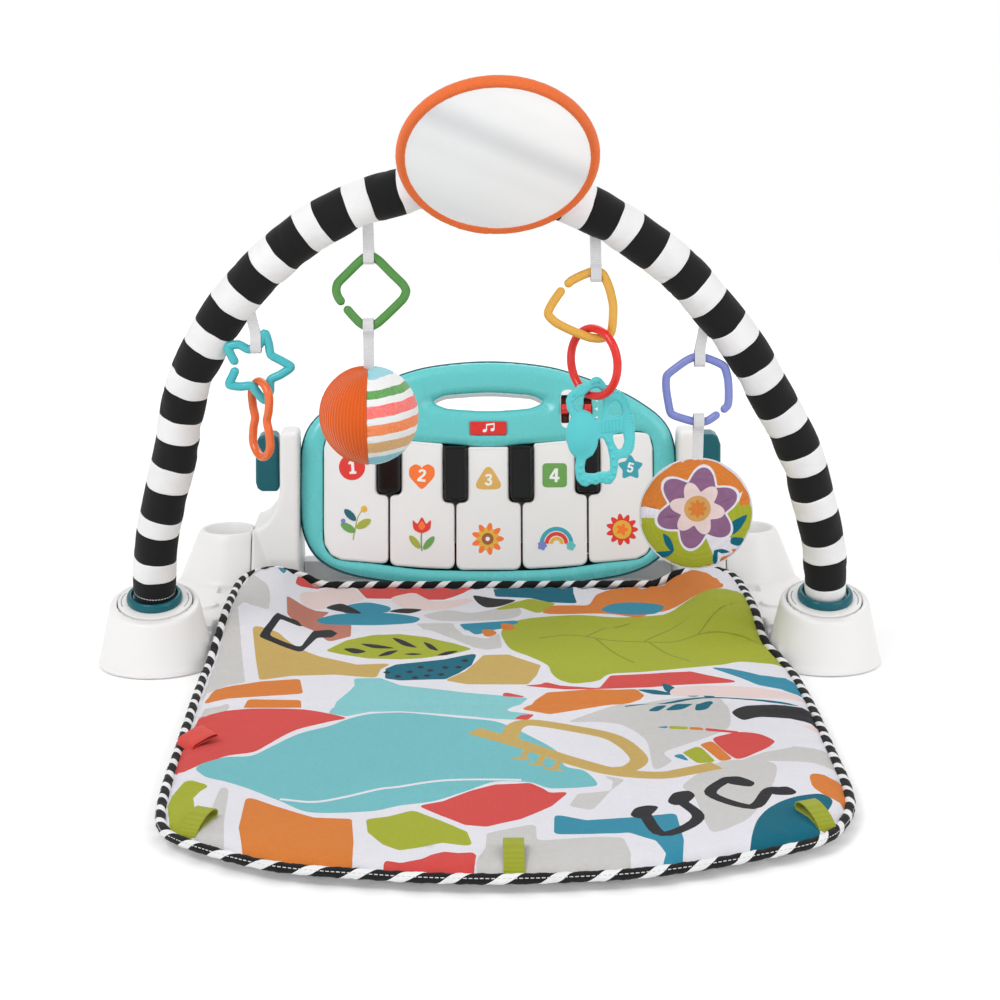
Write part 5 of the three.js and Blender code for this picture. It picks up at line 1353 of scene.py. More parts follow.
# ------------------------------------------------------------- the mat's print
# Bottom to top: cloth, kind, outline as x, y, x, y... Kind "s" is a smooth outline, "c" one
# with crisp corners, and a number the width of a band along a smooth line.
MAT_PRINT = [
    ("grey", "s", [-245.4, 193, -228.9, 223.8, -215.3, 168.7, -231.6, 161.1, -210.8, 107.3,
        -206.1, 43.5, -229.5, 56.5, -237.4, 35.5, -242.1, 100.2, -233.5, 137.8]),
    ("grey", "c", [-237.6, 56.6, -233.1, 42.5, -222.5, -32.1, -211.7, -110.6, -241.2, -137,
        -243.9, -160.2, -244.5, -76.5, -241.9, 21.7]),
    ("grey", "c", [-237.6, -182.9, -217.9, -166.2, -218.4, -194.2, -242.2, -218.4]),
    ("midteal", "c", [-229.4, 240.5, -199.1, 246.1, -199.3, 208.7, -200.4, 156.8, -213.5, 196.6]),
    ("red", "c", [-187.9, 229.2, -155.4, 216.3, -169.2, 180, -189.7, 146.5]),
    ("red", "c", [-135, 201.4, -79.8, 197.4, -12, 188.5, -25.8, 166.4, -44.7, 144.8,
        -119.4, 145.7, -125.8, 167.6]),
    ("pink", "s", [-182, 137.2, -162.8, 180, -147.4, 209.7, -130.5, 175.6, -122.3, 140.3,
        -148.3, 117.8, -176.4, 103.2]),
    ("pink", "s", [-74.8, 167, -53.1, 139.5, -23.7, 149.2, -16.3, 139, -44.3, 111.2,
        -73.3, 107.1, -86, 117, -95.5, 147.7]),
    ("grey", "s", [-62.6, 90.7, -40.1, 108.9, -15.2, 101.2, 22.4, 123.3, 30.2, 96.9,
        13.4, 76.6, -43.8, 72.2]),
    ("terra", "c", [-193.5, 105.6, -151.4, 100.6, -158.5, 83.1, -129.4, 55.3, -128, 19,
        -147.2, 2.2, -163.5, 38.1, -188.9, 54.6]),
    ("midteal", "s", [-162.5, 75.8, -146.7, 91.7, -126.3, 94.4, -95.4, 94.8, -67.3, 81.9,
        -73, 63.2, -108.1, 55.1, -152.8, 58.5]),
    ("midteal", "s", [-137, 119.9, -117.7, 131.1, -96.2, 116.4, -99.6, 96.3, -136.6, 94.5]),
    ("charcoal", "s", [-156.3, 112.6, -142.6, 126.8, -122.3, 96.6, -134.7, 96.7]),
    ("charcoal", "s", [-95.6, 99.9, -83.6, 111.7, -64.9, 110, -76.9, 95.3]),
    ("grey", "c", [-72.1, 61.8, -35.6, 64.9, -25.3, 26, -3.4, 12, 8.8, 32.5, 10.1, -15.2,
        -3.6, -23, -15.3, -14.9, -33.1, 12.3]),
    ("lime", "c", [-148.5, -23.2, -131.7, 6.7, -106.8, 24.9, -83.2, 28.1, -59, 19.5, -33, -1.2,
        -16.3, -20.2, -32.8, -34.4, -61.5, -47, -80.7, -50, -109.5, -46.4, -133.3, -34.5]),
    ("charcoal", "s", [-132.2, -18.7, -122.6, -16.9, -111.9, -26.9, -121.8, -32]),
    ("charcoal", "s", [-117.4, -3.6, -103.5, -5.1, -87, -16.6, -105, -16.4]),
    ("charcoal", "s", [-89.6, 16.4, -79.4, 9.5, -66.6, -14.2, -78.9, -7.4]),
    ("charcoal", "s", [-100.5, -40.1, -92.9, -27.1, -83.3, -24, -90.6, -37]),
    ("charcoal", "s", [-60.7, 3.1, -53.6, -4.4, -47.2, -24.4, -55.4, -17.7]),
    ("charcoal", "s", [-77.3, -34.5, -69.6, -32, -61.4, -34.7, -69.5, -37.9]),
    ("charcoal", "s", [-47.8, -38.8, -39.6, -27.8, -29.5, -25.9, -38.5, -37.6]),
    ("darkteal", "c", [-91.8, -106, -92.5, -77.1, -83.9, -64.6, -63, -57.3, -42.2, -50.5,
        -11.8, -31.4, -17.2, -66.7, -28.5, -91.5, -39.6, -109.7, -78.7, -112.3]),
    ("mustard", "c", [-216.8, 9.1, -192.8, 6.1, -152.3, -39.5, -118.2, -64.2, -86.8, -60.8,
        -96.6, -78.3, -99.3, -104.1, -135.5, -93.3, -172.9, -95.9, -200, -106.5]),
    ("charcoal", "c", [-209.7, -7.1, -202.1, 21.2, -196.4, 47.6, -178.8, 53.8, -172.5, 45.2,
        -176.6, 38.3, -193.2, 33.6, -200.4, -2.6, -171.2, -14.3, -163.5, 38.1, -147.7, 41.4,
        -140.5, 28.8, -145.1, 15.8, -158.4, 15.9, -169.6, -27.5]),
    ("mustard", "c", [-40.5, -112.7, -22.9, -85.4, -6.6, -38, 15.7, -35, 43.8, -67.5,
        39.1, -98.5, 31, -123.8, -20.9, -123.2]),
    ("orange", "c", [-241.6, -171.6, -235.4, -131.2, -197.8, -109.6, -165, -105.2,
        -159.3, -146.2, -197.4, -153.8, -220.6, -157.6]),
    ("orange", "c", [-204, -160.7, -159.8, -164.1, -157.9, -182.7, -207.1, -183.2]),
    ("red", "s", [-242.5, -329.5, -244.8, -273.2, -242.2, -218.4, -229, -195.2, -197.9, -185.6,
        -154.7, -189.4, -120.5, -209.1, -133.1, -219.8, -157.8, -240.7, -175.9, -271.5,
        -187.6, -291.4, -206.8, -301, -220.4, -314]),
    ("lightaqua", "c", [-134.8, -199.1, -129.9, -170.1, -119.9, -138.5, -116.9, -125.6,
        -118.9, -104.5, -95.2, -104.8, -78.2, -126, -22.7, -146.7, 32.2, -160.1, 18.8, -179.3,
        10.3, -194.2, 35.3, -201.7, 19.9, -216.2, 0.5, -214.4, -49.2, -200.7, -76.1, -193.7,
        -100.8, -194.5, -119.8, -206.4]),
    ("aqua", "s", [-227.4, -322.6, -209.8, -304.4, -188.5, -299.8, -175.2, -280.1,
        -153.8, -248.6, -132.4, -230.5, -117.7, -212.9, -100.6, -200.1, -76, -197.1,
        -49.1, -205.1, -26, -213, 0.4, -219.8, 14.3, -232.3, 24.5, -245.6, 49, -287.8,
        54.3, -323.6, 68.7, -334.8, 76.5, -359.1, 73.5, -369.2, 42.6, -372.4, 26.8, -359.5,
        0.8, -359.1, -21.9, -380.6, -44.1, -398.1, -69.3, -406.5, -87.6, -417.1,
        -115.8, -418.9, -138, -415.2, -158.6, -394.5, -186.7, -367.4, -218.6, -343.9]),
    ("white", 3.85, [-158, -391.4, -133, -396.1, -109.7, -386.3, -86.4, -371.8, -70.5, -367.9,
        -38.3, -356.8, -2.5, -354.5, 20.4, -354.8]),
    ("red", "c", [-56.6, -406.7, -37.8, -399.1, -17.1, -378.5, 0.7, -365.1, 26.8, -360.4,
        36.2, -372.3, 40.7, -381.4, 55.6, -379.4, 41.4, -407.9, 18.6, -435.3, -6.3, -450.4,
        -21.7, -447.3, -38.9, -429.2]),
    ("lime", "c", [-92.8, -434, -76.2, -428.7, -59.4, -416.1, -45.1, -432.5, -20.2, -459.7,
        -15.9, -485.7, -36.7, -478.4, -66.5, -491.8, -78.8, -481.8, -90.4, -458.8]),
    ("orange", "c", [-183.3, -385.4, -160.8, -405.4, -130.8, -427.2, -103, -431.8,
        -99.4, -476.8, -98.2, -526.9, -140, -507.5, -174.7, -493.6, -182.5, -447.4]),
    ("red", "c", [-77.1, -504.4, -66, -510.3, -51.3, -504.7, -36.5, -494.1, -13.5, -497.5,
        -17.1, -542.6, -64.9, -542, -77.7, -538.2]),
    ("lime", "c", [-240.2, -395.7, -238.2, -369, -230.2, -353.1, -213.3, -364.8, -222, -389.3,
        -216.9, -417.6, -216.9, -467.4, -231, -446.9]),
    ("grey", "s", [-204, -371.7, -197.4, -376.3, -194.2, -434.8, -190.5, -479.7, -202.8, -477.5,
        -213.6, -463.4, -206.5, -419.9]),
    ("grey", "c", [-6.4, -461.9, 29, -444.2, 28.4, -475.2, 69.7, -467.6, 89.5, -469.1,
        93, -494.9, 89.6, -543.9, -11.3, -542.7, -14.1, -510.9, -7.3, -485.8]),
    ("midteal", "c", [42.7, -424.2, 65.3, -435.9, 103, -430.9, 130.7, -424.5, 131.5, -475.6,
        124.7, -533.3, 106.8, -536.8, 117.3, -495.2, 111.8, -475.4, 94.6, -461.1,
        40.9, -463.3]),
    ("grey", "c", [53.7, -408, 61.5, -383.9, 86.7, -378.4, 89, -359.3, 82.1, -345.3,
        98.7, -355.7, 85.8, -379.7, 70.5, -416.9]),
    ("grey", "s", [141.1, -369.1, 175.1, -317.9, 214.8, -320.8, 207.5, -369.9, 184.5, -431.1,
        166.3, -453.8, 152.5, -460.6, 149.1, -426.4, 146.4, -389.4]),
    ("grey", "s", [62.5, -219.5, 88.7, -192.4, 109.4, -177, 150.2, -165, 191.9, -165.5,
        191.6, -231.8, 167.4, -262.9, 133.8, -292.8, 137, -315, 122.2, -331.6, 121.4, -267.5,
        105.8, -230.7, 83.6, -220.8]),
    ("grey", "c", [184.8, -320.4, 211.7, -293.8, 230.3, -281.5, 247, -284.2, 253, -333.2,
        231.8, -318.6, 215.5, -315.9]),
    ("lime", "s", [10.4, 36, 19.3, 64.2, 38, 80.6, 79.4, 88.9, 120, 79.6, 170.4, 87.8,
        183.3, 92.8, 224.9, 96, 238.5, 70.9, 246, 33.1, 250.5, -31.3, 248.5, -68.7,
        237.3, -66.7, 220.7, -60.7, 202.5, -69.4, 171.1, -78.4, 132.4, -88.6, 103.7, -94.4,
        93.3, -111.3, 85.1, -117.3, 70, -120.7, 58.3, -110.9, 52.4, -92.5, 49.5, -67.5,
        34.9, -41.7, 17.9, -18.6, 11.5, 11.8]),
    ("dklime", 2.75, [44.2, 11.4, 76.4, 21.3, 115.1, 3.7, 162.7, -0.3, 188.6, 1.5,
        217.2, -7.7, 239.1, -21.3]),
    ("dklime", 2.2, [88.2, 17.7, 107.7, 45.3, 130.9, 59.3]),
    ("dklime", 2.2, [138.6, 0, 161, 30.7, 184.7, 47.9]),
    ("dklime", 2.2, [188.6, 1.5, 207.5, 30.1, 225.9, 51]),
    ("dklime", 2.2, [95.9, 12.8, 109.1, -29.6, 126.2, -62.1]),
    ("dklime", 2.2, [144.4, -1.4, 159.1, -36.8, 176.3, -59.6]),
    ("orange", "s", [50.1, 107.8, 57.9, 122.1, 78.9, 124.1, 95.7, 126.2, 106, 160.9,
        129, 186.8, 166.8, 201.7, 191.9, 191.7, 206.9, 163.6, 220.8, 124.6, 220.5, 99,
        187.6, 95, 156.6, 95.4, 140.5, 79.4, 110.4, 91.5, 57, 94.4]),
    ("midteal", "s", [107.3, 109.4, 118.9, 127.4, 138, 131.8, 160.6, 125.4, 167.3, 110.2,
        155.8, 90.9, 132.9, 88.3, 112.8, 95.9]),
    ("darkteal", "c", [4.1, 183.5, 49.6, 195.9, 83.8, 201.1, 82.8, 165.1, 85, 130.1,
        58.3, 134.3, 39.8, 148.4, 6, 154.2]),
    ("lime", "c", [0.3, 106.2, 24.7, 134.7, 39.7, 146.8, 64.5, 130.4, 46.7, 95.2, 30.6, 115.6]),
    ("charcoal", "s", [-15.2, 160, 3.8, 148.8, 25.2, 140.8, 11.9, 122.6, -2.7, 118.3,
        -11.4, 135.1]),
    ("charcoal", "s", [101.2, 190.4, 110.1, 214.7, 147.3, 215.9, 140.2, 192.3, 115.6, 179]),
    ("midteal", "c", [-29.9, 61.2, 25.6, 73.5, 27, 63.4, -13.3, 23.8]),
    ("orange", "s", [-7.2, 41.1, 0.8, 42.4, 5.9, 29.8, -0.4, 18.8, -5.7, 23]),
    ("orange", "s", [10.7, 60.7, 19.2, 59.2, 23.5, 47.8, 17.9, 38, 11.7, 40.9]),
    ("red", "c", [25.3, -126.7, 42.1, -122.7, 46.4, -116.8, 58.7, -125.9, 91.6, -134,
        102.9, -99.3, 137.2, -93.6, 154.8, -90.1, 174, -87.8, 214.1, -120, 157.1, -128.3,
        134.5, -134, 91.9, -136.4, 62, -136]),
    ("orange", "c", [24, -190, 47, -144.1, 82.2, -136.3, 106, -138.9, 122.7, -138,
        128.1, -156.1, 124.3, -165.8, 85.1, -184.6, 46.8, -201.9, 34.6, -195.1]),
    ("red", "c", [10.3, -144.2, 32.6, -159.5, 8.3, -156.4]),
    ("red", "c", [16.4, -214.6, 23.7, -203.8, 35.3, -200.6, 28.7, -216.4]),
    ("mustard", 16.5, [-15.4, -242.5, 12, -265.1, 42, -294.2, 67.8, -319, 86.9, -335,
        109.3, -344.7, 129.2, -346.8, 146.4, -339, 170.8, -326.5]),
    ("mustard", 14.3, [13, -260, 17.8, -232.3, 32.1, -222.3, 64.8, -236.6, 96.6, -259.4,
        112.2, -304.9, 104.6, -329, 90.2, -335]),
    ("mustard", 4.95, [26.9, -287.5, 21.4, -310.2]),
    ("mustard", 4.95, [39.3, -297.6, 33.5, -322.9]),
    ("mustard", 4.95, [51.5, -309.1, 45.3, -333.5]),
    ("mustard", 4.4, [14.7, -307.2, 28, -310.3]),
    ("mustard", 4.4, [27, -319.9, 40.2, -323.9]),
    ("mustard", 4.4, [38.8, -329.6, 52.2, -334.6]),
    ("darkteal", 2.75, [109.9, -183.8, 144.2, -171.8, 181.3, -163.1, 213.7, -165.8,
        239.5, -176.3]),
    ("darkteal", "s", [123.8, -140.3, 139.4, -141.7, 153.8, -154.7, 136.6, -153.3]),
    ("darkteal", "s", [146.6, -121.6, 155.5, -136, 151.3, -152.3, 146.3, -141.8]),
    ("darkteal", "s", [161.6, -136.1, 173, -136.2, 174.1, -158.4, 163.5, -158.3]),
    ("darkteal", "s", [183.9, -137.5, 189.3, -152.8, 185, -162, 177.6, -159.6]),
    ("darkteal", "s", [143.1, -194.2, 154.5, -177.5, 167.2, -176.6, 156.7, -192.1]),
    ("darkteal", "s", [128.8, -195.1, 136.3, -184.1, 144.3, -183.1, 136.3, -196.3]),
    ("darkteal", "s", [167.3, -194.5, 172, -173.8, 184.2, -170, 177.4, -191.3]),
    ("midteal", "c", [130.8, -235.8, 141.1, -232.2, 140.6, -238.6]),
    ("lime", "c", [142.2, -232.2, 157.5, -235.1, 156.5, -241.4, 141.5, -239.6]),
    ("orange", "c", [158.4, -235.1, 169, -237.3, 169.4, -243.7, 157.5, -241.9]),
    ("red", "c", [170.7, -237.9, 197, -246.1, 196.3, -251.3, 170.3, -244.7]),
    ("red", "s", [174.2, -267.1, 185.6, -253.8, 198.5, -247.7, 213.5, -253.1, 222.5, -270.7,
        204.6, -296.2, 186.9, -311.2]),
    ("orange", "c", [162.4, -278.1, 173, -268.1, 184.4, -312.6, 174.7, -318.4]),
    ("lime", "c", [147.1, -295.5, 161.6, -279.1, 171, -318.8, 156.4, -321.5]),
    ("midteal", "c", [138.4, -302.8, 146.3, -297, 151.7, -318.6]),
    ("charcoal", "s", [197.1, -199.3, 211.8, -181.6, 231.9, -179.6, 248, -193.3, 253.8, -232.5,
        238.8, -220.5, 220.5, -211.6, 203.7, -218.5]),
    ("pink", "s", [237.2, -232.3, 245.1, -226, 252.2, -235.2, 249.5, -244.1, 241.3, -240.3]),
    ("midteal", "c", [190.4, -75.5, 208.9, -80.8, 229.3, -99.6, 242.5, -113.2, 249.4, -157.6,
        228, -132.1, 210.2, -101.8]),
    ("pink", "s", [156.4, -136, 195.8, -130.6, 228.1, -138.1, 245.5, -166.1, 181.8, -158.5,
        151.8, -157]),
    ("charcoal", 9.35, [106.8, -420.8, 117.6, -464.2, 145.5, -434.8, 135.4, -400.3]),
    ("charcoal", "s", [97.7, -427.9, 101.8, -413.8, 110.9, -408.7, 118.5, -412.3,
        112.6, -426.8, 104.3, -434.3]),
    ("charcoal", "s", [126.6, -402.4, 132.2, -386.1, 143.6, -381.8, 147.4, -391.6,
        140.5, -405.6, 131.4, -409.9]),
    ("charcoal", 9.35, [180.7, -355.8, 173, -359.4, 159.7, -388.2, 186.6, -414, 203.7, -379.8,
        215.1, -379.1]),
    ("charcoal", "s", [172.8, -353.8, 184.5, -351.2, 194.6, -362.9, 191, -372, 182.4, -369.6,
        174.8, -364.9]),
    ("charcoal", "s", [204.2, -376.7, 217.7, -372.3, 223.5, -382.7, 218.6, -388.9,
        205.9, -387.9]),
    ("darkteal", "s", [173.3, -509.4, 183.8, -451.9, 197.1, -418.4, 216, -396, 232.6, -386,
        236.2, -399.3, 233.1, -440.1, 227.3, -465.5, 207.8, -486.5, 189.4, -500]),
    ("orange", "s", [232.7, -344.8, 243.5, -351.9, 255.4, -379.5, 258.1, -401.8, 248.7, -438.2,
        241.2, -408.2, 232, -379.3]),
    ("grey", "s", [179.1, 237.2, 209.3, 253.8, 239.3, 263.8, 241.3, 203.3, 239.6, 147.5,
        228.2, 163.3, 201.3, 194]),
    ("charcoal", "s", [-74.2, -86.7, -71.1, -82.4, -67.8, -86.7, -70.9, -91]),
    ("charcoal", "s", [-65.1, -72.4, -62, -68.1, -58.7, -72.5, -61.8, -76.9]),
    ("charcoal", "s", [-56.4, -83.2, -53.2, -78.8, -49.9, -83.2, -53.1, -87.5]),
    ("charcoal", "s", [-43.3, -73.9, -40.1, -69.6, -36.8, -74, -40, -78.4]),
    ("charcoal", "s", [-46.7, -95.6, -43.6, -91.4, -40.3, -95.7, -43.5, -99.9]),
    ("charcoal", "s", [-26.3, -53.9, -23, -49.4, -19.7, -54, -23, -58.4]),
    ("charcoal", "s", [-31.9, -72.8, -28.7, -68.5, -25.4, -72.9, -28.6, -77.3]),
    ("charcoal", "s", [-58.9, -99.1, -55.8, -94.9, -52.5, -99.2, -55.6, -103.5]),
    ("charcoal", "s", [-69, -104.5, -66, -100.3, -62.7, -104.6, -65.7, -108.8]),
    ("charcoal", "s", [-94, -87.7, -91, -83.4, -87.6, -87.7, -90.6, -92]),
    ("charcoal", "s", [-84.1, -100.1, -81.1, -95.8, -77.8, -100.1, -80.8, -104.4]),
]


def print_outline(kind, coordinates):
    """Outline of a printed shape, with points no more than about 7 mm apart."""
    points = arr(coordinates).reshape(-1, 2)
    # the print is stretched outwards near the mat's right edge
    points[:, 0] += np.maximum(0.0, points[:, 0] - 226) * 1.15 * (points[:, 1] > -436)
    if kind not in ("s", "c"):
        return strip(points, kind)
    outline = catmull(points, True, 6, 0.42) if kind == "s" else fillet(points, 5, 4)
    out = []
    for a, b in zip(outline, np.roll(outline, -1, 0)):
        count = max(1, int(np.linalg.norm(b - a) / 7))
        out += [a + (b - a) * k / count for k in range(count)]
    return arr(out)


def cloth_slots(rows, ids):
    """Material slot of each triangle, from the shape on it."""
    names = ["white"] + [row[0] for row in rows]
    return [CLOTH_SLOTS.index("print_" + names[i]) for i in ids]


# ------------------------------------------------------------------- the mat
# right and left edges, from the child's end to the piano: x, y
MAT_RIGHT = [[50, -522.5], [97, -516], [140, -503], [183, -485], [219.5, -466.5], [236, -453],
             [250, -430], [261.8, -395], [266.3, -351], [266.8, -310], [267.2, -255],
             [267.8, -195], [266.8, -122], [264, -68], [258.2, -36], [250.6, -15], [247.8, 0],
             [246.6, 27], [245.5, 62], [244, 110], [242, 145], [236, 172], [224, 189],
             [206, 198.5], [180, 200], [120, 200], [60, 199.5]]
MAT_LEFT = [[-50, -522], [-90, -515.5], [-132.7, -507.3], [-158, -499], [-182, -485.5],
            [-202, -471.5], [-221, -456], [-234, -441], [-240.6, -424], [-244.4, -401],
            [-246.8, -364], [-248.2, -311.8], [-248.7, -255.8], [-249.9, -196], [-251, -124],
            [-251.2, -70], [-250, -36], [-248.4, -10], [-247, 6], [-245.7, 27], [-244.6, 62],
            [-243.5, 110], [-242, 145], [-236, 172], [-224, 189], [-206, 198.5], [-180, 200],
            [-120, 200], [-60, 199.5]]
MAT_LOOP = centripetal([[0, -525]] + MAT_RIGHT + [[0, 199.5]] + MAT_LEFT[::-1], True, 14)
PAD_POINTS = 460
PAD_EDGE = offset(resample(MAT_LOOP, PAD_POINTS), 3.0)
PIPING_Z, PIPING_POINTS, PIPING_SIDES = 10.2, 1150, 18
# side section of a webbing loop: along, up
LOOP_SECTION = [[-19, -1.5], [-12, 2.0], [-4, 5.0], [5, 7.2], [12.5, 7.4], [17, 4.6],
                [15.6, 1.3], [8, 0.9], [-2, 1.0], [-10, 0.0], [-18.5, -3]]
TAG_SECTION = [[-13, -4], [-11, 1.0], [-6, 3.4], [2, 6.0], [8, 7.0], [10.2, 6.4], [9.4, 4.8],
               [2, 3.2], [-6, 1.4], [-12, -2]]
TOY_LOOPS = (("left", -213, -440, 66), ("centre", 12, -502, 90), ("right", 231, -431, 115))


def ramp(t):
    t = np.clip(t, 0, 1)
    return t * t * (3 - 2 * t)


def edge_lift(x, y):
    """Rise of the mat's far side edges."""
    return 24 * ramp((np.abs(x) - 160) / 55) * ramp((y + 60) / 120)


def edge_depth(x, y):
    return np.maximum(-poly_dist(x, y, PAD_EDGE), 0)


def mat_top(x, y, depth, along):
    """Top of the mat; depth is the distance in from the edge, along the place round it."""
    bulge = np.sqrt(np.maximum(0, 1 - (1 - np.clip(depth / 24, 0, 1)) ** 2.4))
    z = PIPING_Z + edge_lift(x, y) + 7.3 * bulge
    # puckers along the edge
    fade = np.clip(depth / 5, 0, 1) * np.exp(-np.maximum(depth - 5, 0) / 17)
    z += fade * (1.15 * np.sin(along / 19 * 2 * math.pi / 1.3 + 1.2 * np.sin(along / 90))
                 + 0.8 * np.sin(along / 31 * 2 * math.pi + 2 * np.sin(along / 170)))
    # broad unevenness
    z += np.clip(depth / 30, 0, 1) * (1.0 * value_noise(x, y, 95, 3)
                                      + 0.5 * value_noise(x, y, 38, 4))
    # two shallow fold lines across the mat
    for fold_y, slope in ((50, -0.004), (-175, 0.006)):
        off = y - fold_y - slope * x - 2.5 * np.sin(x / 70)
        z -= np.clip(depth / 12, 0, 1) * 2.0 * np.exp(-(off / 4.6) ** 2)
    return z


def build_mat_cover():
    shapes = [print_outline(kind, points) for _, kind, points in MAT_PRINT]
    top, triangles, ids = regions(PAD_EDGE, 6.5, shapes)
    x, y = top[:, 0], top[:, 1]
    nearest = np.argmin((x[:, None] - PAD_EDGE[None, :, 0]) ** 2
                        + (y[:, None] - PAD_EDGE[None, :, 1]) ** 2, axis=1)
    top_z = mat_top(x, y, edge_depth(x, y), nearest * (2600 / PAD_POINTS))
    low, low_triangles, _ = regions(PAD_EDGE, 14, [])
    depth = edge_depth(low[:, 0], low[:, 1])
    low_z = edge_lift(low[:, 0], low[:, 1]) + 0.25 + 9.9 * (
        1 - np.sqrt(np.maximum(0, 1 - (1 - np.clip(depth / 12, 0, 1)) ** 2.2)))
    slots = cloth_slots(MAT_PRINT, ids) + [len(CLOTH_SLOTS)] * len(low_triangles)
    make("mat_cover", both_faces(np.column_stack([top, top_z]), triangles,
                                 np.column_stack([low, low_z]), low_triangles),
         CLOTH_SLOTS + ["backing_cloth"], "base", "print_fabric", "mat_pad", face_slots=slots)


def build_piping():
    line = resample(MAT_LOOP, PIPING_POINTS)
    x, y = line[:, 0], line[:, 1]
    back_rise = 6.5 * ramp((y - 150) / 45) * ramp((205 - np.abs(x)) / 25)
    path = np.column_stack([line, PIPING_Z + edge_lift(x, y) + back_rise])
    steps = np.linalg.norm(np.roll(path, -1, 0) - path, axis=1)
    # length of a stripe pair, longer at the child's end
    pitch = 24.5 + 9.5 * np.clip((-y - 440) / 40, 0, 1)
    stripes = np.r_[0, np.cumsum(steps / pitch)]
    stripes *= round(stripes[-1]) / stripes[-1]  # a whole number of stripes
    share = np.arange(PIPING_POINTS + 1) / PIPING_POINTS
    radial = (1 + 0.05 * np.sin(share * 2 * math.pi * 160)[:, None] * np.ones(PIPING_SIDES + 1)
              + 0.03 * rng.standard_normal((PIPING_POINTS + 1, 1)))
    radial[-1] = radial[0]
    tube, uv = uv_tube(path, 3.7, 3.9, PIPING_SIDES, True, up=(0, 0, -1), radial=radial,
                       along=stripes)
    weld(make("mat_piping", tube, "piping_stripes", "base", "stripe_fabric", "mat_binding", uv=uv))


def build_mat():
    build_mat_cover()
    build_piping()
    for name, x, y, turn in TOY_LOOPS:
        cos, sin = math.cos(turn * RAD), math.sin(turn * RAD)
        along, up = catmull(LOOP_SECTION, False, 5).T
        path_x, path_y = x + along * cos, y + along * sin
        ground = mat_top(path_x, path_y, edge_depth(path_x, path_y), path_x * 0)
        path = np.column_stack([path_x, path_y, up + np.minimum(ground, 18.0)])
        make(f"toy_loop_{name}", ribbon(path, (-sin, cos, 0), 14.5, 1.2), "lime_webbing", "base",
             "lime_webbing", f"mat_loop_{name}", sharp=40)
    cos, sin = math.cos(35 * RAD), math.sin(35 * RAD)
    along, up = catmull(TAG_SECTION, False, 5).T
    path = np.column_stack([-233 + along * cos, -264 + along * sin, 17.8 + up])
    make("mat_tag", ribbon(path, (-sin, cos, 0), 25, 0.5), "red_tag_cloth", "base", "red_tag",
         "mat_side_tag", sharp=40)


# ------------------------------------------------------------------ the arch
# centreline in the arch plane, left foot to right foot: x, up
ARCH_LINE = [[-303.2, 0], [-301.5, 27], [-299.5, 47], [-295, 73], [-290, 93], [-282.8, 120],
             [-275, 148], [-269, 180], [-258, 218], [-243, 250], [-221, 286], [-191, 320],
             [-153, 353], [-118.5, 373], [-77, 388], [-36, 396], [-16, 397.5], [4, 396],
             [43, 388], [81.5, 373], [115, 353], [157, 320], [187, 286], [215, 250], [234, 218],
             [255, 180], [271, 148], [280.2, 120], [288, 93], [294, 73], [299.5, 47],
             [301.5, 27], [303.2, 0]]
ARCH_CURVE = centripetal(ARCH_LINE, False, 30)
ARCH_RUN = running_length(ARCH_CURVE)
ARCH_LENGTH = ARCH_RUN[-1]
ARCH_NORMAL = (0, math.cos(LEAN), math.sin(LEAN))
SLEEVE_END = 3.2  # from each end of the centreline to the cuff
SLEEVE_RADIUS, SLEEVE_SIDES = 19.2, 56
# where each stripe starts along the arch; a black stripe fills 0.57 of its pair
STRIPE_AT = [0, 27.7, 45.9, 73.1, 89.7, 119, 142.4, 169.2, 189.2, 214.2, 232.7, 258.7, 279.3,
             302.7, 323.4, 349.1, 369.7, 396.2, 414.5, 439, 459.5, 484.3, 641.7, 666.5, 684.9,
             711, 732.4, 756.1, 776.8, 803.1, 823.5, 847.3, 867.8, 893.9, 914.6, 940.1, 959.7,
             984.6, 1006.2, 1031.7, 1052, 1078.2, 1096]
STRIPE_COUNT = [pair + part for pair in (*range(11), *range(14, 24))
                for part in (0, 0.57)] + [23.95]
COLLAR = [[0, -34], [20.6, -34], [20.6, -0.4], [24.4, 0.2], [25.3, 2.6], [24.9, 6.0],
          [23.0, 8.4], [20.6, 8.2], [19.8, 4.6], [0, 4.0]]  # radius, height


def arch_at(stations):
    return (np.interp(stations, ARCH_RUN, ARCH_CURVE[:, 0]),
            np.interp(stations, ARCH_RUN, ARCH_CURVE[:, 1]))


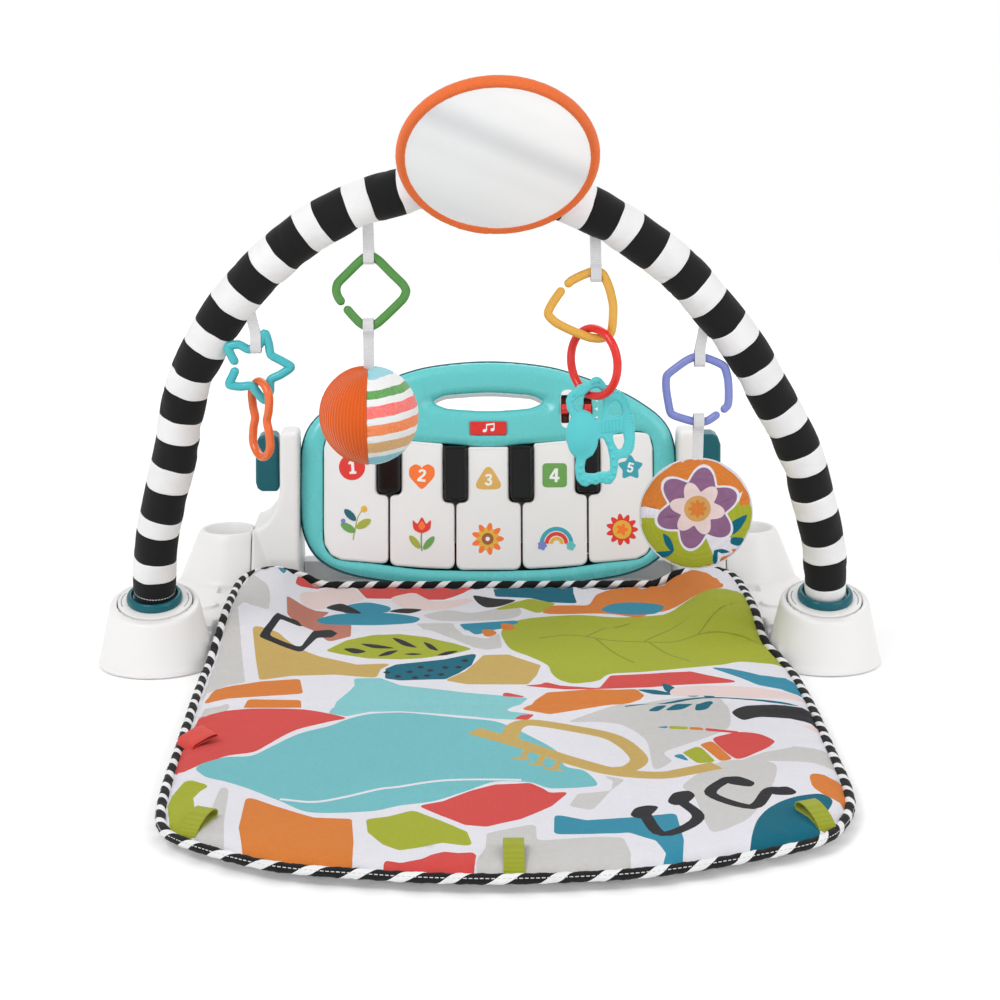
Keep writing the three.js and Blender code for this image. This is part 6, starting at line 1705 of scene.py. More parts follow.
def sleeve_radius(stations, line_x, line_up, phase):
    """Radius of the creased cloth at each station and angle.

    Angle 0 is the far side of the arch, half a turn the child's side and three quarters
    the inside of the bend.
    """
    along, around = np.meshgrid(stations, np.arange(SLEEVE_SIDES + 1) / SLEEVE_SIDES * 2 * math.pi,
                                indexing="ij")
    tangent = np.stack([np.gradient(line_x), np.gradient(line_up)], 1)
    tangent /= np.linalg.norm(tangent, axis=1)[:, None]
    curvature = np.gradient(np.unwrap(np.arctan2(tangent[:, 1], tangent[:, 0])), stations)
    bend = np.convolve(np.pad(np.abs(curvature), 20, mode="edge"), np.ones(41) / 41, "valid")
    bend = np.clip(bend / 0.0035, 0, 1.4)[:, None]
    inner = 0.5 - 0.5 * np.cos(around - math.pi / 2)  # 1 on the inside of the bend

    def noise(cell, seed):
        return value_noise(along, around * 19.4, cell, seed)

    def folds(cell, seed):
        return value_noise(along, around * 19, cell, seed)

    wrinkle = (np.sin(along / 7.3 + 1.3 * np.sin(along / 41)) * 0.5
               + np.sin(along / 4.4 + 2.1 * np.sin(along / 29 + 1)) * 0.35)
    pucker = np.abs(np.sin(along / 9.1 + 0.8 * np.sin(along / 33))) ** 0.6
    diagonal = np.sin(along / 8.5 + 2.2 * around + 1.7 * folds(60, 11))
    slack = value_noise(along + 9 * np.sin(around), around * 19.4 + along * 0.35, 15, 17)
    crease = np.exp(-(np.sin(along / 8.6 + around + 1.7 * folds(44, 23)) / 0.26) ** 2)
    to_start = np.minimum(phase % 1, 1 - phase % 1)
    radius = (SLEEVE_RADIUS + 0.35 * noise(26, 5) + 0.3 * noise(12, 6)
              + bend * inner**3 * (1.25 * wrinkle)
              + (0.35 + bend * inner**1.5) * 0.62 * diagonal
              + 0.34 * np.clip(slack, -1, 1) * (0.5 + bend)
              - 1.0 * crease * np.sin(around / 2) ** 0.7
              * np.clip(0.25 + 1.3 * folds(31, 29), 0, 1) * (0.35 + bend * 0.5)
              # lengthwise seam inside the bend, then the seams between stripes
              - 0.55 * np.exp(-((around - math.pi * 1.5) / 0.10) ** 2) * (0.6 + 0.4 * pucker)
              - 0.25 * np.exp(-((phase % 1 - 0.57) / 0.03) ** 2)[:, None]
              - 0.25 * np.exp(-(to_start / 0.03) ** 2)[:, None])
    # the cloth bulges little, and creases inwards
    radius = np.where(radius > 19.3, 19.3 + (radius - 19.3) * 0.3, radius)
    to_end = np.minimum(stations - SLEEVE_END, ARCH_LENGTH - SLEEVE_END - stations)
    radius = radius - 2.4 * np.exp(-to_end / 3.0)[:, None]
    radius[:, -1] = radius[:, 0]
    return radius


def build_sleeve():
    stations = np.linspace(SLEEVE_END, ARCH_LENGTH - SLEEVE_END, 860)
    line_x, line_up = arch_at(stations)
    for _ in range(6):  # takes the small kinks out of the centreline
        line_x[1:-1] = (line_x[:-2] + 2 * line_x[1:-1] + line_x[2:]) / 4
        line_up[1:-1] = (line_up[:-2] + 2 * line_up[1:-1] + line_up[2:]) / 4
    centre = arch_pt(line_x, line_up)
    phase = np.interp(stations, STRIPE_AT, STRIPE_COUNT)
    radius = sleeve_radius(stations, line_x, line_up, phase)
    (verts, faces), uv = uv_tube(centre, 1.0, 1.0, SLEEVE_SIDES, up=ARCH_NORMAL, radial=radius,
                                 along=phase)
    # the sleeve turns in at both cuffs and closes on the tube
    columns = SLEEVE_SIDES + 1
    for row, end in ((0, centre[0]), (len(centre) - 1, centre[-1])):
        first, base = row * columns, len(verts)
        ring = verts[first:first + columns]
        verts = np.vstack([verts, end + (ring - end) * (12.2 / 17.0)])
        uv = np.vstack([uv, uv[first:first + columns]])
        for j in range(SLEEVE_SIDES):
            quad = [first + j, first + j + 1, base + j + 1, base + j]
            faces.append(quad if row else quad[::-1])
        cap = [base + j for j in range(SLEEVE_SIDES)]
        faces.append(cap if row else cap[::-1])
    weld(make("arch_cover", (verts, faces), "sleeve_stripes", "arch", "stripe_fabric",
              "arch_sleeve", uv=uv))


def build_collars():
    collar = lathe(round_profile(COLLAR, 1.2, 5), 72)
    for side, sign in (("left", -1), ("right", 1)):
        make(f"collar_{side}", collar, "dark_teal_shell", "arch", "dark_teal_shell",
             f"arch_plug_{side}", sharp=60,
             place=lambda v: arch_pt(sign * 303.2 + v[:, 0], v[:, 2], v[:, 1]))


# -------------------------------------------------------------------- mirror
FILM_RADIUS, RIM_RADIUS, RIM_POINTS, RIM_SIDES = 74.6, 76.9, 360, 24
BAND_RADIUS, BAND_INNER, BAND_HALF, BAND_ROWS, BAND_SIDES = 21.3, 20.2, 15, 15, 64


def build_mirror():
    front = [[r, 1.2 * (r / FILM_RADIUS) ** 2 - 0.4] for r in np.linspace(0, FILM_RADIUS, 15)]
    verts, faces = lathe(front + [[FILM_RADIUS, 2.3], [0, 2.3]], 96, "y")
    x, y, z = verts.T
    waves = 0.5 * value_noise(x, z, 34, 8) * (1 - (np.hypot(x, z) / 76) ** 2)
    verts[:, 1] = np.where(y < 1.9, y + waves, y)  # uneven on the front only
    make("mirror_sheet", (verts, faces), "mirror_film", "mirror", "mirror_film", "mirror_film",
         place=mirror_pt, sharp=50)
    pad = [[0, 2.5], [73.6, 2.5], [73.6, 8.0], [60, 9.6], [0, 10.2]]
    make("mirror_back_cloth", lathe(round_profile(pad, 1.5, 3), 96, "y"), "backing_cloth",
         "mirror", "white_webbing", "mirror_pad", place=mirror_pt, sharp=50)


def build_mirror_rim():
    """Flattened roll with a stitch line pressed into its front near the inner edge."""
    angle = np.linspace(0, 2 * math.pi, RIM_POINTS + 1)[:-1]
    path = np.stack([RIM_RADIUS * np.cos(angle), 4.4 + 0 * angle, RIM_RADIUS * np.sin(angle)], 1)
    section = np.arange(RIM_SIDES + 1) / RIM_SIDES * 2 * math.pi
    radial = np.ones((RIM_POINTS + 1, RIM_SIDES + 1))
    radial += 0.012 * rng.standard_normal((RIM_POINTS + 1, 1))
    radial -= 0.16 * np.exp(-((section - 0.92 * math.pi) / 0.16) ** 2)[None]
    # thicker over one short stretch
    closed = np.r_[angle, angle[0]]
    overlap = 0.10 * (closed > 4.30) * (closed < 4.62)
    radial += overlap[:, None] * np.exp(-((section - math.pi) / 1.3) ** 2)[None]
    radial[-1] = radial[0]
    radial[:, -1] = radial[:, 0]
    tube, uv = uv_tube(path, 5.4, 4.4, RIM_SIDES, True, radial=radial)
    weld(make("mirror_rim", tube, "orange_binding", "mirror", "orange_fabric", "mirror_binding",
              place=mirror_pt, uv=uv))


def build_mirror_band():
    """Band round the top of the arch."""
    middle = ARCH_LENGTH / 2
    centre = arch_pt(*arch_at(np.linspace(middle - BAND_HALF, middle + BAND_HALF, BAND_ROWS)))
    (outer, faces), uv = uv_tube(centre, BAND_RADIUS, BAND_RADIUS, BAND_SIDES, up=ARCH_NORMAL)
    columns = BAND_SIDES + 1
    axis = centre.repeat(columns, axis=0)
    inner = axis + (outer - axis) * (BAND_INNER / BAND_RADIUS)
    count = len(outer)
    faces = faces + [[i + count for i in face[::-1]] for face in faces]
    for j in range(BAND_SIDES):
        faces.append([j + 1, count + j + 1, count + j, j])
        k = (BAND_ROWS - 1) * columns + j
        faces.append([count + k, count + k + 1, k + 1, k])
    weld(make("mirror_band", (np.vstack([outer, inner]), faces), "white_webbing", "mirror",
              "white_webbing", "mirror_strap", uv=np.vstack([uv, uv])))


# ------------------------------------------------------------------- hangers
# strap: where webbing hangs round a link's top bar; outline: centreline of the link (x, z);
# gap: its opening
HANGERS = {
    "star": dict(
        y=-78, strap=dict(x_top=-203, x=-198.2, z_loop=304.9, half=8.3, z_top=334),
        plastic="aqua_plastic", radius=3.8, gap=(-215.3, 286.2),
        outline=[[-195.4, 304.1], [-190.6, 313.8], [-187.5, 305.1], [-185.8, 295.5],
                 [-177.3, 290.4], [-169.3, 285.0], [-177.8, 278.6], [-186.5, 274.1],
                 [-187.5, 264.4], [-191.7, 256.7], [-196.5, 260.8], [-202.8, 268.7],
                 [-212.1, 268.3], [-221.6, 270.0], [-218.2, 278.1], [-215.3, 286.2],
                 [-219.3, 294.9], [-221.6, 302.6], [-212.6, 304.1], [-204.4, 300.2]]),
    "diamond": dict(
        y=-92, strap=dict(x_top=-101.9, x=-101.5, z_loop=380.8, half=7.3, z_top=412),
        plastic="green_plastic", radius=3.8, gap=(-122.4, 339.4),
        outline=[[-101.3, 381.2], [-93.5, 377.0], [-83.0, 366.4], [-73.5, 356.9],
                 [-70.8, 351.1], [-73.5, 344.7], [-83.5, 334.7], [-94.6, 324.6],
                 [-102.6, 321.1], [-110.2, 325.1], [-118.9, 334.7], [-126.9, 345.3],
                 [-128.9, 351.6], [-127.4, 358.0], [-119.1, 366.4], [-109.1, 376.0]]),
    "triangle": dict(
        y=-92, strap=dict(x_top=86.4, x=87.4, z_loop=366.2, half=7.6, z_top=402),
        plastic="mustard_plastic", radius=3.8, gap=(61.5, 354.4),
        outline=[[87.1, 367.9], [93.4, 364.7], [98.5, 353.9], [101.9, 339.8], [101.9, 325.8],
                 [100.2, 315.5], [92.8, 311.3], [82.6, 312.0], [66.6, 318.2], [54.1, 324.7],
                 [47.7, 331.7], [50.7, 339.8], [58.1, 350.6], [66.6, 359.3], [76.9, 364.7]]),
    "hexagon": dict(
        y=-72, strap=dict(x_top=181.4, x=177.4, z_loop=291, half=7.6, z_top=322),
        plastic="periwinkle_plastic", radius=3.5, gap=(195.8, 243.9),
        outline=[[175.6, 292.5], [186.8, 289.6], [198.1, 283.8], [201.9, 272.8],
                 [202.9, 260.1], [202.1, 249.7], [193.6, 242.3], [185.7, 236.8],
                 [177.6, 235.2], [165.5, 238.2], [154.2, 242.8], [151.1, 254.3],
                 [149.3, 265.9], [149.8, 275.7], [157.6, 282.6], [166.6, 289.0]]),
}


def hanger_loop(y, x_top, x, z_loop, half, z_top, flip=False):
    """Webbing round a bar, its two ends together above it, or below it if flipped."""
    bar = half - 0.6
    span = z_top - z_loop
    side = [(0.75, span), (0.8, bar + 2.5 + (span - bar - 2.5) * 0.45), (1.6, bar + 2.5),
            (4.2, bar - 2.0), (5.2, 2.5), (5.1, -bar + 3.6), (3.6, -bar + 0.9)]
    points = []
    for out, up in side + [(0.0, -bar)] + [(-out, up) for out, up in side[::-1]]:
        share = np.clip((up - bar) / (span - bar), 0, 1)
        points.append([x + (x_top - x) * share, y + out, z_loop + up])
    path = catmull(points, False, 6)
    if flip:
        path[:, 2] = 2 * z_loop - path[:, 2]
    return ribbon(path, (1, 0, 0), 9.0, 1.1)


def toy_link(outline, y, gap, radius):
    """Bar along the outline with rounded ends at the gap."""
    line = resample(catmull(outline, True, 14, 0.35), 420)
    start = int(np.argmin((line[:, 0] - gap[0]) ** 2 + (line[:, 1] - gap[1]) ** 2))
    line = np.roll(line, -start, 0)
    step = np.linalg.norm(line[1] - line[0])
    cut = max(1, int(round(1.0 / step)))
    line = line[cut:-cut]
    path = np.column_stack([line[:, 0], np.full(len(line), y), line[:, 1]])
    along = np.arange(len(line)) * step
    to_end = np.minimum(along, along[-1] - along)
    dome = np.sqrt(np.maximum(0.0, 1 - (1 - np.clip(to_end / radius, 0.02, 1)) ** 2))
    return sweep(path, radius * dome, radius * dome, 24)


def build_hangers():
    for name, h in HANGERS.items():
        make(f"strap_{name}", hanger_loop(h["y"], **h["strap"]), "white_webbing",
             f"{name}_hanger", "white_webbing", f"hanger_strap_{name}", sharp=40)
    for name, h in HANGERS.items():
        make(f"link_{name}", toy_link(h["outline"], h["y"], h["gap"], h["radius"]),
             h["plastic"], f"{name}_hanger", h["plastic"], f"{name}_link", sharp=70)


PEANUT_H, PEANUT_W, ROUND_RING = 32.8, 15, 28.6  # half height, half width; radius


def build_rings():
    high, wide = PEANUT_H, PEANUT_W
    line = catmull([[0, high], [9, high - 3.2], [wide, high - 11], [13.8, 9.5], [10.4, 0],
                    [13.8, -9.5], [wide, 11 - high], [9, 3.2 - high], [0, -high],
                    [-9, 3.2 - high], [-wide, 11 - high], [-13.8, -9.5], [-10.4, 0],
                    [-13.8, 9.5], [-wide, high - 11], [-9, high - 3.2]], True, 12)
    line = resample(line, 240)
    path = np.column_stack([line[:, 0], 0 * line[:, 0], line[:, 1]])
    make("ring_peanut", sweep(path, 3.7, 3.4, 24, True), "orange_plastic", "peanut",
         "orange_plastic", "peanut_ring", place=lambda v: turn_z(v, -56, (-195.6, -78, 240.0)))
    angle = np.linspace(0, 2 * math.pi, 201)[:-1]
    path = np.stack([ROUND_RING * np.cos(angle), 0 * angle, ROUND_RING * np.sin(angle)], 1)
    make("ring_round", sweep(path, 3.7, 3.5, 24, True), "red_plastic", "ring", "red_plastic",
         "round_ring", place=lambda v: turn_z(v, -50, (86.5, -92, 290.9)))


# ------------------------------------------ teether, about its own origin: x, z
TEETHER_AT = (86.5, -92, 263.6)
TEETHER_OUTLINE = fillet([
    [-3.97974, 10.13025], [-1.44718, 13.74819], [2.53256, 15.19537], [6.5123, 13.3864],
    [10.13025, 8.68307], [11.21563, 3.25615], [15.55716, 2.67728], [21.34588, 2.17077],
    [26.77279, -2.53256], [30.39074, -10.49204], [32.56151, -20.62229], [34.00868, -30.75253],
    [34.5152, -39.4356], [32.9233, -48.84226], [28.58177, -54.26918], [21.34588, -55.71635],
    [21.49059, -62.59045], [19.5369, -71.99711], [15.55716, -77.6411], [10.49204, -77.6411],
    [6.8741, -75.97685], [2.53256, -78.36469], [-1.08538, -77.06223], [-5.42692, -79.95658],
    [-10.13025, -78.50941], [-14.10999, -73.44428], [-15.55716, -63.31404],
    [-14.10999, -54.63097], [-19.17511, -48.84226], [-22.79305, -37.98842],
    [-22.06946, -27.85818], [-18.45152, -19.8987], [-22.43126, -12.66281],
    [-23.51664, -5.42692], [-20.98408, 1.08538], [-15.55716, 4.34153], [-13.3864, 7.95948],
    [-8.68307, 8.90014]], 3.0, 4)
TEETHER_HOLES = [
    [[-16.13603, -6.15051], [-13.3864, -2.53256], [-9.04486, -1.2301], [-5.06512, 1.66425],
     [-1.08538, 4.99276], [3.25615, 5.86107], [7.23589, 2.53256], [7.7424, -6.15051],
     [6.8741, -22.06946], [1.80897, -22.79305], [-2.53256, -17.00434], [-7.59768, -13.74819],
     [-12.66281, -15.41245], [-15.55716, -11.93922]],
    [[13.3864, -8.32127], [18.45152, -4.70333], [22.43126, -8.32127], [24.8191, -17.00434],
     [13.0246, -19.5369]],
    [[15.91896, -34.73227], [25.32562, -32.56151], [26.411, -40.88278], [24.60203, -46.67149],
     [21.34588, -48.11867], [18.08973, -42.32996]],
    [[-6.15051, -55.71635], [-0.36179, -52.4602], [3.25615, -45.22431], [4.34153, -38.13314],
     [8.32127, -37.26483], [11.93922, -45.22431], [14.10999, -55.35456], [14.68886, -66.57019],
     [9.76845, -67.0767], [5.42692, -67.29378], [1.08538, -68.74096], [-6.5123, -68.37916],
     [-7.23589, -62.59045]],
]
# line of bumps down the right edge
TEETHER_EDGE = [[14.83357, 2.53256], [21.34588, 1.66425], [26.411, -2.89436],
                [30.02894, -10.85384], [32.19971, -20.62229], [33.64689, -30.75253],
                [34.00868, -39.4356], [32.56151, -48.11867], [28.21997, -53.54559]]
TEETHER_DOMES = [[-10.49204, -61.14327], [-11.21563, -66.93198], [-8.68307, -73.08249],
                 [-3.25615, -74.89146], [2.53256, -73.08249], [8.32127, -71.63531],
                 [14.83357, -72.3589], [18.08973, -67.65557], [18.08973, -61.14327],
                 [16.64255, -53.90738], [14.83357, -46.67149], [12.66281, -40.15919],
                 [-1.08538, 10.49204], [3.25615, 11.57742], [-18.45152, -4.70333],
                 [-17.00434, 0.36179]]
LOBE_X, LOBE_Z, LOBE_TURN = -9.40666, -34.73227, -6 * RAD
# ribs across the middle bar: first place, and step to the next
RIB_X, RIB_DX, RIB_Z, RIB_DZ = 8.321274, 3.039074, -27.279305, 0.434153


def build_teether():
    step, rounding = 0.55, 2.2
    grid = axes((-25.5, -7.6, -82), (36.5, 7.6, 17), step)
    x, z = np.meshgrid(grid[0], grid[2], indexing="ij")
    y = grid[1][None, :, None]
    holes = np.minimum.reduce([poly_dist(x, z, fillet(hole, 2.6, 4)) for hole in TEETHER_HOLES])
    plan = deep(smax(poly_dist(x, z, TEETHER_OUTLINE), -holes, 1.0)) + rounding
    depth = np.abs(y) - 3.3 + rounding
    f = (np.minimum(np.maximum(plan, depth), 0)
         + np.sqrt(np.maximum(plan, 0) ** 2 + np.maximum(depth, 0) ** 2) - rounding)
    # oval lobe on the left
    cos, sin = math.cos(LOBE_TURN), math.sin(LOBE_TURN)
    off_x, off_z = deep(x - LOBE_X), deep(z - LOBE_Z)
    turned_x, turned_z = off_x * cos + off_z * sin, -off_x * sin + off_z * cos
    lobe = np.sqrt((turned_x / 12.6) ** 2 + (y / 7.0) ** 2 + (turned_z / 20.0) ** 2) - 1
    f = smin(f, lobe * 7.5, 2.0)
    for i in range(7):
        rib = np.sqrt(deep((x - (RIB_X + i * RIB_DX)) ** 2) + (np.abs(y) - 3.2) ** 2) - 1.15
        rib = np.maximum(rib, deep(np.abs(z - (RIB_Z + i * RIB_DZ))) - 5.2)
        f = smin(f, rib, 0.6)
    for bump_x, bump_z in resample(centripetal(TEETHER_EDGE), 26, False):
        r2 = deep((x - bump_x) ** 2 + (z - bump_z) ** 2)
        f = smin(f, np.sqrt(r2 + (y * 0.45) ** 2) - 1.7, 0.4)
    for dome_x, dome_z in TEETHER_DOMES:
        r2 = deep((x - dome_x) ** 2 + (z - dome_z) ** 2)
        f = smin(f, np.sqrt(r2 + (np.abs(y) - 3.1) ** 2) - 1.5, 0.3)
    make("teether_toy_body", surface(f, grid, step), "teether_soft_plastic", "teether_toy",
         "aqua_plastic", "teether", shift=TEETHER_AT)


# ----------------------------------------------------------------- soft ball
BALL_RADIUS, BALL_AT = 42.0, (-103, -92, 246)
BALL_ROWS, BALL_COLUMNS = 110, 253


def half_ball(left):
    """Half of the ball; its upright seam faces the child (longitude -90) and away (90)."""
    polar, longitude = np.meshgrid(np.linspace(0.0001, math.pi - 0.0001, BALL_ROWS),
                                   np.linspace(-math.pi / 2, math.pi / 2, BALL_COLUMNS),
                                   indexing="ij")
    to_seam = (np.minimum(longitude + math.pi / 2, math.pi / 2 - longitude)
               * np.sin(polar) * BALL_RADIUS)
    r = BALL_RADIUS - 0.9 * np.exp(-to_seam / 1.6)
    if left:
        r = (r + 0.16 * np.sin(longitude * BALL_RIBS) * np.sin(polar) ** 0.5
             + 0.5 * value_noise(polar * 40, longitude * 40, 24, 21))
    else:
        height = np.cos(polar) * BALL_RADIUS
        pucker = np.sin(height * 1.15 + 1.5 * np.sin(height / 7))
        r = (r + np.exp(-to_seam / 7) * 0.45 * pucker
             + 0.35 * value_noise(polar * 40, longitude * 40, 17, 22))
    # dimples at the top and the bottom
    r = r - 1.6 * np.exp(-(polar / 0.16) ** 2) - 1.0 * np.exp(-((math.pi - polar) / 0.14) ** 2)
    x = (-1 if left else 1) * np.cos(longitude) * np.sin(polar) * r
    y = np.sin(longitude) * np.sin(polar) * r
    z = np.cos(polar) * r
    faces = grid_faces(BALL_ROWS, BALL_COLUMNS)[:, [0, 3, 2, 1]]
    if left:
        faces = faces[:, ::-1]
    tilt = 0 if left else 0.055  # the stripes slope a little
    uv = np.stack([longitude.ravel() / (2 * math.pi),
                   0.5 + 0.5 * (z / BALL_RADIUS).ravel() * 0.992
                   - tilt * ((x / BALL_RADIUS).ravel() - 0.5)], 1)
    return (np.stack([x, y, z], -1).reshape(-1, 3), faces.tolist()), uv


def build_ball():
    left, left_uv = half_ball(True)
    right, right_uv = half_ball(False)
    weld(make("plush_ball", join(left, right), ["ball_corduroy", "ball_stripes"], "ball",
              "orange_fabric", "soft_ball", face_slots=[0] * len(left[1]) + [1] * len(right[1]),
              uv=np.vstack([left_uv, right_uv]), shift=BALL_AT), 4e-6)
    strap = hanger_loop(-92, x_top=-102.6, x=-102.6, z_loop=321.6, half=7.1, z_top=321.6 + 37,
                        flip=True)
    make("plush_ball_strap", strap, "white_webbing", "ball", "white_webbing", sharp=40)


# ---------------------------------------------------------------- plush disc
DISC_RADIUS, DISC_AT = 48.5, (177, -72, 155)
BLOOM_X, BLOOM_Z = 0.4, 6.2


def fan(start, end):
    """Part of a ring between two directions, in degrees."""
    angle = np.linspace(start * RAD, end * RAD, 34)
    inner, outer = 6.0, 47.4
    return np.vstack([np.stack([outer * np.cos(angle), outer * np.sin(angle)], 1),
                      np.stack([inner * np.cos(angle[::-1]), inner * np.sin(angle[::-1])], 1)])


def bloom(inner, outer, lobes=6, count=120, turn=0.35):
    return petals(BLOOM_X, BLOOM_Z, inner, outer, lobes, count, turn)


# Rows as in MAT_PRINT, with x, z about the disc's centre; kind None is a finished outline.
DISC_PRINT = [
    ("orange", None, fan(27, 171)),
    ("lime", None, fan(184, 293)),
    ("lime", None, fan(-34, 18)),
    ("orange", "s", [-47.7116, 5.8274, -44.7979, 17.4821, -36.0568, 31.3221, -23.6737, 41.52,
        -13.4758, 47.3474, -16.3895, 40.7916, -30.2295, 29.8653, -36.0568, 21.1242,
        -36.7853, 13.84]),
    ("orange", "s", [-11.6547, 45.8905, -3.2779, 49.5326, 7.6484, 48.8042, 18.5747, 44.4337,
        27.3158, 38.2421, 22.2168, 37.1495, 14.9326, 41.8842, 1.0926, 45.8905]),
    ("orange", "c", [41.1558, 24.0379, 44.7979, 17.4821, 47.3474, 8.7411, 35.6926, 8.0126,
        36.7853, 13.1116]),
    ("lime", "s", [-47.3474, -10.1979, -41.1558, -7.6484, -30.2295, -9.4695, -23.6737, -15.2968,
        -16.3895, -23.3095, -19.3032, -28.4084, -23.6737, -32.0505, -32.4147, -32.0505,
        -41.1558, -24.7663]),
    ("darkteal", "s", [-28.7726, -16.3895, -23.6737, -18.9389, -20.0316, -25.4947,
        -18.9389, -32.0505, -22.2168, -31.3221, -26.5874, -25.4947]),
    ("darkteal", "s", [-34.9642, -34.2358, -28.7726, -32.7789, -19.3032, -31.6863,
        -22.9453, -36.7853, -28.7726, -38.6063]),
    ("lime", "s", [-21.4884, -44.4337, -19.3032, -37.1495, -13.4758, -29.1368, -4.7347, -34.9642,
        4.0063, -37.1495, 9.1053, -41.52, 4.0063, -48.8042, -9.1053, -49.5326]),
    ("lime", "s", [29.5011, -10.1979, 31.6863, 0, 37.5137, 4.3705, 47.7116, 5.8274,
        48.44, -6.5558, 46.2547, -13.84, 38.9705, -19.6674, 30.9579, -18.2105]),
    ("darkteal", "s", [28.0442, -11.6547, 31.6863, -5.0989, 43.3411, -0.3642, 41.8842, -6.5558,
        36.0568, -14.5684, 30.2295, -17.4821]),
    ("darkteal", "c", [30.2295, -19.3032, 43.3411, -21.4884, 38.9705, -29.5011,
        29.1368, -25.4947]),
    ("darkteal", "s", [16.3895, -31.3221, 22.9453, -30.2295, 29.5011, -33.5074, 22.9453, -34.6,
        19.3032, -33.1432, 19.3032, -41.52, 17.1179, -45.1621, 14.9326, -40.7916,
        15.2968, -34.2358]),
    ("orange", "c", [21.8526, -37.8779, 28.7726, -36.7853, 33.1432, -34.2358, 30.5937, -30.5937,
        37.5137, -31.6863, 29.5011, -41.52, 21.4884, -44.4337]),
    ("orange", "c", [7.6484, -48.0758, 11.2905, -43.7053, 14.5684, -46.2547, 11.2905, -49.5326]),
    # a plain bloom
    ("white", None, bloom(26.5, 38.5)),
    ("mauve", None, bloom(24.0, 36.0)),
    ("pink", None, bloom(15.0, 24.0, turn=0.35 + math.pi / 6)),
    ("tan", None, circle(BLOOM_X, BLOOM_Z, 11.5, 40)),
    ("orange", None, bloom(5.2, 8.2, lobes=8, count=80, turn=0.0)),
]


def puff(points, height):
    """Half thickness of the stuffed disc, with puckers round its edge."""
    x, z = points.T
    r, angle = np.hypot(x, z), np.arctan2(z, x)
    full = np.clip(1 - (r / DISC_RADIUS) ** 2.6, 0, 1) ** 0.55
    to_edge = DISC_RADIUS - r
    pucker = np.exp(-to_edge / 5.5) * np.clip(to_edge / 1.4, 0, 1)
    return (height * full + 0.5 * pucker * np.sin(angle * 37 + 1.4 * np.sin(angle * 5))
            + 0.5 * full * value_noise(r * np.cos(angle), r * np.sin(angle), 22, 31))


def build_disc():
    shapes = [points if kind is None else print_outline(kind, points)
              for _, kind, points in DISC_PRINT]
    rim = circle(0, 0, DISC_RADIUS, 150)
    front, front_faces, ids = regions(rim, 2.6, shapes, 1.0)
    back, back_faces, _ = regions(rim, 4.0, [], 1.5)
    cushion = both_faces(
        np.column_stack([front[:, 0], -puff(front, 8.6), front[:, 1]]), front_faces,
        np.column_stack([back[:, 0], puff(back, 7.6), back[:, 1]]), back_faces)
    slots = cloth_slots(DISC_PRINT, ids) + [CLOTH_SLOTS.index("print_tan")] * len(back_faces)
    weld(make("plush_disc", cushion, CLOTH_SLOTS, "disc", "orange_fabric", "soft_disc",
              face_slots=slots, shift=DISC_AT), 3e-5)
    angle = np.arange(300) / 300 * 2 * math.pi
    seam_r = DISC_RADIUS + 0.1
    path = np.stack([seam_r * np.cos(angle), 0 * angle, seam_r * np.sin(angle)], 1)
    make("plush_disc_seam", sweep(path, 0.9, 0.8, 10, True), "print_white", "disc",
         "orange_fabric", shift=DISC_AT)
    strap = hanger_loop(-72, x_top=177.6, x=177.6, z_loop=236, half=7.2, z_top=236 + 37,
                        flip=True)
    make("plush_disc_strap", strap, "white_webbing", "disc", "white_webbing", sharp=40)


# ------------------------------- parts kept as they come: node, material, slot
KEPT_PARTS = (
    ("base_crossbar", "white_shell", "white_shell"), ("key_bed", "white_shell", "white_shell"),
    ("key_hinge_rod", "steel_rod", "steel"), ("circuit_board", "circuit_board_green", "board"),
    ("speaker", "speaker_cone", "speaker_cone"), ("battery_1", "cell_wrap", "cell"),
    ("battery_2", "cell_wrap", "cell"), ("battery_3", "cell_wrap", "cell"),
    ("arch_tube_left", "tube_metal", "tube"), ("arch_tube_right", "tube_metal", "tube"),
    ("arch_connector", "white_shell", "white_shell"))


def dress_kept_parts():
    for node, material, slot in KEPT_PARTS:
        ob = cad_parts[node]
        ob.data.materials.clear()
        ob.data.materials.append(MATERIALS[material])


# ------------------------------------------------------- the stage, in metres
WORLD_LIGHT = 0.74  # world strength for all but camera rays
FLOOR_GLOW = 0.1  # floor emission near the origin
LAMP_GAIN = 1.45


def build_floor():
    """White floor that fades to pure white away from the origin."""
    m = Material("floor_paper")
    length = m.node("ShaderNodeVectorMath", operation="LENGTH")
    m.feed(length.inputs[0], m.node("ShaderNodeNewGeometry").outputs["Position"])
    far = m.remap(length.outputs["Value"], span=(0.9, 3.2), to=(0.0, 1.0))
    m.set(color=m.mix(m.noise(m.coord(), scale=3), linear("#F6F6F6"), linear("#FAFAFA")),
          rough=0.7, spec=0.1)
    m.bsdf.inputs["Emission Color"].default_value = (1, 1, 1, 1)
    m.feed(m.bsdf.inputs["Emission Strength"], m.remap(far, span=(0, 1), to=(FLOOR_GLOW, 1.0)))
    glow = m.node("ShaderNodeEmission")
    glow.inputs["Strength"].default_value = 1.0
    blend = m.node("ShaderNodeMixShader")
    for socket, output in zip(blend.inputs, (far, m.bsdf.outputs[0], glow.outputs[0])):
        m.feed(socket, output)
    m.feed(m.tree.nodes["Material Output"].inputs["Surface"], blend.outputs[0])
    bpy.ops.mesh.primitive_plane_add(size=90, location=(0, 1.0, -0.0006))
    floor = bpy.context.object
    floor.name = "stage_floor"
    floor.data.materials.append(MATERIALS["floor_paper"])


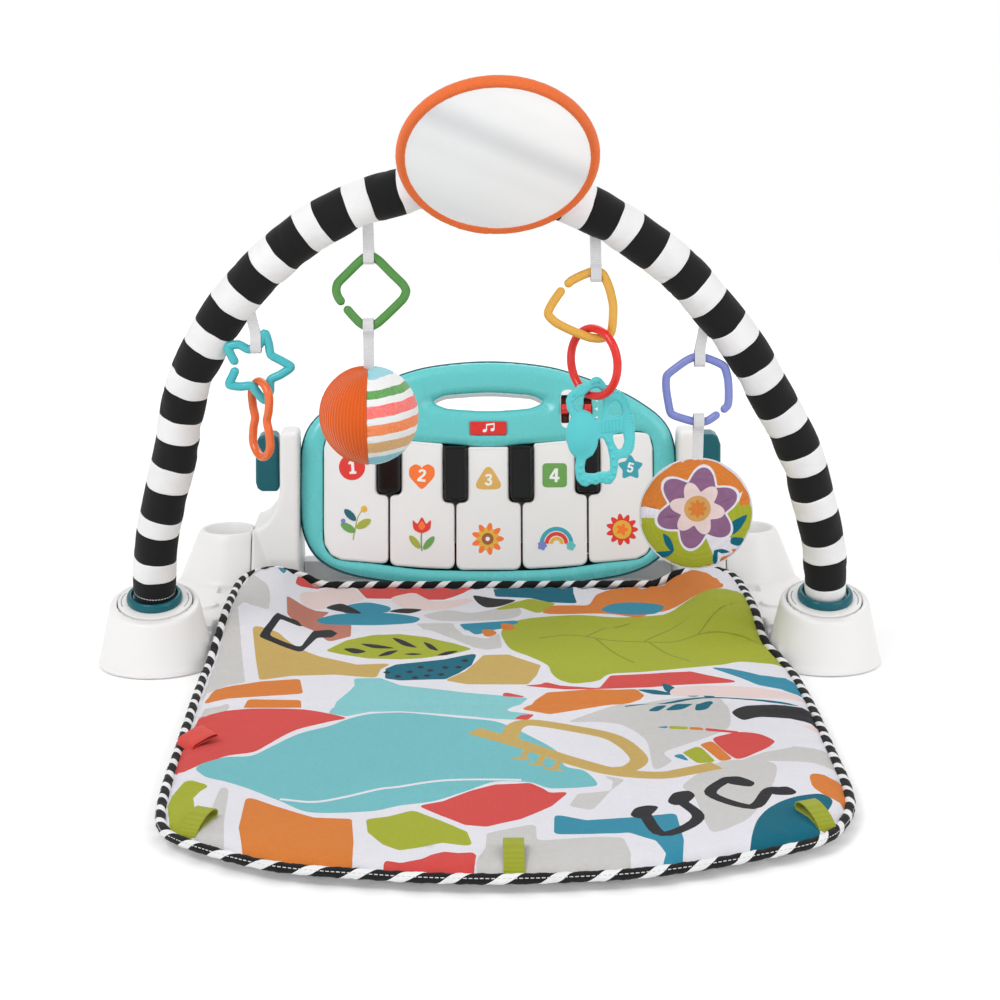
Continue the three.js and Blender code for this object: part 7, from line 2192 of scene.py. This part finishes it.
def build_world(scene):
    """White to the camera, dimmer as a light."""
    world = bpy.data.worlds.new("studio")
    scene.world = world
    world.use_nodes = True
    tree = world.node_tree
    background = tree.nodes["Background"]
    background.inputs[0].default_value = (1, 1, 1, 1)
    light_path = tree.nodes.new("ShaderNodeLightPath")
    strength = tree.nodes.new("ShaderNodeMapRange")
    strength.inputs["To Min"].default_value = WORLD_LIGHT
    strength.inputs["To Max"].default_value = 1.0
    tree.links.new(light_path.outputs["Is Camera Ray"], strength.inputs["Value"])
    tree.links.new(strength.outputs[0], background.inputs[1])


def add_lamp(scene, name, location, target, size, power):
    light = bpy.data.lights.new(name, "AREA")
    light.shape = "DISK"
    light.size = size
    light.energy = power * LAMP_GAIN
    ob = bpy.data.objects.new(name, light)
    ob.location = location
    aim = Vector(target) - Vector(location)
    ob.rotation_euler = aim.to_track_quat("-Z", "Y").to_euler()
    scene.collection.objects.link(ob)


def add_camera(scene):
    data = bpy.data.cameras.new("photo_camera")
    data.sensor_width = 36
    data.lens = 79.2
    data.clip_end = 50
    camera = bpy.data.objects.new("photo_camera", data)
    camera.location = (-0.0148, -1.9174, 0.602)
    pitch, yaw = 13.25 * RAD, 0.7 * RAD  # downwards, to the right
    aim = Vector((math.sin(yaw) * math.cos(pitch), math.cos(yaw) * math.cos(pitch),
                  -math.sin(pitch)))
    camera.rotation_euler = aim.to_track_quat("-Z", "Y").to_euler()
    scene.collection.objects.link(camera)
    scene.camera = camera


def build_stage():
    scene = bpy.context.scene
    build_floor()
    scene.view_settings.view_transform = "Standard"
    build_world(scene)
    add_lamp(scene, "key_light", location=(-1.3, -1.5, 2.3), target=(0, -0.05, 0.15), size=1.3,
             power=17)
    add_lamp(scene, "fill_light", location=(1.7, -1.3, 1.6), target=(0, 0, 0.15), size=1.6,
             power=7)
    add_lamp(scene, "back_light", location=(0.2, 2.0, 2.2), target=(0, 0, 0.2), size=1.6,
             power=8)
    add_camera(scene)


build_materials()
build_base()
build_piano_front()
build_piano_back()
build_piano_trim()
build_keys()
build_prints()
build_mat()
build_sleeve()
build_collars()
build_mirror()
build_mirror_rim()
build_mirror_band()
build_hangers()
build_rings()
build_teether()
build_ball()
build_disc()
dress_kept_parts()
build_stage()
bpy.context.view_layer.update()
